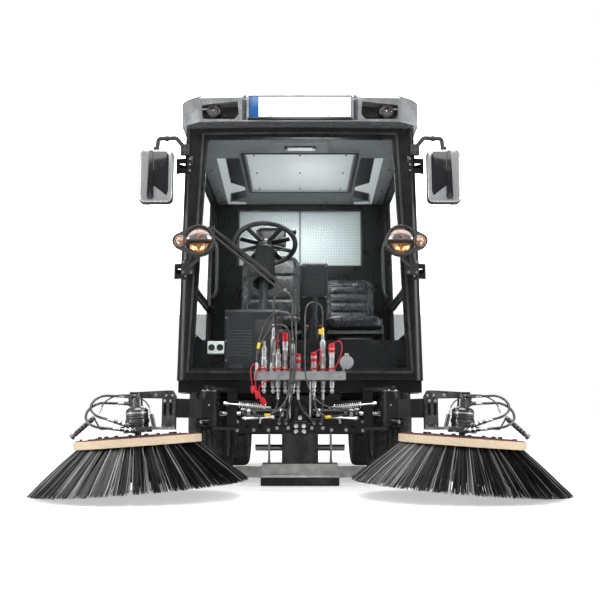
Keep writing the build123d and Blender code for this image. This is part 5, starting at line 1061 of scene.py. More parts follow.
@dataclass
class NoseHoses:
    """Hoses from the couplers down to the manifold and the swing cylinders, with their ends and ties."""

    row_front: float = -1455.0
    row_back: float = -1425.0
    foot: float = 454.0
    rise: float = 565.0
    valve_y: float = -1343.0
    swing_y: float = -1339.0
    swing_z: float = 364.0
    near_x: float = 214.0
    far_x: float = 268.0

    def routes(self) -> tuple:
        """Name, route in millimetres, diameter and length of every hose and cable on the nose."""
        tall = [(-124, self.row_back, 748), (-124, self.row_back, 826),
                *over_loop((-124, -1427), (-34, -1443), 930), (-36, -1462, 830), (-36, -1484, 756),
                (-31, -1502, 690), (-30, -1503, 600), (-34, -1503, 520), (-48, -1500, 448),
                (-84, -1488, 388), (-140, -1466, 352), (-196, -1448, 347), (-244, -1424, 354),
                (-self.far_x, -1381, self.swing_z), (-self.far_x, self.swing_y, self.swing_z)]
        outer = [(-200, -1466, self.rise), (-200, -1466, 632), (-183, -1468, 715),
                 *over_loop((-160, -1470), (-18, -1491), 828), (-19, -1492, 715), (-20, -1491, 640),
                 (-24, -1490, 560), (-31, -1488, 484), (-44, -1476, 415), (-58, -1448, 360),
                 (-66, -1396, 318), (-66, self.valve_y, 318)]
        inner = [(-196, -1440, self.rise), (-196, -1440, 620), (-179, -1443, 687),
                 *over_loop((-150, -1446), (-46, -1476), 770), (-43, -1486, 672), (-40, -1489, 600),
                 (-44, -1489, 530), (-52, -1485, 462), (-70, -1470, 402), (-92, -1442, 350),
                 (-98, -1392, 318), (-98, self.valve_y, 318)]
        cable = [(-133, -1466, self.rise), (-133, -1466, 618), (-124, -1470, 680),
                 *over_loop((-112, -1472), (-32, self.row_front), 745), (-32, self.row_front, 681)]
        right = [(106, self.row_back, 731), (106, self.row_back, 795),
                 *over_loop((106, -1432), (26, -1466), 877), (23, -1478, 790), (24, -1489, 720),
                 (22, -1491, 650), (22, -1492, 575), (30, -1489, 505), (52, -1482, 446), (92, -1468, 408),
                 (146, -1448, 388), (204, -1432, 382), (248, -1410, 372), (self.far_x, -1376, self.swing_z),
                 (self.far_x, self.swing_y, self.swing_z)]
        feed_right = [(64, self.row_front, self.foot), (64, self.row_front, 420), (72, -1454, 387),
                      (97, -1444, 358), (128, -1430, 347), (166, -1418, 349), (198, -1402, 356),
                      (self.near_x, -1373, self.swing_z), (self.near_x, self.swing_y, self.swing_z)]
        feed_left = [(-101, self.row_front, self.foot), (-101, self.row_front, 420), (-108, -1454, 386),
                     (-130, -1446, 359), (-164, -1432, 349), (-196, -1410, 354),
                     (-self.near_x, -1376, self.swing_z), (-self.near_x, self.swing_y, self.swing_z)]
        drop_in = [(-9, self.row_back, self.foot), (-9, self.row_back, 418), (9, -1428, 384),
                   (32, -1426, 356), (53, -1411, 334), (66, -1380, 318), (66, self.valve_y, 318)]
        drop_out = [(106, self.row_back, self.foot), (106, self.row_back, 420), (105, -1428, 386),
                    (103, -1421, 352), (100, -1400, 327), (98, -1372, 318), (98, self.valve_y, 318)]
        return (("hose_tall", tall, 8, 1068), ("hose_outer", outer, 9, 949), ("hose_inner", inner, 9, 822),
                ("cable_bank", cable, 6, 295), ("hose_right", right, 7, 938),
                ("hose_feed_right", feed_right, 9, 284), ("hose_feed_left", feed_left, 9, 255),
                ("hose_drop_in", drop_in, 9, 216), ("hose_drop_out", drop_out, 9, 192))

    def build(self) -> None:
        """Make every hose, crimp a ferrule on both its ends and tie the two bundles."""
        crimps = Shape()
        for name, route, diameter, length in self.routes():
            hose = Hose(name, metres(route), diameter / 1000, length / 1000, "root", "front_hoses",
                        "medium" if diameter < 7 else "stiff")
            hose.build()
            hose.crimp(crimps)
        crimps.piece("hose_ferrules", "root", Finish.STEEL)
        ties = Shape()
        for x, y, z, wide, deep in ((-31, -1495, 690, 19, 14), (-32, -1496, 632, 19, 14),
                                    (-35, -1496, 560, 19, 14), (-40, -1494, 500, 22, 14),
                                    (24, -1489, 716, 7, 7), (22, -1492, 600, 7, 7)):
            ties.repeat(cable_tie(wide / 1000, deep / 1000), [place((x / 1000, y / 1000, z / 1000))])
        ties.piece("hose_ties", "root", Finish.PLASTIC)


def ferrule(radius: float) -> Shape:
    """Crimped sleeve with pressed rings and a hexagon, round a hose's end, from the origin along Z."""
    sleeve = Shape()
    r = radius + 0.0006
    big = radius + 0.0022
    outline = [(r * 0.6, -0.0002), (big, 0.0)]
    for ring in range(4):
        z = 0.004 + ring * 0.005
        outline += band(big, big - 0.0008, z, z + 0.0008, z + 0.0022, z + 0.003)
    outline += [(big, 0.026), (r, 0.028), (r * 0.98, 0.028)]
    sleeve.lathe(outline, 14)
    return sleeve


def cable_tie(wide: float, deep: float) -> Shape:
    """Band round a bundle in the XY plane, an ellipse of two half widths, with its buckle and cut tail."""
    tie = Shape()
    angle = np.linspace(0, TAU, 25)
    ring = np.column_stack([wide * np.cos(angle), deep * np.sin(angle), 0 * angle])
    tie.ribbon(ring, UP, 0.0045, 0.0012)
    tie.box((-0.003, -deep - 0.005, -0.0032), (0.003, -deep + 0.001, 0.0032), 0.0008, fine=False)
    tie.box((0.003, -deep - 0.004, -0.002), (0.012, -deep - 0.003, 0.002), 0.0004, fine=False)
    return tie


@dataclass
class HeadHoses:
    """The two hoses and the thin cable that loop outboard of each brush motor."""

    upper: tuple = ((800, -1688, 326), (837.1, -1689.3, 336.9), (873, -1690, 345), (911.5, -1664, 373),
                    (911.5, -1626, 412), (873, -1600, 440), (822, -1600, 436), (776, -1600, 436))
    lower: tuple = ((772, -1700, 291), (823, -1708.5, 295.3), (887, -1704, 302), (930, -1674, 333),
                    (930, -1630, 377), (887, -1600, 408), (830, -1600, 404), (776, -1600, 404))
    cable: tuple = ((645, -1662, 356), (653.3, -1662, 389), (676, -1676, 418), (716, -1692, 436),
                    (764, -1702, 440), (812, -1702, 428), (850, -1696, 402), (866, -1690, 360))

    def build(self) -> None:
        """Make them on both sides with their crimped ends."""
        for side, sign in SIDES:
            body = f"brush_head_{side}"
            crimps = Shape()
            for name, route, diameter, length in (("upper", self.upper, 11, 327),
                                                  ("lower", self.lower, 11, 401),
                                                  ("cable", self.cable, 6, 306)):
                points = metres([(sign * x, y, z) for x, y, z in route])
                hose = Hose(f"brush_{name}_hose_{side}", points, diameter / 1000, length / 1000, body,
                            f"brush_hoses_{side}", "medium" if diameter < 7 else "stiff")
                hose.build()
                hose.crimp(crimps)
            crimps.piece(f"brush_ferrules_{side}", body, Finish.STEEL)


# ------------------------------------------------------------------ brushes and wheels
@dataclass
class SweepingBrush:
    """One side brush: tufts of bristles, their sockets, the ring's felt and screws, and the disc's ribs."""

    side: str
    sign: float
    centre: tuple = (0.705, -1.625, 0.238)
    tilt: float = 4.0
    tufts: int = 36
    strands: int = 150
    tip_in: float = 0.350
    tip_out: float = 0.4735
    drop: float = 0.1995
    half_ring: float = 0.0165
    strand: float = 0.0014

    def seat(self) -> np.ndarray:
        """Matrix of the brush's own axes."""
        spin = Matrix.Rotation(math.radians(self.sign * self.tilt), 4, "Y")
        x, y, z = self.centre
        return np.array(Matrix.Translation((self.sign * x, y, z)) @ spin)

    def build(self) -> None:
        """Make the pieces of the brush."""
        body = f"brush_{self.side}"
        bristles = self.bristles().piece(f"bristles_{self.side}", body, Finish.BRISTLE, 80.0, 0.0)
        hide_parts(f"brush_bristles_{self.side}")
        seat = self.seat()
        felt = Shape()
        height = self.half_ring
        felt.lathe([(0.2165, height - 0.0005), (0.262, height - 0.0005), (0.2655, height + 0.001),
                    (0.2655, height + 0.003), (0.262, height + 0.0045), (0.2165, height + 0.0045)], 96,
                   seat)
        felt.piece(f"brush_felt_{self.side}", body, Finish.RED_RIM)
        sockets = Shape()
        hole = Shape().lathe([(0.0062, -0.0008), (0.0072, 0.0), (0.0072, 0.0008), (0.0055, 0.0012),
                              (0.0, 0.0008)], 8)
        down = seat @ turned(180.0, "X")
        for radius, start in ((0.172, 0.0), (0.205, 5.0), (0.238, 0.0)):
            sockets.repeat(hole, ring_places(self.tufts, radius, down, height, start))
        sockets.piece(f"brush_tuft_sockets_{self.side}", body, Finish.PLASTIC)
        screws = Shape().repeat(socket_screw(0.007), ring_places(8, 0.243, seat, height + 0.0045, 11.25))
        screws.piece(f"brush_ring_screws_{self.side}", body, Finish.DARK_STEEL)
        plates = Shape()
        for index in range(4):
            spin = turned(90.0 * index)
            plates.box((0.105, -0.012, 0.0245), (0.150, 0.012, 0.0275), 0.001, seat @ spin)
        plates.lathe([(0.055, 0.0245), (0.098, 0.0245), (0.098, 0.0262), (0.090, 0.0275), (0.062, 0.0275),
                      (0.055, 0.0262)], 64, seat)
        plates.piece(f"brush_disc_stiffeners_{self.side}", body, Finish.DARK_STEEL)

    def bristles(self) -> Shape:
        """Strands that run from the ring to the ground.

        A strand's radius and height go from its socket to its tip, bowed by a sine. Its angle is its tuft's
        middle plus a spread that widens towards the tip and a small lean, kept within the tuft's share.
        """
        rng = np.random.default_rng(7 if self.sign > 0 else 8)
        count = self.tufts * self.strands
        tuft = np.repeat(np.arange(self.tufts), self.strands)
        across = rng.uniform(-1.0, 1.0, count)
        depth = rng.uniform(0.0, 1.0, count)
        pitch = TAU / self.tufts
        middle = tuft * pitch
        lean = rng.normal(0.0, 0.012, count)[:, None]
        steps = np.array([0.0, 0.3, 0.65, 1.0])[None, :]
        r_root = (0.164 + depth * 0.098)[:, None]
        r_tip = (self.tip_in + depth * (self.tip_out - self.tip_in) - rng.uniform(0, 0.006, count))[:, None]
        r_tip = np.minimum(r_tip, self.tip_out)
        z_root = np.full((count, 1), -self.half_ring + 0.001)
        bottom = np.interp(depth, [0.0, 0.8, 1.0], [-0.190, -0.2005, -0.1955])
        z_tip = (bottom + np.abs(rng.normal(0.0, 0.0035, count)))[:, None]
        z_tip = np.maximum(z_tip, -self.drop - 0.0012)
        bow = np.sin(math.pi * steps)
        radius = r_root + (r_tip - r_root) * steps + 0.006 * bow * rng.uniform(-0.4, 1.0, count)[:, None]
        height = z_root + (z_tip - z_root) * steps
        root_spread = 0.40 * pitch
        tip_spread = 0.405 * pitch
        spread = across[:, None] * (root_spread + (tip_spread - root_spread) * steps)
        angle = middle[:, None] + spread + lean * steps ** 2
        limit = 0.44 * pitch
        angle = middle[:, None] + np.clip(angle - middle[:, None], -limit, limit)
        centre = np.stack([radius * np.cos(angle), radius * np.sin(angle), height], axis=2)
        along = np.gradient(centre, axis=1)
        along /= np.linalg.norm(along, axis=2, keepdims=True)
        tangent = np.stack([-np.sin(angle), np.cos(angle), 0 * angle], axis=2)
        second = np.cross(along, tangent)
        thick = self.strand * np.array([1.0, 1.0, 0.95, 0.7])[None, :, None, None]
        turn = np.arange(3) * TAU / 3
        ring = tangent[:, :, None] * np.cos(turn)[:, None] + second[:, :, None] * np.sin(turn)[:, None]
        # Strands along a tuft's two edges are thicker and pale: a painted highlight.
        painted_highlight_strand = np.abs(across) > 0.90
        stout = np.where(painted_highlight_strand, 1.5, 1.0)[:, None, None, None]
        points = centre[:, :, None] + thick * stout * ring
        shape = Shape()
        per_strand = 12
        number = np.arange(count * per_strand).reshape(count, 4, 3)
        here, above = number[:, :-1], number[:, 1:]
        quads = np.stack([here, np.roll(here, -1, axis=2), np.roll(above, -1, axis=2), above],
                         axis=3).reshape(-1, 4)
        ends = number[:, -1]
        tone = np.where(rng.random(count) < 0.14, rng.uniform(0.75, 1.0, count),
                        rng.uniform(0.0, 0.7, count))
        tone = np.where(painted_highlight_strand, rng.uniform(0.93, 1.0, count), tone)
        flat = moved(points.reshape(-1, 3), self.seat())
        return shape.add(flat, [quads, ends], np.repeat(tone, per_strand))


@dataclass
class TyreDressing:
    """Tread and walls of one tyre, and the nuts, valve and balance weights of its wheel."""

    name: str
    body: str
    centre: tuple
    outward: float
    radius: float = 0.330
    width: float = 0.205
    rim: float = 0.190
    blocks: int = 40
    disc_face: float = 0.022

    def seat(self) -> np.ndarray:
        """Matrix whose Z axis points outward along the axle."""
        return place(self.centre, (self.outward, 0.0, 0.0))

    def build(self) -> None:
        """Make the tyre and what is fixed to its wheel."""
        tyre = self.rubber().piece(f"tyre_{self.name}_rubber", self.body, Finish.TYRE, 28.0)
        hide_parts(f"tyre_{self.name}")
        seat = self.seat()
        fixings = Shape()
        fixings.repeat(self.nut(), ring_places(6, 0.070, seat, 0.002 + self.disc_face))
        fixings.piece(f"wheel_nuts_{self.name}", self.body, Finish.ZINC)
        valve = Shape()
        tilt = turned(20.0, "Y")
        stem = [(0.0, 0.0), (0.0052, 0.0), (0.0052, 0.009), (0.0036, 0.011), (0.0036, 0.026),
                (0.0045, 0.027), (0.0045, 0.036), (0.0034, 0.0375), (0.0, 0.0375)]
        valve.lathe(stem, 12, seat @ shifted((0.168, 0.0, self.disc_face + 0.003)) @ tilt)
        valve.piece(f"wheel_valve_{self.name}", self.body, Finish.PLASTIC)
        weights = Shape()
        for turn in (40.0, 215.0):
            arc = np.radians(np.linspace(turn, turn + 16.0, 9))
            path = np.column_stack([(self.rim - 0.0085) * np.cos(arc), (self.rim - 0.0085) * np.sin(arc),
                                    0 * arc + 0.074])
            weights.ribbon(moved(path, seat), tuple(seat[:3, 2]), 0.011, 0.003)
        weights.piece(f"wheel_weights_{self.name}", self.body, Finish.ZINC)

    @staticmethod
    def nut() -> Shape:
        """Wheel nut with a coned seat and a domed top."""
        nut = Shape()
        nut.lathe([(0.0, 0.0), (0.0125, 0.0), (0.0135, 0.004), (0.0105, 0.005)], 14)
        nut.lathe([(0.0105, 0.004), (0.0105, 0.014), (0.0088, 0.017), (0.0, 0.0175)], 6)
        return nut

    def rubber(self) -> Shape:
        """Ring of the tyre: a section turned round the axle, sunk where the tread's pattern asks.

        The pattern has three grooves that run round, zigzagged by a triangle wave of the angle, and slanted
        cuts between blocks. A point's depth is the greater of the two.
        """
        per_block = 6
        steps = self.blocks * per_block
        tread_edge = 0.0528
        half = self.width / 2
        bead = half - 0.022
        across = np.array([-0.0525, -0.047, -0.0405, -0.034, -0.0335, -0.0265, -0.026, -0.015, -0.0055,
                           -0.005, 0.002, 0.0025, 0.012, 0.0205, 0.021, 0.028, 0.0285, 0.040, 0.047,
                           0.0525])
        wall = [(self.rim, -bead + 0.004), (self.rim + 0.003, -bead - 0.002),
                (self.rim + 0.012, -bead - 0.001), (self.rim + 0.016, -bead - 0.006),
                (self.rim + 0.024, -bead - 0.011), (self.rim + 0.0255, -bead - 0.0118),
                (self.rim + 0.045, -half + 0.005), (self.rim + 0.062, -half),
                (self.rim + 0.064, -half - 0.0002), (self.rim + 0.080, -half),
                (self.rim + 0.100, -half + 0.003), (self.rim + 0.110, -half + 0.006),
                (self.radius - 0.016, -half + 0.012), (self.radius - 0.011, -half + 0.016),
                (self.radius - 0.005, -half + 0.027), (self.radius - 0.0015, -half + 0.040)]
        low = np.array(wall)
        high = low[::-1] * np.array([1.0, -1.0])
        tread = np.column_stack([np.full(len(across), self.radius), across])
        section = np.concatenate([low, tread, high])
        angle = np.arange(steps) * TAU / steps
        phase = (np.arange(steps) % per_block) / per_block
        zigzag = np.abs(phase - 0.5) * 4.0 - 1.0
        height = section[:, 1][:, None] + 0 * angle[None, :]
        radius = section[:, 0][:, None] + 0 * angle[None, :]
        shift = 0.0022 * zigzag[None, :]
        grooves = np.zeros_like(height)
        for middle in (-0.030, -0.0015, 0.0245):
            grooves = np.maximum(grooves, (np.abs(height - middle) < 0.0038).astype(float))
        on_tread = np.abs(height) < tread_edge
        cut_place = (phase[None, :] + height / 0.05) % 1.0
        cuts = (cut_place < 0.17) & on_tread & (np.abs(height + 0.0015) > 0.006)
        shoulder = (np.abs(height) >= tread_edge) & (section[:, 0][:, None] > self.radius - 0.020)
        lug = (phase[None, :] < 0.34) & shoulder
        depth = np.maximum(grooves * on_tread * 0.0075, cuts * 0.006)
        depth = np.maximum(depth, lug * 0.0045)
        radius = radius - depth
        height = height + shift * on_tread
        height = np.where(lug, height * 0.985, height)
        points = np.stack([radius * np.cos(angle), radius * np.sin(angle), height], axis=2)
        return Shape().grid(moved(points.reshape(-1, 3), self.seat()).reshape(points.shape), around=True,
                            along=True)


# ------------------------------------------------------------------ seats
@dataclass
class Pad:
    """One seat pad: a rounded form swollen by a cloth simulation, with piping and sewn channels."""

    name: str
    node: str
    low: tuple
    high: tuple
    lean: float = 0.0
    channels: tuple = ()
    narrow: float = 0.0
    fill: float = 0.8

    def build(self) -> None:
        """Make the pad, its piping and its seams."""
        pad = self.form()
        pad = swell(pad, 0.024)
        self.shape(pad)
        pad.name = self.name
        pad.data.name = self.name
        for polygon in pad.data.polygons:
            polygon.use_smooth = True
        pad.data.materials.clear()
        pad.data.materials.append(Finish.VINYL.get())
        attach(pad, "root")
        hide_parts(self.node)
        self.piping(pad)

    def size(self) -> tuple[np.ndarray, np.ndarray]:
        """Middle and half sizes."""
        low, high = np.array(self.low), np.array(self.high)
        return (low + high) / 2, (high - low) / 2

    def form(self) -> bpy.types.Object:
        """Closed form on a cube's grid.

        A point of the unit cube is pulled to the unit ball of a seventh-power norm, which rounds its edges,
        and its sides draw in by a cosine half way along each edge.
        """
        middle, half = self.size()
        half = half - np.array([0.006, 0.005, 0.007])
        count, power = 22, 7.0
        line = np.linspace(-1.0, 1.0, count)
        shape = Shape()
        for axis in range(3):
            u, v = np.meshgrid(line, line, indexing="ij")
            for sign in (-1.0, 1.0):
                cube = np.zeros((count, count, 3))
                cube[..., (axis + 1) % 3], cube[..., (axis + 2) % 3], cube[..., axis] = u, v, sign
                norm = (np.abs(cube) ** power).sum(axis=2, keepdims=True) ** (1 / power)
                ball = cube / norm
                drawn = 1.0 - 0.018 * np.cos(ball * math.pi / 2)
                ball[..., 0] *= drawn[..., 2]
                shape.grid(middle + ball * half)
        mesh = bpy.data.meshes.new(self.name)
        points = np.concatenate(shape.points)
        mesh.from_pydata(points.tolist(), [], np.concatenate(shape.faces).tolist())
        work = bmesh.new()
        work.from_mesh(mesh)
        bmesh.ops.remove_doubles(work, verts=work.verts, dist=1e-5)
        bmesh.ops.recalc_face_normals(work, faces=work.faces)
        work.to_mesh(mesh)
        work.free()
        made = bpy.data.objects.new(self.name, mesh)
        bpy.context.collection.objects.link(made)
        return made

    def shape(self, pad: bpy.types.Object) -> None:
        """Sink the seams, then narrow and lean the form.

        A channel's groove is a narrow bell curve of the distance from its line. The point moves inward
        along its normal by the bell's height. The lean moves a point back in proportion to its height.
        """
        mesh = pad.data
        count = len(mesh.vertices)
        points = np.empty(count * 3)
        mesh.vertices.foreach_get("co", points)
        points = points.reshape(-1, 3)
        normal = np.empty(count * 3)
        mesh.vertices.foreach_get("normal", normal)
        normal = normal.reshape(-1, 3)
        middle, half = self.size()
        local = (points - middle) / half
        sink = np.zeros(count)
        for axis, place_on, depth, width in self.channels:
            away = (local[:, axis] - place_on) * half[axis]
            sink = np.maximum(sink, depth * np.exp(-(away / width) ** 2))
        facing = np.abs(normal[:, 2]) if self.lean == 0 else np.clip(-normal[:, 1], 0, 1)
        rim = np.exp(-((np.abs(local[:, 0]) - 0.80) * half[0] / 0.006) ** 2) * 0.005 * facing
        points = points - normal * np.maximum(sink * facing, rim)[:, None]
        share = (points[:, 2] - self.low[2]) / (self.high[2] - self.low[2])
        points[:, 0] = middle[0] + (points[:, 0] - middle[0]) * (1 - self.narrow * share ** 2)
        points[:, 1] += self.lean * share
        mesh.vertices.foreach_set("co", points.ravel())
        mesh.update()

    def piping(self, pad: bpy.types.Object) -> None:
        """Round piping along the pad's front edge loop, and rows of stitches beside it."""
        middle, half = self.size()
        turn = np.linspace(0, TAU, 121)
        corner = 6.0
        if self.lean == 0:
            u, v, w = 0, 1, 2
            level = 0.62
        else:
            u, v, w = 0, 2, 1
            level = -0.66
        reach = (np.abs(np.cos(turn)) ** corner + np.abs(np.sin(turn)) ** corner) ** (-1 / corner)
        ring = np.zeros((len(turn), 3))
        edge = 0.958
        ring[:, u] = middle[u] + half[u] * edge * reach * np.cos(turn)
        ring[:, v] = middle[v] + half[v] * edge * reach * np.sin(turn)
        ring[:, w] = middle[w] + half[w] * level
        tree = BVHTree.FromObject(pad, bpy.context.evaluated_depsgraph_get())
        share = (ring[:, 2] - self.low[2]) / (self.high[2] - self.low[2])
        ring[:, 0] = middle[0] + (ring[:, 0] - middle[0]) * (1 - self.narrow * share ** 2)
        ring[:, 1] += self.lean * share
        hits = [tree.find_nearest(Vector(point)) for point in ring]
        snug = np.array([list(hit[0] + hit[1] * 0.0008) for hit in hits])
        snug[-1] = snug[0]
        cord = Shape().tube(smooth_loop(snug), 0.0032, 8)
        cord.piece(self.name + "_piping", "root", Finish.VINYL, 60.0)
        stitches = Shape()
        line = smooth_loop(snug)
        inward = middle - line
        inward[:, w] = 0.0
        inward /= np.linalg.norm(inward, axis=1, keepdims=True)
        stitch = Shape().box((-0.0035, -0.0008, -0.0008), (0.0035, 0.0008, 0.0008), 0.0005, fine=False)
        spots = []
        for index in range(len(line) - 1):
            spot = line[index] + inward[index] * 0.011
            hit = tree.find_nearest(Vector(spot))
            along = Vector(line[index + 1] - line[index]).normalized()
            up = hit[1]
            side = up.cross(along).normalized()
            along = side.cross(up).normalized()
            matrix = Matrix((along, side, up)).transposed().to_4x4()
            spots.append(np.array(Matrix.Translation(hit[0] + up * 0.0004) @ matrix))
        stitches.repeat(stitch, spots)
        stitches.piece(self.name + "_stitches", "root", Finish.STITCH, 60.0)


def smooth_loop(points: np.ndarray) -> np.ndarray:
    """Closed line averaged with its neighbours twice, its last point on its first."""
    line = points[:-1]
    for _ in range(2):
        line = (np.roll(line, 1, axis=0) + 2 * line + np.roll(line, -1, axis=0)) / 4
    return np.concatenate([line, line[:1]])


def swell(pad: bpy.types.Object, cap: float) -> bpy.types.Object:
    """Swell a closed form with a short cloth simulation, its travel capped and then partly kept.

    Args:
        pad: The form; it is replaced.
        cap: Cap on a point's travel, in metres, before the kept share is taken.

    Returns:
        The swollen form, with no modifier left on it.
    """
    scene = bpy.context.scene
    frames = 20
    kept_share = 0.45
    remesh = pad.modifiers.new("remesh", "REMESH")
    remesh.mode = "VOXEL"
    remesh.voxel_size = 0.008
    start = bpy.data.meshes.new_from_object(pad.evaluated_get(bpy.context.evaluated_depsgraph_get()))
    pad.modifiers.clear()
    pad.data = start
    before = np.empty(len(start.vertices) * 3)
    start.vertices.foreach_get("co", before)
    cloth = pad.modifiers.new("cloth", "CLOTH")
    cloth.settings.use_pressure = True
    cloth.settings.uniform_pressure_force = 4.0
    cloth.settings.effector_weights.gravity = 0.0
    cloth.settings.quality = 5
    cloth.collision_settings.use_collision = False
    cloth.point_cache.frame_start = 1
    cloth.point_cache.frame_end = frames
    for step in range(1, frames + 1):
        scene.frame_set(step)
    blown = bpy.data.meshes.new_from_object(pad.evaluated_get(bpy.context.evaluated_depsgraph_get()))
    pad.modifiers.clear()
    after = np.empty(len(blown.vertices) * 3)
    blown.vertices.foreach_get("co", after)
    travel = (after - before).reshape(-1, 3)
    length = np.linalg.norm(travel, axis=1, keepdims=True)
    travel *= np.minimum(1.0, cap / np.maximum(length, 1e-9)) * kept_share
    blown.vertices.foreach_set("co", (before.reshape(-1, 3) + travel).ravel())
    blown.update()
    pad.data = blown
    scene.frame_set(1)
    return pad


@dataclass
class Seats:
    """Driver's and passenger's seats: cushions, backrests, headrest, rails, bellows and belt buckles."""

    front: float = -0.575
    back: float = -0.085
    low: float = 0.8433
    high: float = 0.930

    def build(self) -> None:
        """Make the pads and the hardware round them."""
        rib = 0.0065
        cushion_seams = ((1, -0.45, 0.008, 0.006), (1, 0.35, 0.008, 0.006))
        Pad("driver_cushion", "seat_cushions", (-0.400, self.front, self.low),
            (0.030, self.back - 0.008, self.high), channels=cushion_seams).build()
        Pad("passenger_cushion", "seat_cushions", (0.136, self.front, self.low),
            (0.494, self.back - 0.008, self.high), channels=cushion_seams).build()
        rows = tuple((2, place_on, 0.010, rib) for place_on in (-0.45, -0.15, 0.15, 0.45, 0.75))
        Pad("driver_backrest", "seat_backrests", (-0.392, self.back, self.low),
            (0.022, self.back + 0.1, 1.400), 0.070, ((2, -0.1, 0.009, rib), (2, 0.45, 0.009, rib)),
            0.05).build()
        Pad("passenger_backrest", "seat_backrests", (0.144, self.back, self.low),
            (0.486, self.back + 0.1, 1.240), 0.070, rows, 0.04).build()
        Pad("driver_headrest", "seat_backrests", (-0.290, 0.010, 1.430), (-0.080, 0.100, 1.585),
            channels=((2, 0.0, 0.0, rib),)).build()
        self.hardware()

    def hardware(self) -> None:
        """Headrest posts, slide rails, front levers, bellows, and the buckles with their release keys."""
        posts = Shape()
        for x in (-0.225, -0.145):
            posts.tube([(x, 0.050, 1.360), (x, 0.054, 1.400), (x, 0.055, 1.440)], 0.006, 10)
            posts.lathe(button(0.013, 0.006, 0.008, 0.009), 14,
                        place((x, 0.0535, 1.3985)))
        posts.piece("headrest_posts", "root", Finish.CHROME)
        frames = Shape()
        for x0, x1 in ((-0.400, 0.030), (0.136, 0.494)):
            middle = (x0 + x1) / 2
            for edge in (x0 + 0.055, x1 - 0.055):
                frames.box((edge - 0.018, -0.530, 0.8235), (edge + 0.018, 0.012, 0.8425), 0.003)
                frames.box((edge - 0.011, -0.520, 0.7535), (edge + 0.011, -0.110, 0.777), 0.002)
            frames.tube([(middle - 0.09, -0.520, 0.792), (middle - 0.088, -0.556, 0.792),
                         (middle - 0.07, -0.566, 0.792), (middle + 0.07, -0.566, 0.792),
                         (middle + 0.088, -0.556, 0.792), (middle + 0.09, -0.520, 0.792)], 0.005, 10)
            frames.box((x1 - 0.010, -0.180, 0.850), (x1 + 0.012, -0.050, 0.905), 0.010)
        frames.piece("seat_frames", "root", Finish.DARK_STEEL)
        folds = Shape()
        for x0, x1 in ((-0.400, 0.030), (0.136, 0.494)):
            lines = 14
            wave = (np.arange(lines) % 2) * 0.012
            height = np.linspace(0.7535, 0.824, lines)
            corner = np.array([(x0 + 0.062, -0.505), (x1 - 0.062, -0.505), (x1 - 0.062, -0.117),
                               (x0 + 0.062, -0.117)])
            middle = corner.mean(axis=0)
            rows = middle + (corner - middle)[None] * (1 - wave[:, None, None] / 0.16)
            points = np.concatenate([rows, np.repeat(height[:, None, None], 4, axis=1)], axis=2)
            folds.grid(points, around=True, caps=True)
        folds.piece("seat_bellows", "root", Finish.RUBBER)
        buckles = Shape()
        for x, tilt in ((0.050, -8.0), (-0.425, 8.0), (0.118, 6.0), (0.515, -6.0)):
            seat = place((x, -0.060, 0.880), (math.sin(math.radians(tilt)), -0.25, 1.0))
            buckles.box((-0.011, -0.010, 0.0), (0.011, 0.010, 0.052), 0.006, seat)
            buckles.box((-0.007, -0.004, -0.105), (0.007, 0.004, 0.004), 0.002, seat)
        buckles.piece("belt_buckles", "root", Finish.PLASTIC)
        tongues = Shape()
        for x, tilt in ((0.050, -8.0), (0.118, 6.0)):
            seat = place((x, -0.060, 0.880), (math.sin(math.radians(tilt)), -0.25, 1.0))
            tongues.box((-0.008, -0.0115, 0.040), (0.008, -0.009, 0.050), 0.001, seat)
        tongues.piece("belt_release", "root", Finish.RED_CAP)


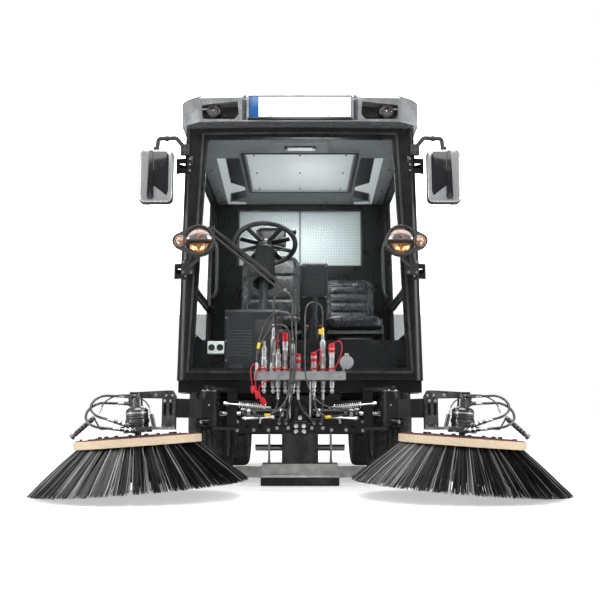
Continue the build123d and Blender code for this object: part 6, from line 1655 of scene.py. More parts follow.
# ------------------------------------------------------------------ inside the cab
@dataclass
class SteeringStation:
    """Steering wheel's grip and trim, its column's gaiter and stalks, pedals and the console's face."""

    centre: tuple = (-0.200, -0.575, 1.340)
    tilt: float = 31.0
    rim: float = 0.172
    grip: float = 0.0142

    def seat(self) -> np.ndarray:
        """Matrix whose Z axis runs up the column."""
        lean = math.radians(self.tilt)
        return place(self.centre, (0.0, math.sin(lean), math.cos(lean)))

    def build(self) -> None:
        """Make the pieces of the station."""
        seat = self.seat()
        rim = Shape()
        steps, sides = 144, 14
        u = np.arange(steps)[:, None] * TAU / steps
        v = np.arange(sides)[None, :] * TAU / sides
        swell_by = self.grip * (1 + 0.035 * np.cos(24 * u) * (np.cos(v) < 0.3))
        points = np.stack([(self.rim + swell_by * np.cos(v)) * np.cos(u),
                           (self.rim + swell_by * np.cos(v)) * np.sin(u), swell_by * np.sin(v)], axis=2)
        rim.grid(moved(points.reshape(-1, 3), seat).reshape(points.shape), around=True, along=True)
        rim.piece("steering_rim_grip", "steering_wheel", Finish.PLASTIC, 60.0)
        trim = Shape()
        trim.lathe([(0.0, 0.012), (0.030, 0.012), (0.034, 0.008), (0.040, 0.006), (0.0435, 0.0),
                    (0.0435, -0.006), (0.040, -0.010)], 40, seat)
        for angle in (20.0, 160.0, 235.0, 305.0):
            spin = turned(angle)
            trim.box((0.040, -0.0155, -0.0105), (0.150, 0.0155, -0.0015), 0.003, seat @ spin)
        knob = turned(160.0) @ shifted((self.rim, 0, 0.012))
        trim.lathe([(0.0, 0.0), (0.007, 0.0), (0.006, 0.012), (0.016, 0.016), (0.019, 0.026),
                    (0.016, 0.036), (0.0, 0.040)], 20, seat @ knob)
        trim.piece("steering_spoke_trim", "steering_wheel", Finish.GLOSS)
        gaiter = Shape()
        rings = 15
        z = np.linspace(-0.300, -0.060, rings * 4 + 1)
        turns = np.linspace(0, rings * TAU, len(z))
        ridge = 0.0505 + 0.0055 * np.cos(turns) + 0.006 * np.linspace(1.0, 0.0, len(z))
        gaiter.lathe(np.column_stack([ridge, z]), 36, seat)
        gaiter.piece("steering_gaiter", "root", Finish.RUBBER, 60.0)
        stalks = Shape()
        for sign in (-1.0, 1.0):
            arm = np.array([(sign * 0.046, -0.004, -0.052), (sign * 0.080, 0.0, -0.048),
                            (sign * 0.125, 0.0, -0.044)])
            stalks.tube(moved(arm, seat), np.array([0.0045, 0.0045, 0.0075]), 10)
        stalks.piece("steering_stalks", "root", Finish.PLASTIC)
        self.pedals()
        self.console()

    def pedals(self) -> None:
        """Ribbed rubber treads on the two pedals."""
        treads = Shape()
        slope = Vector((0.0, 0.075, 0.080)).normalized()
        face = Vector(LEFTWARD).cross(slope)
        for x in (-0.330, -0.160):
            base = Vector((x, -1.0065, 0.6000)) - face * 0.0068
            turn = Matrix((Vector(LEFTWARD), slope, face)).transposed().to_4x4()
            seat = np.array(Matrix.Translation(base) @ turn)
            for row in range(7):
                y = -0.048 + row * 0.016
                treads.box((-0.029, y - 0.0045, -0.003), (0.029, y + 0.0045, 0.003), 0.0015, seat, False)
        treads.piece("pedal_treads", "root", Finish.RUBBER)

    def console(self) -> None:
        """Grille, seams and screws on the console's face, and the switches and knobs on its top."""
        face = Shape()
        front = -1.0012
        for index in range(9):
            z = 0.660 + index * 0.016
            face.box((-0.370, front - 0.0012, z), (-0.250, front + 0.002, z + 0.007), 0.001, fine=False)
        for x in (-0.372, -0.118):
            face.box((x - 0.003, front - 0.001, 0.625), (x + 0.003, front + 0.002, 0.870), 0.001,
                     fine=False)
        face.box((-0.230, front - 0.0015, 0.780), (-0.130, front + 0.002, 0.850), 0.003)
        face.piece("console_seams", "root", Finish.PLASTIC)
        switches = Shape()
        for index in range(4):
            x = -0.352 + index * 0.040
            switches.box((x, -0.930, 0.9045), (x + 0.028, -0.886, 0.9105), 0.004)
        for index in range(3):
            switches.lathe([(0.0, 0.0), (0.014, 0.0), (0.014, 0.004), (0.0105, 0.006), (0.0095, 0.020),
                            (0.0, 0.021)], 24, place((-0.335 + index * 0.045, -0.850, 0.9045)))
        switches.piece("console_switches", "root", Finish.GLOSS)
        screws = Shape()
        spots = [place((x, front, z), FORWARD) for x in (-0.382, -0.108) for z in (0.640, 0.740, 0.860)]
        screws.repeat(socket_screw(0.005), spots)
        screws.piece("console_screws", "root", Finish.ZINC)


@dataclass
class ControlTerminal:
    """Bezel, keys, screen and screws of the terminal, and the joystick on the arm console."""

    centre: tuple = (0.082, -0.722, 1.100)
    pitch: float = 18.0

    def build(self) -> None:
        """Make the pieces; the screen's face looks back at the driver."""
        seat = Matrix.Translation(self.centre) @ Matrix.Rotation(math.radians(self.pitch), 4, "X")
        back = np.array(seat @ Matrix.Rotation(math.radians(-90.0), 4, "X"))
        front = np.array(seat @ Matrix.Rotation(math.radians(90.0), 4, "X"))
        bezel = Shape()
        for low, high in (((-0.066, -0.092), (0.066, -0.078)), ((-0.066, 0.020), (0.066, 0.030)),
                          ((-0.066, -0.092), (-0.054, 0.030)), ((0.054, -0.092), (0.066, 0.030))):
            bezel.box((*low, 0.0215), (*high, 0.0262), 0.002, back, False)
        for row in range(2):
            for column in range(4):
                x, y = -0.048 + column * 0.027, 0.044 + row * 0.022
                bezel.box((x, y, 0.0215), (x + 0.019, y + 0.014, 0.0260), 0.003, back, False)
        for row in range(8):
            y = -0.060 + row * 0.012
            bezel.box((-0.048, y, 0.0220), (0.048, y + 0.005, 0.0245), 0.001, front, False)
        bezel.piece("terminal_bezel", "root", Finish.PLASTIC)
        pane = Shape().box((-0.054, -0.080, 0.0220), (0.054, 0.021, 0.0238), 0.001, back)
        pane.piece("terminal_screen", "root", Finish.GLOSS)
        screws = Shape()
        corners = [(-0.060, -0.086, 0.0225), (0.060, -0.086, 0.0225), (-0.060, 0.086, 0.0225),
                   (0.060, 0.086, 0.0225)]
        screws.repeat(socket_screw(0.0035), [front @ shifted(spot) for spot in corners])
        screws.piece("terminal_screws", "root", Finish.ZINC)
        stick = Shape()
        seat = place((0.082, -0.560, 0.880), (0.0, -0.115, 1.0))
        stick.lathe([(0.026, 0.0), (0.030, 0.004), (0.024, 0.010), (0.027, 0.014), (0.020, 0.020),
                     (0.023, 0.024), (0.015, 0.030), (0.018, 0.034), (0.0125, 0.042)], 24, seat)
        stick.lathe([(0.0125, 0.060), (0.019, 0.070), (0.0215, 0.088), (0.018, 0.104), (0.021, 0.118),
                     (0.018, 0.130), (0.0, 0.134)], 24, seat)
        stick.piece("joystick_grip", "root", Finish.RUBBER, 50.0)


@dataclass
class Ceiling:
    """Hatch, bands of painted light and patches of painted shade, mirror with a painted reflection, and
    screws of the ceiling panel.
    """

    low: float = 1.786
    hatch: float = 0.300
    # Outlines of x and y, mirrored to both sides: bands of painted light, then patches of painted shade
    # beside them.
    PAINTED_LIGHT: ClassVar[tuple] = (((0.465, -0.778), (0.417, -0.778), (0.427, -0.288), (0.470, 0.220),
                                (0.484, 0.220)),
                               ((0.427, -0.288), (0.345, -0.190), (0.345, -0.130), (0.450, -0.051)),
                               ((0.472, 0.220), (0.456, 0.157), (0.360, 0.185), (0.366, 0.222),
                                (0.430, 0.224)))
    PAINTED_SHADE: ClassVar[tuple] = (((0.414, -0.778), (0.340, -0.786), (0.340, -0.200), (0.424, -0.295)),
                             ((0.443, -0.027), (0.345, -0.108), (0.347, 0.036), (0.448, 0.139)))

    def build(self) -> None:
        """Make the pieces under the panel."""
        rim = Shape()
        inner, outer = self.hatch + 0.006, self.hatch + 0.0245
        for sign in (-1.0, 1.0):
            rim.box((sign * (inner + outer) / 2 - 0.009, -0.900, 1.7735),
                    (sign * (inner + outer) / 2 + 0.009, -0.100, 1.7775), 0.0015)
        for y in (-0.892, -0.108):
            rim.box((-0.318, y - 0.009, 1.7735), (0.318, y + 0.009, 1.7775), 0.0015)
        rim.piece("hatch_rim_gasket", "root", Finish.PLASTIC)
        # The hatch's pane glows with its own colour: painted light from the sky above.
        pane = Shape().box((-0.2975, -0.8775, 1.7866), (0.2975, -0.1225, 1.7896), 0.001)
        pane.piece("hatch_pane", "root", Finish.HATCH)
        # Glowing pale slabs are painted light on the ceiling, and dark slabs beside them are painted shade.
        bright, dark = Shape(), Shape()
        for _, sign in SIDES:
            for shape, outlines, low in ((bright, self.PAINTED_LIGHT, 0.0024), (dark, self.PAINTED_SHADE, 0.0018)):
                for outline in outlines:
                    corners = [(sign * x, y) for x, y in outline]
                    after = corners[1:] + corners[:1]
                    turning = sum(p[0] * q[1] - q[0] * p[1] for p, q in zip(corners, after))
                    shape.slab(corners if turning > 0 else corners[::-1], self.low - low, self.low + 0.0006)
        bright.piece("ceiling_painted_light", "root", Finish.HATCH)
        dark.piece("ceiling_painted_shade", "root", Finish.TRIM)
        frame_shape = Shape().box((-0.084, -1.034, 1.7668), (0.084, -0.962, 1.7714), 0.0020)
        frame_shape.piece("cab_mirror_frame", "root", Finish.GLOSS)
        # The mirror's glass glows pale: a painted reflection.
        glass = Shape().box((-0.066, -1.022, 1.7652), (0.066, -0.974, 1.7672), 0.0009)
        glass.piece("cab_mirror_glass", "root", Finish.HATCH)
        screws = Shape()
        edges = ((0.520, -1.020), (0.520, -0.560), (0.520, -0.100), (0.520, 0.180), (0.180, 0.190))
        spots = [place((sign * x, y, self.low), DOWN) for sign in (-1.0, 1.0) for x, y in edges]
        spots += [place((x, y, 1.7866), DOWN)
                  for x in (-0.255, 0.0, 0.255) for y in (-0.835, -0.500, -0.165)]
        screws.repeat(socket_screw(0.006), spots)
        screws.piece("ceiling_screws", "root", Finish.PLASTIC)


@dataclass
class CabTrim:
    """Gaskets, hinge blocks, latches and grab rails of the cab, its socket box and the rear screen."""

    half: float = 0.618
    floor: float = 0.530
    taper: float = 1.04

    def wall(self, z: float, inset: float = 0.0) -> float:
        """Half width of the cab's outside at a height, less an inset."""
        return self.half - (z - self.floor) * math.tan(math.radians(self.taper)) - inset

    def build(self) -> None:
        """Make the pieces on the cab."""
        self.rear_screen()
        self.gaskets()
        for side, sign in SIDES:
            self.door(side, sign)
        self.hinge_screws()
        self.socket_box()

    def socket_box(self) -> None:
        """White double socket on the console's side, with two round wells in grey rings."""
        case = Shape().box((-0.478, -0.998, 0.672), (-0.3903, -0.958, 0.739), 0.006)
        case.piece("socket_box", "root", Finish.WHITE_BOX)
        wells = Shape()
        for x in (-0.4565, -0.4130):
            seat = place((x, -0.9975, 0.706), FORWARD)
            wells.lathe([(0.0, 0.0008), (0.0130, 0.0008), (0.0140, 0.0024), (0.0165, 0.0024),
                         (0.0172, 0.0012), (0.0172, -0.0010)][::-1], 28, seat)
        wells.piece("socket_box_wells", "root", Finish.TRIM)

    def rear_screen(self) -> None:
        """Perforated guard on the front of the hopper, and the bars of its frame."""
        sheet = Shape().box((-0.418, 0.3262, 1.352), (0.418, 0.3295, 1.768), 0.0015)
        sheet.piece("hopper_front_screen", "hopper", Finish.SCREEN)
        bars = Shape()
        for z in (1.352, 1.768):
            bars.box((-0.426, 0.3235, z - 0.010), (0.426, 0.3290, z + 0.010), 0.0015)
        for x in (-0.418, 0.0, 0.418):
            bars.box((x - 0.008, 0.3238, 1.352), (x + 0.008, 0.3288, 1.768), 0.0015)
        bars.piece("hopper_screen_frame", "hopper", Finish.SHELL_GREY)

    def gaskets(self) -> None:
        """Rubber lips round the windscreen and the rear window."""
        lip = Shape()
        low, high = self.half - 0.083 + 0.022, self.half - 0.140 + 0.022
        corners = [(-low, 0.568), (low, 0.568), (high, 1.804), (-high, 1.804)]
        for start, end in zip(corners, corners[1:] + corners[:1]):
            share = np.linspace(0.0, 1.0, 25)[:, None]
            flat = np.array(start) + (np.array(end) - np.array(start)) * share
            lean = (flat[:, 1] - self.floor) * math.tan(math.radians(self.taper))
            bow = 0.022 * (1 - np.minimum(1, np.abs(flat[:, 0]) / self.half) ** 2)
            y = -1.145 - bow + lean - 0.0065
            line = np.column_stack([flat[:, 0], y, flat[:, 1]])
            lip.ribbon(line, (0.3, 1.0, 0.2), 0.006, 0.012)
        lip.piece("screen_gasket", "root", Finish.RUBBER)
        rear = Shape()
        for y in (0.2655, 0.2785):
            for (x0, z0), (x1, z1) in frame_bars(0.425, 1.360, 1.760, 0.012, 0.012):
                rear.box((x0, y - 0.003, z0), (x1, y + 0.003, z1), 0.0025)
        rear.piece("rear_window_gasket", "root", Finish.RUBBER)

    def door(self, side: str, sign: float) -> None:
        """Glass lips, inside grab rail, outside latch and lock of one door."""
        body = f"door_{side}"
        lip = Shape()
        for z0, z1 in ((1.080, 1.740), (0.818, 1.030)):
            outline = [(-1.028, z0), (0.083, z0), (0.083, z1), (-1.028, z1)]
            for start, end in zip(outline, outline[1:] + outline[:1]):
                line = np.array([(sign * self.wall(z, 0.0135), y, z) for y, z in (start, end)])
                line = line[0] + (line[1] - line[0]) * np.linspace(0.0, 1.0, 9)[:, None]
                lip.ribbon(line, LEFTWARD, 0.010, 0.008)
        lip.piece(f"door_glass_gasket_{side}", body, Finish.RUBBER)
        rail = Shape()
        x = sign * (self.wall(1.30, 0.0) - 0.062)
        rail.tube([(x + sign * 0.030, 0.110, 1.13), (x + sign * 0.010, 0.104, 1.15), (x, 0.100, 1.19),
                   (x, 0.100, 1.45), (x + sign * 0.010, 0.104, 1.49), (x + sign * 0.026, 0.110, 1.51)],
                  0.011, 12)
        rail.piece(f"door_grab_rail_{side}", body, Finish.PLASTIC, 60.0)
        latch = Shape()
        face = self.wall(1.055, 0.0)
        low, high = sorted((sign * (face - 0.0005), sign * (face + 0.006)))
        latch.box((low, -0.055, 1.0385), (high, 0.085, 1.0715), 0.0028)
        latch.box((low, -0.030, 1.0435), (sign * (face + 0.0125) if sign > 0 else high, 0.060, 1.0575),
                  0.003)
        latch.piece(f"door_latch_{side}", body, Finish.PLASTIC)
        key = Shape().lathe(button(0.0095, 0.0025, 0.008, 0.0035), 20,
                            place((sign * (face + 0.006), 0.068, 1.055), (sign, 0.0, 0.0)))
        key.piece(f"door_lock_{side}", body, Finish.STEEL)

    def hinge_screws(self) -> None:
        """Two blocks with three screws each at every door hinge, on the front pillars."""
        blocks, heads = Shape(), Shape()
        for _, sign in SIDES:
            for z in (1.085, 1.640):
                x = sign * (self.wall(z, 0.0) - 0.030)
                y = -1.1405 + (z - self.floor) * math.tan(math.radians(self.taper))
                blocks.box((x - 0.016, y - 0.010, z - 0.047), (x + 0.016, y + 0.010, z + 0.047), 0.003)
                spots = [place((x, y - 0.010, z + step), FORWARD) for step in (-0.031, 0.0, 0.031)]
                heads.repeat(socket_screw(0.0072), spots)
        blocks.piece("hinge_blocks", "root", Finish.BLACK)
        heads.piece("hinge_screws", "root", Finish.ZINC)


# ------------------------------------------------------------------ the nose
@dataclass
class Couplers:
    """Sleeves, red caps with their straps, yellow tags and the socket's lid on the coupling bank."""

    tray_z: float = 0.551
    foot: float = 0.516
    all: tuple = ((-166, -1455, 694, 0), (-101, -1455, 656, 0), (-32, -1455, 681, 0), (64, -1455, 640, 1),
                  (147, -1455, 681, 1), (-124, -1425, 748, 0), (-69, -1425, 735, 1), (-9, -1425, 636, 1),
                  (106, -1425, 731, 0))

    def build(self) -> None:
        """Make the pieces on the bank."""
        sleeves, caps, rings, nuts = Shape(), Shape(), Shape(), Shape()
        for x, y, top, capped in self.all:
            x, y, top = x / 1000, y / 1000, top / 1000
            steps = np.linspace(self.tray_z + 0.012, top - (0.034 if capped else 0.012), 7)
            for low, high in zip(steps[:-1:2], steps[1::2]):
                sleeves.lathe(self.knurl(low, high, 0.0138), 24, place((x, y, 0.0)))
            nuts.lathe([(0.0, -0.001), (0.0165, -0.001), (0.0175, 0.001), (0.0175, 0.009), (0.0160, 0.0105),
                        (0.0, 0.0105)], 6, place((x, y, self.tray_z)))
            nuts.lathe([(0.0, -0.001), (0.0165, -0.001), (0.0172, 0.001), (0.0172, 0.008), (0.0, 0.0085)],
                       6, place((x, y, self.foot), DOWN))
            for z in (0.500, 0.484, 0.466):
                sleeves.lathe(band(0.0085, 0.0108, z - 0.004, z - 0.003, z + 0.003, z + 0.004), 16,
                              place((x, y, 0.0)))
            if capped:
                caps.lathe([(0.0142, -0.042), (0.0155, -0.040), (0.0155, -0.026), (0.0146, -0.024),
                            (0.0150, -0.010), (0.0138, 0.0), (0.0090, 0.0018), (0.0, 0.0018)], 24,
                           place((x, y, top)))
                caps.tube(self.strap((x, y, top + 0.001)), 0.0026, 8)
            rings.lathe(band(0.0150, 0.0172, 0.0, 0.0015, 0.0065, 0.008), 24,
                        place((x, y, self.tray_z + 0.011)))
        self.hanging_caps(caps)
        sleeves.piece("coupler_sleeves", "root", Finish.STEEL)
        nuts.piece("coupler_nuts", "root", Finish.ZINC)
        caps.piece("coupler_caps", "root", Finish.RED_CAP)
        rings.piece("coupler_rings", "root", Finish.RED_CAP)
        self.tags()
        self.socket()
        self.tray()

    @staticmethod
    def knurl(low: float, high: float, radius: float) -> np.ndarray:
        """Outline of a sleeve with eased ends and a groove at its middle."""
        middle = (low + high) / 2
        return np.array([(radius * 0.8, low), (radius, low + 0.001), (radius, middle - 0.0035),
                         (radius - 0.0011, middle - 0.002), (radius - 0.0011, middle + 0.002),
                         (radius, middle + 0.0035), (radius, high - 0.001), (radius * 0.8, high)])

    def strap(self, start: tuple) -> np.ndarray:
        """Loop of a dust cap's strap: it leaves the cap, bows outward and comes down to its ring."""
        x, y, z = start
        side = 1.0 if x > 0.03 else -1.0
        reach = 0.030 if x < 0.1 else 0.042
        drop = z - (self.tray_z + 0.016)
        share = np.linspace(0.0, 1.0, 26)
        bow = np.sin(share * math.pi) ** 0.8 * reach * side
        rise = 0.022 * np.sin(np.minimum(share * 3.2, math.pi))
        height = z + rise - drop * np.clip((share - 0.22) / 0.78, 0, 1) ** 1.15
        front = y - 0.006 * np.sin(share * math.pi) - 0.0135 * share
        return np.column_stack([x + bow + 0.010 * side * share, front, height])

    def hanging_caps(self, caps: Shape) -> None:
        """Caps that hang on their straps from the tray's left end."""
        straps = ([(-0.196, -1.462, 0.566), (-0.214, -1.474, 0.586), (-0.2255, -1.484, 0.560),
                   (-0.2230, -1.487, 0.520), (-0.216, -1.487, 0.487)],
                  [(-0.150, -1.470, 0.560), (-0.176, -1.484, 0.577), (-0.198, -1.492, 0.548),
                   (-0.203, -1.492, 0.500), (-0.196, -1.490, 0.462)],
                  [(-0.140, -1.470, 0.513), (-0.166, -1.486, 0.500), (-0.186, -1.492, 0.476),
                   (-0.184, -1.492, 0.450), (-0.176, -1.490, 0.432)])
        for line in straps:
            smooth = spline(np.array(line), 10)
            caps.tube(smooth, 0.0024, 8)
            end, before = smooth[-1], smooth[-6]
            caps.lathe([(0.0, 0.0), (0.0085, 0.0005), (0.0118, 0.004), (0.0122, 0.014), (0.0132, 0.0155),
                        (0.0132, 0.033), (0.0112, 0.034), (0.0105, 0.024), (0.0, 0.023)], 20,
                       place(tuple(end), tuple(end - before)))

    def tags(self) -> None:
        """Blank yellow tags on three of the hoses."""
        tags = Shape()
        for at, up in (((-0.1905, -1.4685, 0.672), (0.22, 0.0, 1.0)),
                       ((-0.148, -1.466, 0.3545), (-1.0, 0.25, 0.1)), ((0.106, -1.425, 0.742), UP),
                       ((0.128, -1.430, 0.3470), (1.0, 0.3, 0.0))):
            seat = place(at, up)
            tags.lathe(band(0.0050, 0.0068, -0.014, -0.0135, 0.0135, 0.014), 16, seat)
            tags.box((0.005, -0.0012, -0.012), (0.019, 0.0012, 0.012), 0.001, seat, False)
        tags.piece("hose_tags", "root", Finish.YELLOW)

    def socket(self) -> None:
        """Trailer socket: pins, sprung lid with its knuckle, and gaiter behind."""
        front, z = -1.466, 0.595
        lid = Shape()
        seat = place((0.215, front - 0.0015, z), FORWARD)
        lid.lathe([(0.0, 0.010), (0.018, 0.0095), (0.026, 0.008), (0.0305, 0.005), (0.0320, 0.0),
                   (0.0312, -0.004)], 40, seat)
        lid.box((-0.010, 0.028, -0.004), (0.010, 0.038, 0.007), 0.002, seat)
        lid.piece("socket_lid", "root", Finish.SHELL_GREY)
        spring = Shape()
        turn = np.linspace(0, 5 * TAU, 80)
        line = np.stack([np.linspace(-0.009, 0.009, len(turn)), 0.0365 + 0.0042 * np.cos(turn),
                         0.0095 + 0.0042 * np.sin(turn)], axis=1)
        spring.tube(moved(line, seat), 0.0009, 6)
        spring.piece("socket_spring", "root", Finish.STEEL)
        back = Shape()
        back.lathe([(0.030, 0.0), (0.0335, 0.002), (0.0335, 0.008), (0.0315, 0.010)], 36,
                   place((0.215, -1.408, z), BACKWARD))
        back.piece("socket_flange", "root", Finish.PLASTIC)

    def tray(self) -> None:
        """Bolts and folded lips of the tray."""
        bolts = Shape()
        spots = [place((x, -1.4805, 0.5335), FORWARD) for x in (-0.186, 0.186)]
        spots += [place((x, -1.440, self.tray_z)) for x in (-0.052, 0.040, 0.190)]
        bolts.repeat(hex_bolt(0.0065), spots)
        bolts.piece("tray_bolts", "root", Finish.ZINC)
        lip = Shape().box((-0.209, -1.4815, 0.5145), (0.209, -1.4795, 0.5175), 0.0009)
        lip.box((-0.209, -1.4815, 0.5490), (0.209, -1.4795, 0.5522), 0.0009)
        lip.piece("tray_lips", "root", Finish.SHELL_GREY)


def spline(points: np.ndarray, steps: int) -> np.ndarray:
    """Smooth line through points: cubic Hermite pieces, each slope half the chord round its point."""
    slope = np.gradient(points, axis=0)
    share = np.linspace(0.0, 1.0, steps, endpoint=False)[None, :, None]
    a, b = points[:-1, None], points[1:, None]
    m, n = slope[:-1, None], slope[1:, None]
    cubic = (a * (1 + 2 * share) * (1 - share) ** 2 + m * share * (1 - share) ** 2
             + b * share ** 2 * (3 - 2 * share) + n * share ** 2 * (share - 1))
    return np.concatenate([cubic.reshape(-1, 3), points[-1:]])


@dataclass
class NoseDetail:
    """Bolts, springs, rods and fittings on the front beam, the swing arms and the suction mouth."""

    beam_y: float = -1.2855
    pin: tuple = (0.420, -1.380)

    def build(self) -> None:
        """Make the pieces."""
        self.springs()
        self.beam()
        for side, sign in SIDES:
            self.arm(side, sign)
            self.head(side, sign)
        self.mouth()

    def springs(self) -> None:
        """Return springs on rods either side of the manifold, their end nuts and the T fittings below."""
        coils, rods = Shape(), Shape()
        for _, sign in SIDES:
            start = np.array([sign * 0.150, -1.338, 0.392])
            end = np.array([sign * 0.330, -1.352, 0.408])
            axis = (end - start) / np.linalg.norm(end - start)
            rods.tube([start - axis * 0.012, start, end, end + axis * 0.030], 0.0045, 10)
            turns = np.linspace(0, 11 * TAU, 230)
            side = np.cross(axis, [0.0, 0.0, 1.0])
            side /= np.linalg.norm(side)
            up = np.cross(axis, side)
            share = np.linspace(0.10, 0.72, len(turns))[:, None]
            coil = side * np.cos(turns)[:, None] + up * np.sin(turns)[:, None]
            line = start + (end - start) * share + 0.0118 * coil
            coils.tube(line, 0.0021, 7)
            for spot in (start + axis * 0.014, start + (end - start) * 0.75):
                rods.lathe([(0.0, -0.002), (0.0140, -0.002), (0.0145, 0.0), (0.0140, 0.002), (0.0, 0.002)],
                           20, place(tuple(spot), tuple(axis)))
            rods.lathe(collar(0.010, 0.010), 6, place(tuple(end + axis * 0.022), tuple(axis)))
            bar = [(sign * 0.128, -1.3565, 0.347), (sign * 0.186, -1.3565, 0.3445),
                   (sign * 0.262, -1.358, 0.3405)]
            rods.tube(bar, 0.0052, 10)
            rods.tube([(sign * 0.186, -1.3565, 0.3445), (sign * 0.186, -1.362, 0.330),
                       (sign * 0.188, -1.366, 0.318)], 0.0060, 10)
            for spot in bar:
                rods.lathe(collar(0.0088, 0.009), 6, place(spot, LEFTWARD))
        coils.piece("return_springs", "root", Finish.STEEL, 80.0)
        rods.piece("spring_rods", "root", Finish.STEEL)

    def beam(self) -> None:
        """Bolts on the beam, plugs and solenoids on the manifold, ring clamps on the barrels."""
        bolts = Shape()
        spots = [place((sign * x, self.beam_y, z), FORWARD) for sign in (-1.0, 1.0)
                 for x, z in ((0.150, 0.287), (0.220, 0.287), (0.300, 0.285), (0.300, 0.326))]
        spots += [place((sign * x, -1.3215, z), FORWARD) for sign in (-1.0, 1.0)
                  for x, z in ((0.056, 0.296), (0.108, 0.296))]
        bolts.repeat(hex_bolt(0.0085), spots)
        bolts.piece("beam_bolts", "root", Finish.ZINC)
        plugs = Shape()
        for x, z in ((-0.018, 0.280), (0.018, 0.280), (-0.018, 0.306), (0.018, 0.306), (0.0, 0.344)):
            plugs.lathe([(0.0, -0.001), (0.0105, -0.001), (0.0112, 0.001), (0.0112, 0.004),
                         (0.0075, 0.0045), (0.0075, 0.010), (0.0, 0.0105)], 6,
                        place((x, -1.3312, z), FORWARD))
        plugs.piece("manifold_plugs", "root", Finish.STEEL)
        coils = Shape()
        for x in (-0.0175, 0.0175):
            seat = place((x, -1.308, 0.3605))
            coils.lathe([(0.0, 0.0), (0.0125, 0.0), (0.0135, 0.002), (0.0135, 0.026), (0.0120, 0.029),
                         (0.0055, 0.029), (0.0055, 0.035), (0.0, 0.036)], 20, seat)
            coils.box((-0.009, -0.024, 0.006), (0.009, -0.012, 0.022), 0.002, seat)
        coils.piece("manifold_coils", "root", Finish.PLASTIC)
        bands = Shape()
        for _, sign in SIDES:
            for x in (0.087, 0.244):
                ring = band(0.0222, 0.0238, -0.009, -0.008, 0.008, 0.009)
                bands.lathe(ring, 32, place((sign * x, -1.295, 0.364), LEFTWARD))
                bands.box((sign * x - 0.007, -1.3225, 0.358), (sign * x + 0.007, -1.3150, 0.370), 0.002,
                          fine=False)
            bands.lathe(band(0.0222, 0.0262, -0.0115, -0.0105, 0.0105, 0.0115), 6,
                        place((sign * 0.270, -1.295, 0.364), LEFTWARD))
        bands.piece("barrel_bands", "root", Finish.ZINC)

    def arm(self, side: str, sign: float) -> None:
        """Grease nipples, pivot bolt rings, weld beads and slide bolt heads on one swing arm."""
        body = f"brush_arm_{side}"
        x, y = self.pin
        metal = Shape()
        metal.lathe([(0.0235, -0.0005), (0.0400, -0.0005), (0.0415, 0.001), (0.0415, 0.003),
                     (0.0235, 0.0035)], 40, place((sign * x, y, 0.465)))
        metal.repeat(socket_screw(0.0062), ring_places(6, 0.0325, place((sign * x, y, 0.465)), 0.003, 15.0))
        metal.lathe([(0.0, 0.0), (0.0042, 0.0), (0.0042, 0.004), (0.0028, 0.0055), (0.0034, 0.0085),
                     (0.0, 0.0105)], 10, place((sign * x, y - 0.0437, 0.400), FORWARD))
        for bolt_x in (0.572, 0.598):
            metal.repeat(hex_bolt(0.0072), [place((sign * bolt_x, -1.5962, 0.415), FORWARD)])
        metal.lathe(button(0.0085, 0.003, 0.0065, 0.004), 6,
                    place((sign * 0.456, y - 0.0642, 0.323), FORWARD))
        metal.piece(f"arm_fasteners_{side}", body, Finish.ZINC)
        beads = Shape()
        for z in (0.3445, 0.4265):
            turn = np.radians(np.linspace(-70, 25, 40))
            wobble = 0.0448 + 0.0006 * np.cos(np.arange(40) * 2.1)
            line = np.column_stack([sign * (x + wobble * np.cos(turn)), y + wobble * np.sin(turn),
                                    np.full(40, z)])
            beads.tube(line, 0.0024 + 0.0005 * np.cos(np.arange(40) * 1.7), 7)
        beads.piece(f"arm_weld_beads_{side}", body, Finish.BLACK, 80.0)

    def head(self, side: str, sign: float) -> None:
        """Bolts, port adaptors, motor screws and ribs, and the hose clamp on one lifting head."""
        body = f"brush_head_{side}"
        bolts = Shape()
        for x, z in ((0.566, 0.440), (0.594, 0.440), (0.560, 0.304), (0.600, 0.304)):
            bolts.repeat(hex_bolt(0.0058), [place((sign * x, -1.5863, z), FORWARD)])
        for x, y in ((0.640, -1.670), (0.756, -1.676), (0.752, -1.590), (0.655, -1.600)):
            bolts.repeat(hex_bolt(0.0062), [place((sign * x, y, 0.3022))])
        for x, z in ((0.640, 0.441), (0.724, 0.441)):
            bolts.repeat(hex_bolt(0.0066), [place((sign * x, -1.5863, z), FORWARD)])
        bolts.piece(f"head_bolts_{side}", body, Finish.ZINC)
        spin = Matrix.Rotation(math.radians(sign * 4.0), 4, "Y")
        seat = np.array(Matrix.Translation((sign * 0.705, -1.625, 0.238)) @ spin)
        metal = Shape()
        metal.repeat(socket_screw(0.0064), ring_places(4, 0.0405, seat, 0.1455, 45.0))
        metal.lathe(band(0.0482, 0.0494, 0.0555, 0.0560, 0.0620, 0.0625), 40, seat)
        metal.lathe(band(0.0482, 0.0494, 0.1205, 0.1210, 0.1270, 0.1275), 40, seat)
        for start, end in (((0.742, -1.686, 0.309), (0.800, -1.688, 0.326)),
                           ((0.712, -1.690, 0.286), (0.772, -1.700, 0.291))):
            a = np.array([sign * start[0], start[1], start[2]])
            b = np.array([sign * end[0], end[1], end[2]])
            axis = tuple(b - a)
            for share, radius in ((0.30, 0.0122), (0.62, 0.0112)):
                metal.lathe(collar(radius, 0.005, 0.0015), 6, place(tuple(a + (b - a) * share), axis))
        metal.piece(f"motor_fittings_{side}", body, Finish.STEEL)
        ribs = Shape()
        for index in range(5):
            height = 0.068 + index * 0.010
            ribs.lathe(band(0.0476, 0.0496, height, height + 0.0014, height + 0.0034, height + 0.0048),
                       40, seat)
        ribs.piece(f"motor_ribs_{side}", body, Finish.CAST)
        clamp = Shape().box((0.744 if sign > 0 else -0.756, -1.6135, 0.4135),
                            (0.756 if sign > 0 else -0.744, -1.5865, 0.4265), 0.003)
        clamp.piece(f"hose_clamp_{side}", body, Finish.PLASTIC)

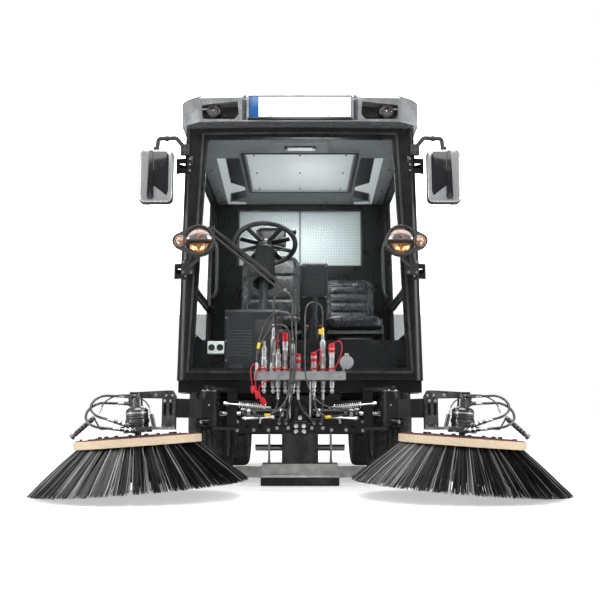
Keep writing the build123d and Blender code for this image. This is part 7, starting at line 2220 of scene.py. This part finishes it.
    def mouth(self) -> None:
        """Bolts and clamp strip on the suction mouth, and the slits of its flap."""
        bolts = Shape()
        spots = [place((x, -0.9555, 0.100), FORWARD) for x in np.linspace(-0.180, 0.180, 7)]
        bolts.repeat(hex_bolt(0.006), spots)
        bolts.repeat(hex_bolt(0.007), [place((sign * 0.165, -0.9075, 0.1135)) for sign in (-1.0, 1.0)])
        bolts.piece("mouth_bolts", "root", Finish.ZINC)
        strip = Shape().box((-0.200, -0.9650, 0.0455), (0.200, -0.9612, 0.0590), 0.001)
        strip.piece("mouth_clamp_strip", "root", Finish.STEEL)
        cuts = Shape()
        for x in np.linspace(-0.190, 0.190, 20):
            cuts.box((x - 0.0006, -0.9618, 0.0045), (x + 0.0006, -0.9608, 0.0400), 0.0003, fine=False)
        cuts.piece("flap_slits", "root", Finish.PLASTIC)


# ------------------------------------------------------------------ roof, lamps and mirrors
@dataclass
class RoofFascia:
    """Plate band, holder rim and screws, pod linings, work lamps, and the ribs and seams of the roof."""

    front: float = -1.235

    def build(self) -> None:
        """Make the pieces on the roof's face."""
        y = self.front - 0.0031
        band = Shape().box((-0.2590, y - 0.0007, 1.8570), (-0.2110, y + 0.0006, 1.9670), 0.0005)
        band.piece("plate_band", "root", Finish.PLATE_BAND)
        rim = Shape()
        for (x0, z0), (x1, z1) in frame_bars(0.260, 1.856, 1.968, 0.0025, 0.0025):
            rim.box((x0, y - 0.0016, z0), (x1, y + 0.001, z1), 0.0008, fine=False)
        rim.box((-0.268, self.front - 0.0030, 1.8415), (0.268, self.front + 0.001, 1.8545), 0.0018)
        rim.piece("plate_holder_rim", "root", Finish.GLOSS)
        screws = Shape()
        screws.repeat(socket_screw(0.0042),
                      [place((x, y, z), FORWARD) for x in (-0.150, 0.150) for z in (1.862, 1.962)])
        screws.repeat(socket_screw(0.0060), [place((sign * 0.288, self.front + 0.0385, z), FORWARD)
                                             for sign in (-1.0, 1.0) for z in (1.955, 1.860)])
        screws.piece("fascia_screws", "root", Finish.ZINC)
        self.lamps()
        self.pods()
        self.top()

    def lamps(self) -> None:
        """Bowl, bulb, fluted lens ring, cooling fins and bracket bolt of each work lamp."""
        bowls, rings, bulbs, fins = Shape(), Shape(), Shape(), Shape()
        for _, sign in SIDES:
            seat = place((sign * 0.444, self.front + 0.0295, 1.900), FORWARD)
            bowls.lathe([(0.0, -0.0085), (0.006, -0.0080), (0.014, -0.0050), (0.020, -0.0015),
                         (0.0244, -0.0004)], 36, seat)
            rings.lathe([(0.0246, 0.006), (0.0300, 0.006), (0.0312, 0.008), (0.0312, 0.0135),
                         (0.0295, 0.0158), (0.0262, 0.0152), (0.0246, 0.0125)], 40, seat)
            bulbs.lathe([(0.0045, -0.008), (0.0050, -0.002), (0.0040, 0.0), (0.0, 0.0004)], 14, seat)
            for index in range(5):
                z = -0.004 - index * 0.0048
                fins.lathe(band(0.0298, 0.0345, z - 0.0011, z - 0.0009, z + 0.0009, z + 0.0011), 36, seat)
            fins.lathe(band(0.0, 0.0075, 0.0, 0.0, 0.0045, 0.0048), 6,
                       place((sign * 0.5120, self.front + 0.0262, 1.910), FORWARD))
        bowls.piece("roof_lamp_bowls", "root", Finish.REFLECTOR)
        rings.piece("roof_lamp_rings", "root", Finish.PLASTIC)
        bulbs.piece("roof_lamp_bulbs", "root", Finish.REFLECTOR)
        fins.piece("roof_lamp_fins", "root", Finish.ALLOY)

    def pods(self) -> None:
        """Dark lining on the back of each pod's pocket, and the wire to its lamp."""
        lining, wires = Shape(), Shape()
        corners = np.array([(0.314, 1.8735), (0.336, 1.8500), (0.496, 1.8535), (0.500, 1.9245),
                            (0.318, 1.9400)])
        for _, sign in SIDES:
            outline = corners * np.array([sign, 1.0])
            matrix = np.array([[1.0, 0, 0, 0], [0, 0, -1.0, self.front + 0.0595], [0, 1.0, 0, 0],
                               [0, 0, 0, 1.0]])
            lining.slab(outline, 0.0, 0.0022, matrix, 0.001)
            line = spline(np.array([(sign * 0.415, self.front + 0.058, 1.893),
                                    (sign * 0.396, self.front + 0.048, 1.884),
                                    (sign * 0.372, self.front + 0.050, 1.880),
                                    (sign * 0.350, self.front + 0.058, 1.877)]), 8)
            wires.tube(line, 0.0022, 8)
        lining.piece("pod_linings", "root", Finish.GLOSS)
        wires.piece("pod_wires", "root", Finish.HOSE)

    def top(self) -> None:
        """Raised ribs on the roof's top and a seam along each side."""
        ribs = Shape()
        for x in (-0.36, -0.12, 0.12, 0.36):
            ribs.box((x - 0.035, -0.95, 1.982), (x + 0.035, 0.10, 1.9875), 0.0055)
        ribs.piece("roof_ribs", "root", Finish.CAB_GREY)
        seam = Shape()
        for _, sign in SIDES:
            seam.box((sign * 0.6085 - 0.0022, -1.120, 1.8395), (sign * 0.6085 + 0.0022, 0.270, 1.8445),
                     0.0015, fine=False)
        seam.piece("roof_seam", "root", Finish.RUBBER)


@dataclass
class FrontLamps:
    """Bowls, bulbs, amber lower lens halves, bezels and screws of the headlights and indicator lobes."""

    centre: tuple = (0.498, -1.290, 1.210)
    bore: float = 0.068
    lobe: float = 0.092

    def build(self) -> None:
        """Make the pieces inside and round the lamps."""
        x, y, z = self.centre
        bowls, bulbs, amber, bezels, screws, flutes = Shape(), Shape(), Shape(), Shape(), Shape(), Shape()
        for _, sign in SIDES:
            for half, high in ((1.0, True), (-1.0, False)):
                angle = np.radians(np.linspace(4, 176, 25)) * half
                share = np.linspace(0.0, 1.0, 8)[:, None]
                radius = 0.0655 * np.sin(share * math.pi / 2) ** 0.8
                middle = half * 0.005
                points = np.stack([sign * x + radius * np.cos(angle),
                                   y + 0.0405 - 0.024 * share ** 2 + 0 * angle,
                                   z + middle + radius * np.sin(angle) * 0.93], axis=2)
                (bowls if high else flutes).grid(points)
                bulb = place((sign * x, y + 0.0385, z + half * 0.027), FORWARD)
                bulbs.lathe([(0.010, 0.0), (0.0105, 0.004), (0.0075, 0.0055), (0.0075, 0.013),
                             (0.005, 0.0175), (0.0, 0.0185)], 16, bulb)
            angle = np.radians(np.linspace(184, 356, 41))
            share = np.linspace(0.0, 1.0, 12)[:, None]
            depth = y + 0.0008 - 0.0022 * (1 - share ** 2)
            wave = 0.00035 * np.cos(share * 60)
            points = np.stack([sign * x + 0.0668 * share * np.cos(angle), depth + wave + 0 * angle,
                               z - 0.0045 + 0.0668 * share * np.sin(angle) * 0.93], axis=2)
            amber.grid(points)
            back = points + np.array([0.0, 0.0012, 0.0])
            amber.grid(back)
            seat = place((sign * x, y, z), FORWARD)
            bezels.lathe([(self.bore - 0.0005, -0.001), (self.bore - 0.0005, 0.0015),
                          (self.bore + 0.003, 0.0032), (self.bore + 0.0075, 0.0022),
                          (self.bore + 0.0085, -0.001)], 64, seat)
            bezels.box((-0.0665, -0.0032, -0.0035), (0.0665, 0.0032, 0.0015), 0.001, seat, False)
            lobe = place((sign * (x + self.lobe), y, z - 0.004), FORWARD)
            bezels.lathe([(0.0310, -0.001), (0.0310, 0.0012), (0.0332, 0.0026), (0.0362, 0.0016),
                          (0.0370, -0.001)], 40, lobe)
            bowls.lathe([(0.0, -0.0235), (0.010, -0.0225), (0.020, -0.0175), (0.0265, -0.0085),
                         (0.0302, -0.0022)], 32, lobe)
            bulbs.lathe([(0.0065, -0.0225), (0.0065, -0.014), (0.0045, -0.010), (0.0, -0.0095)], 14, lobe)
            screws.repeat(socket_screw(0.0034), ring_places(3, self.bore + 0.0050, seat, 0.0022, 90.0))
        bowls.piece("headlight_bowls", "root", Finish.REFLECTOR, 60.0)
        flutes.piece("headlight_lower_bowls", "root", Finish.REFLECTOR, 60.0)
        bulbs.piece("headlight_bulbs", "root", Finish.BULB)
        amber.piece("headlight_amber", "root", Finish.AMBER, 60.0)
        bezels.piece("headlight_bezels", "root", Finish.PLASTIC)
        screws.piece("headlight_screws", "root", Finish.ZINC)
        self.stalks()

    def stalks(self) -> None:
        """Boots and bolts where the lamp stalks meet the pillars, and the wire behind each pod."""
        boots, bolts, wires = Shape(), Shape(), Shape()
        for _, sign in SIDES:
            a = np.array([sign * 0.535, -1.220, 1.180])
            b = np.array([sign * 0.560, -1.121, 1.115])
            rings = np.linspace(0.05, 0.45, 9)
            for share in rings:
                boots.lathe(band(0.0132, 0.0158, -0.0035, -0.0015, 0.0015, 0.0035), 20,
                            place(tuple(a + (b - a) * share), tuple(b - a)))
            spots = [place((sign * px, -1.1595, pz), FORWARD)
                     for px, pz in ((0.548, 1.072), (0.588, 1.072), (0.588, 1.124))]
            bolts.repeat(hex_bolt(0.0062), spots)
            line = spline(np.array([(sign * 0.515, -1.214, 1.165), (sign * 0.521, -1.196, 1.142),
                                    (sign * 0.536, -1.180, 1.120), (sign * 0.552, -1.163, 1.104)]), 8)
            wires.tube(line, 0.0028, 8)
        boots.piece("lamp_stalk_boots", "root", Finish.RUBBER)
        bolts.piece("lamp_bracket_bolts", "root", Finish.ZINC)
        wires.piece("lamp_wires", "root", Finish.HOSE)


@dataclass
class MirrorHeads:
    """Silver-grey shells, glasses facing the driver, rims and arm joints of the outside mirrors."""

    low: tuple = (0.652, -1.160, 1.432)
    high: tuple = (0.822, -1.100, 1.712)
    INLAY: ClassVar[tuple] = ((0.40, 0.90), (-0.66, 0.90), (-0.76, 0.72), (-0.76, -0.56), (-0.66, -0.74),
                              (0.40, -0.24))
    BRACKET: ClassVar[tuple] = ((0.40, 0.94), (0.20, 0.94), (0.12, -0.20), (0.10, -0.80), (0.20, -0.88),
                                (0.42, -0.88), (0.50, -0.80), (0.48, -0.20))

    def build(self) -> None:
        """Make the pieces of both mirrors."""
        shells, rims, glasses, joints, inlays = Shape(), Shape(), Shape(), Shape(), Shape()
        middle = (np.array(self.low) + np.array(self.high)) / 2
        half = (np.array(self.high) - np.array(self.low)) / 2
        for _, sign in SIDES:
            u = np.linspace(0, TAU, 61)[:-1][None, :]
            v = np.linspace(0.0, 1.0, 9)[:, None]
            reach = (np.abs(np.cos(u)) ** 9 + np.abs(np.sin(u)) ** 9) ** (-1 / 9)
            grow = np.sin(0.35 + v * 1.15) / math.sin(1.5)
            x = sign * middle[0] + half[0] * 0.985 * grow * reach * np.cos(u)
            z = middle[2] + half[2] * 0.985 * grow * reach * np.sin(u)
            y = self.low[1] - 0.0070 + 0.0066 * v ** 3 + 0 * u
            shells.grid(np.stack([x, y, z], axis=2)[::-1], around=True)
            cap = np.stack([x[0], y[0], z[0]], axis=1)
            shells.add(np.concatenate([cap, cap.mean(axis=0)[None]]),
                       [np.stack([np.arange(60), np.roll(np.arange(60), -1), np.full(60, 60)], axis=1)])
            facing = turned(90.0, "X")
            facing[:3, 3] = (0.0, self.low[1] - 0.0060, 0.0)
            outline = [(sign * (middle[0] + half[0] * a), middle[2] + half[2] * b) for a, b in self.INLAY]
            inlays.slab(outline[::-1] if sign > 0 else outline, 0.0, 0.0024, facing)
            bracket = [(sign * (middle[0] + half[0] * a), middle[2] + half[2] * b) for a, b in self.BRACKET]
            inlays.slab(bracket[::-1] if sign > 0 else bracket, 0.0, 0.0120, facing, 0.002)
            ring = np.stack([sign * middle[0] + half[0] * 0.90 * reach[0] * np.cos(u[0]),
                             np.full(60, self.high[1] + 0.0002),
                             middle[2] + half[2] * 0.94 * reach[0] * np.sin(u[0])], axis=1)
            rims.tube(np.concatenate([ring, ring[:1]]), 0.0042, 8)
            inner = ring.copy()
            inner[:, 0] = sign * middle[0] + (ring[:, 0] - sign * middle[0]) * 0.985
            inner[:, 1] = self.high[1] + 0.0012
            share = np.linspace(0.0, 1.0, 6)[:, None, None]
            centre = np.array([sign * middle[0], self.high[1] + 0.0026, middle[2]])
            glasses.grid(centre + (inner[None] - centre) * share, around=True)
            joints.lathe(band(0.0112, 0.0150, -0.012, -0.010, 0.010, 0.012), 20,
                         place((sign * 0.745, -1.128, 1.724)))
            joints.lathe(band(0.0112, 0.0142, -0.010, -0.008, 0.008, 0.010), 20,
                         place((sign * 0.690, -1.130, 1.780), LEFTWARD))
            joints.repeat(socket_screw(0.0055), [place((sign * px, -1.1507, pz), FORWARD)
                                                 for px in (0.582, 0.604) for pz in (1.703, 1.732)])
            joints.lathe(button(0.0115, 0.004, 0.0085, 0.0055), 6,
                         place((sign * 0.745, -1.1128, 1.7005), UP))
        shells.piece("mirror_shells", "root", Finish.MIRROR_SHELL, 50.0)
        inlays.piece("mirror_inlays", "root", Finish.GLOSS, 50.0)
        rims.piece("mirror_rims", "root", Finish.PLASTIC, 60.0)
        glasses.piece("mirror_glasses", "root", Finish.MIRROR, 60.0)
        joints.piece("mirror_joints", "root", Finish.PLASTIC)


@dataclass
class WiperDetail:
    """Rubber blade, spine links, pivot bosses, washer tube and nut of the wiper."""

    y: float = -1.189
    tip: float = -0.452

    def build(self) -> None:
        """Make the pieces on the wiper."""
        blade = Shape().box((self.tip - 0.003, self.y + 0.0165, 0.898),
                            (self.tip + 0.003, self.y + 0.0235, 1.292), 0.001)
        blade.piece("wiper_rubber", "root", Finish.RUBBER)
        links = Shape()
        for z in (0.945, 1.020, 1.095, 1.170, 1.245):
            links.box((self.tip - 0.0075, self.y + 0.0035, z - 0.014),
                      (self.tip + 0.0075, self.y + 0.0155, z + 0.014), 0.002)
        for x, z in ((-0.070, 0.985), (-0.082, 0.962), (self.tip + 0.012, 1.290), (self.tip, 1.266)):
            links.lathe(collar(0.011, 0.009), 18, place((x, self.y, z), FORWARD))
        links.piece("wiper_links", "root", Finish.PLASTIC)
        arm = np.array([(-0.070, self.y - 0.006, 0.985), (self.tip + 0.012, self.y - 0.006, 1.290)])
        line = arm[0] + (arm[1] - arm[0]) * np.linspace(0.10, 0.86, 40)[:, None]
        line[:, 2] += 0.010 + 0.0012 * np.cos(np.linspace(0, 4 * TAU, 40))
        tube = Shape().tube(line, 0.0024, 8)
        tube.piece("washer_tube", "root", Finish.RUBBER, 60.0)
        nuts = Shape().repeat(hex_bolt(0.0085), [place((-0.074, -1.1995, 0.974), FORWARD)])
        nuts.piece("wiper_nut", "root", Finish.ZINC)


# ------------------------------------------------------------------ the rear
@dataclass
class RearDetail:
    """Louvre slats, lamps, ribs, seals, bolts, seams and pads of the rear body and the hopper."""

    half: float = 0.612
    rear: float = 2.010

    def build(self) -> None:
        """Make the pieces of the rear."""
        self.louvres()
        self.lamps()
        self.hopper()
        self.door()
        self.body()

    def louvres(self) -> None:
        """Louvre slats on each side of the rear body."""
        slats, seat = Shape(), place((0.0, 0.0, 0.0))
        for _, sign in SIDES:
            for index in range(6):
                y0 = 0.420 + index * 0.062
                for row in range(9):
                    z = 0.570 + row * 0.0215
                    low, high = sorted((sign * 0.594, sign * 0.6085))
                    slats.box((low, y0 + 0.0005, z), (high, y0 + 0.0335, z + 0.006), 0.0015, seat, False)
        slats.piece("louvre_slats", "root", Finish.BLACK)

    def lamps(self) -> None:
        """Three round lamps on each side, the plate lamp's housing and the plate's rim."""
        frames, lenses, ribs = Shape(), Shape(), Shape()
        for _, sign in SIDES:
            for index, z in enumerate((0.630, 0.700, 0.770)):
                seat = place((sign * 0.500, self.rear, z), BACKWARD)
                frames.lathe([(0.0285, -0.001), (0.0330, -0.001), (0.0335, 0.004), (0.0315, 0.0065),
                              (0.0290, 0.0060)], 32, seat)
                target = lenses if index != 2 else ribs
                target.lathe([(0.0, 0.0065), (0.010, 0.0062), (0.020, 0.0050), (0.0288, 0.0025),
                              (0.0288, 0.0)], 32, seat)
        frames.box((-0.060, self.rear, 0.757), (0.060, self.rear + 0.018, 0.772), 0.004)
        frames.piece("rear_lamp_frames", "root", Finish.PLASTIC)
        lenses.piece("rear_lamp_red", "root", Finish.RED_CAP)
        ribs.piece("rear_lamp_amber", "root", Finish.YELLOW)
        rim = Shape()
        for (x0, z0), (x1, z1) in frame_bars(0.264, 0.636, 0.756, 0.004, 0.004):
            rim.box((x0, self.rear - 0.0005, z0), (x1, self.rear + 0.0045, z1), 0.0015, fine=False)
        rim.piece("rear_plate_rim", "root", Finish.GLOSS)

    def hopper(self) -> None:
        """Pressed ribs, plugs and bolts on the hopper's sides and roof."""
        ribs = Shape()
        for _, sign in SIDES:
            for y in (0.62, 0.98, 1.34, 1.70):
                low, high = sorted((sign * (self.half - 0.0025), sign * (self.half + 0.0045)))
                ribs.box((low, y - 0.030, 0.955), (high, y + 0.030, 1.840), 0.0042)
            low, high = sorted((sign * (self.half - 0.0025), sign * (self.half + 0.0055)))
            ribs.box((low, 0.400, 0.900), (high, 1.980, 0.925), 0.004)
        ribs.piece("hopper_ribs", "hopper", Finish.BODY)
        plugs = Shape()
        for _, sign in SIDES:
            for y in (0.44, 1.92):
                spot = place((sign * (self.half + 0.0002), y, 1.860), (sign, 0.0, 0.0))
                plugs.lathe(button(0.022, 0.003, 0.016, 0.0045), 24, spot)
            plugs.repeat(hex_bolt(0.0075), [place((sign * (self.half + 0.005), y, 0.9125), (sign, 0.0, 0.0))
                                            for y in np.linspace(0.44, 1.94, 9)])
        plugs.piece("hopper_plugs", "hopper", Finish.ZINC)
        bolts = Shape()
        for y in (0.62, 1.16, 1.70):
            bolts.repeat(hex_bolt(0.009), [place((x, y, 1.9602)) for x in (-0.40, 0.40)])
        bolts.piece("hopper_roof_bolts", "hopper", Finish.ZINC)

    def door(self) -> None:
        """Seal, latch plates, hinge bolts and handle of the hopper door."""
        seal = Shape()
        y = 2.0415
        for (x0, z0), (x1, z1) in frame_bars(0.604, 0.908, 1.876, 0.008, 0.010):
            seal.box((x0, y - 0.0012, z0), (x1, y + 0.0012, z1), 0.001, fine=False)
        seal.piece("hopper_door_seal", "hopper", Finish.RUBBER)
        steel = Shape()
        face = 2.079
        for _, sign in SIDES:
            steel.box((sign * 0.500 - 0.018, face - 0.001, 0.925),
                      (sign * 0.500 + 0.018, face + 0.012, 1.000), 0.004)
            steel.lathe(button(0.012, 0.005, 0.009, 0.008), 6,
                        place((sign * 0.500, face + 0.011, 0.965), BACKWARD))
            for z in (1.790, 1.840):
                steel.repeat(hex_bolt(0.007), [place((sign * 0.420 + step, face - 0.0005, z), BACKWARD)
                                               for step in (-0.036, 0.036)])
        steel.piece("hopper_door_fasteners", "hopper_door", Finish.ZINC)
        handle = Shape().tube(spline(np.array([(-0.090, face - 0.001, 0.950), (-0.088, face + 0.013, 0.950),
                                               (-0.070, face + 0.0175, 0.950),
                                               (0.070, face + 0.0175, 0.950), (0.088, face + 0.013, 0.950),
                                               (0.090, face - 0.001, 0.950)]), 8), 0.0048, 12)
        handle.piece("hopper_door_handle", "hopper_door", Finish.PLASTIC, 60.0)

    def body(self) -> None:
        """Service hatch seams, quarter-turn locks, filler cap and bumper pads."""
        seams, locks = Shape(), Shape()
        for _, sign in SIDES:
            low, high = sorted((sign * (self.half - 0.001), sign * (self.half + 0.0012)))
            for y0, y1, z0, z1 in ((0.400, 0.402, 0.545, 0.800), (0.800, 0.802, 0.545, 0.800),
                                   (0.400, 0.802, 0.545, 0.547), (0.400, 0.802, 0.798, 0.800)):
                seams.box((low, y0, z0), (high, y1, z1), 0.0004, fine=False)
            for y in (0.430, 0.770):
                locks.lathe(button(0.012, 0.002, 0.0095, 0.0035), 20,
                            place((sign * self.half, y, 0.781), (sign, 0.0, 0.0)))
                locks.box((-0.007, -0.0012, 0.003), (0.007, 0.0012, 0.0048), 0.0004,
                          place((sign * self.half, y, 0.781), (sign, 0.0, 0.0)), False)
        seams.piece("hatch_seams", "root", Finish.RUBBER)
        locks.piece("hatch_locks", "root", Finish.ZINC)
        pads = Shape()
        for _, sign in SIDES:
            pads.box((sign * 0.33 - 0.13, 2.0955, 0.488), (sign * 0.33 + 0.13, 2.1005, 0.545), 0.0022)
        pads.piece("bumper_pads", "root", Finish.RUBBER)
        cap = Shape().lathe([(0.0, 0.0), (0.034, 0.0), (0.034, 0.006), (0.030, 0.0085), (0.026, 0.0085),
                             (0.024, 0.006), (0.0, 0.006)], 36, place((self.half, 1.860, 0.780), LEFTWARD))
        cap.piece("filler_cap", "root", Finish.PLASTIC)


class FrameDressing:
    """Gives every CAD node that stays the finish of the real piece."""

    NODES = {
        Finish.BLACK: ("chassis_frame cab_front_frame cab_rear_wall cab_floor door_left door_right "
                       "front_beam brush_arm_left brush_arm_right ram_barrel "
                       "rear_axle front_axle track_rod"),
        Finish.CAB_GREY: "cab_roof",
        Finish.BODY: "rear_body hopper hopper_door",
        Finish.PLASTIC: "mirrors headlights wiper steering_wheel seat_bases",
        Finish.TRIM: "cab_controls",
        Finish.PALE: "headliner",
        Finish.GLASS: "cab_windows door_glass_left door_glass_right",
        Finish.PINK: "lamp_lenses",
        Finish.CHROME: "ram_rod swing_rod_left swing_rod_right",
        Finish.DARK_STEEL: "brush_disc_left brush_disc_right",
        Finish.ZINC: "suction_mouth",
        Finish.TRAY: "coupling_bank",
        Finish.CAST: "engine_block knuckle_left knuckle_right",
        Finish.ALLOY: "brush_head_left brush_head_right",
        Finish.RUBBER: "suction_duct mouth_flap",
        Finish.WHEEL: "rim_front_left rim_front_right rim_rear_left rim_rear_right",
        Finish.PLATE: "number_plates",
        Finish.BEECH: "brush_ring_left brush_ring_right",
    }

    def build(self) -> None:
        """Assign a finish to every slot of every node, and report a node that has none."""
        named = set()
        for finish, names in self.NODES.items():
            for name in names.split():
                named.add(name)
                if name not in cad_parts:
                    LOG.info("no node %s", name)
                    continue
                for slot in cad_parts[name].material_slots:
                    slot.material = finish.get()
        for name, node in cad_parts.items():
            if name not in named and not node.hide_render:
                LOG.info("left as it is: %s", name)


def main() -> None:
    """Build the studio, the hoses, every piece and the finishes."""
    bpy.context.scene.view_settings.view_transform = "Standard"
    Studio().build()
    NoseHoses().build()
    HeadHoses().build()
    for side, sign in SIDES:
        SweepingBrush(side, sign).build()
        TyreDressing(f"front_{side}", f"wheel_front_{side}", (sign * 0.4925, -0.525, 0.330), sign).build()
        TyreDressing(f"rear_{side}", f"wheel_rear_{side}", (sign * 0.4925, 1.375, 0.330), sign).build()
    Seats().build()
    for part in (SteeringStation(), ControlTerminal(), Ceiling(), CabTrim(), Couplers(), NoseDetail(),
                 RoofFascia(), FrontLamps(), MirrorHeads(), WiperDetail(), RearDetail()):
        part.build()
        LOG.info("built %s", type(part).__name__)
    FrameDressing().build()


if __name__ == "__main__":
    main()
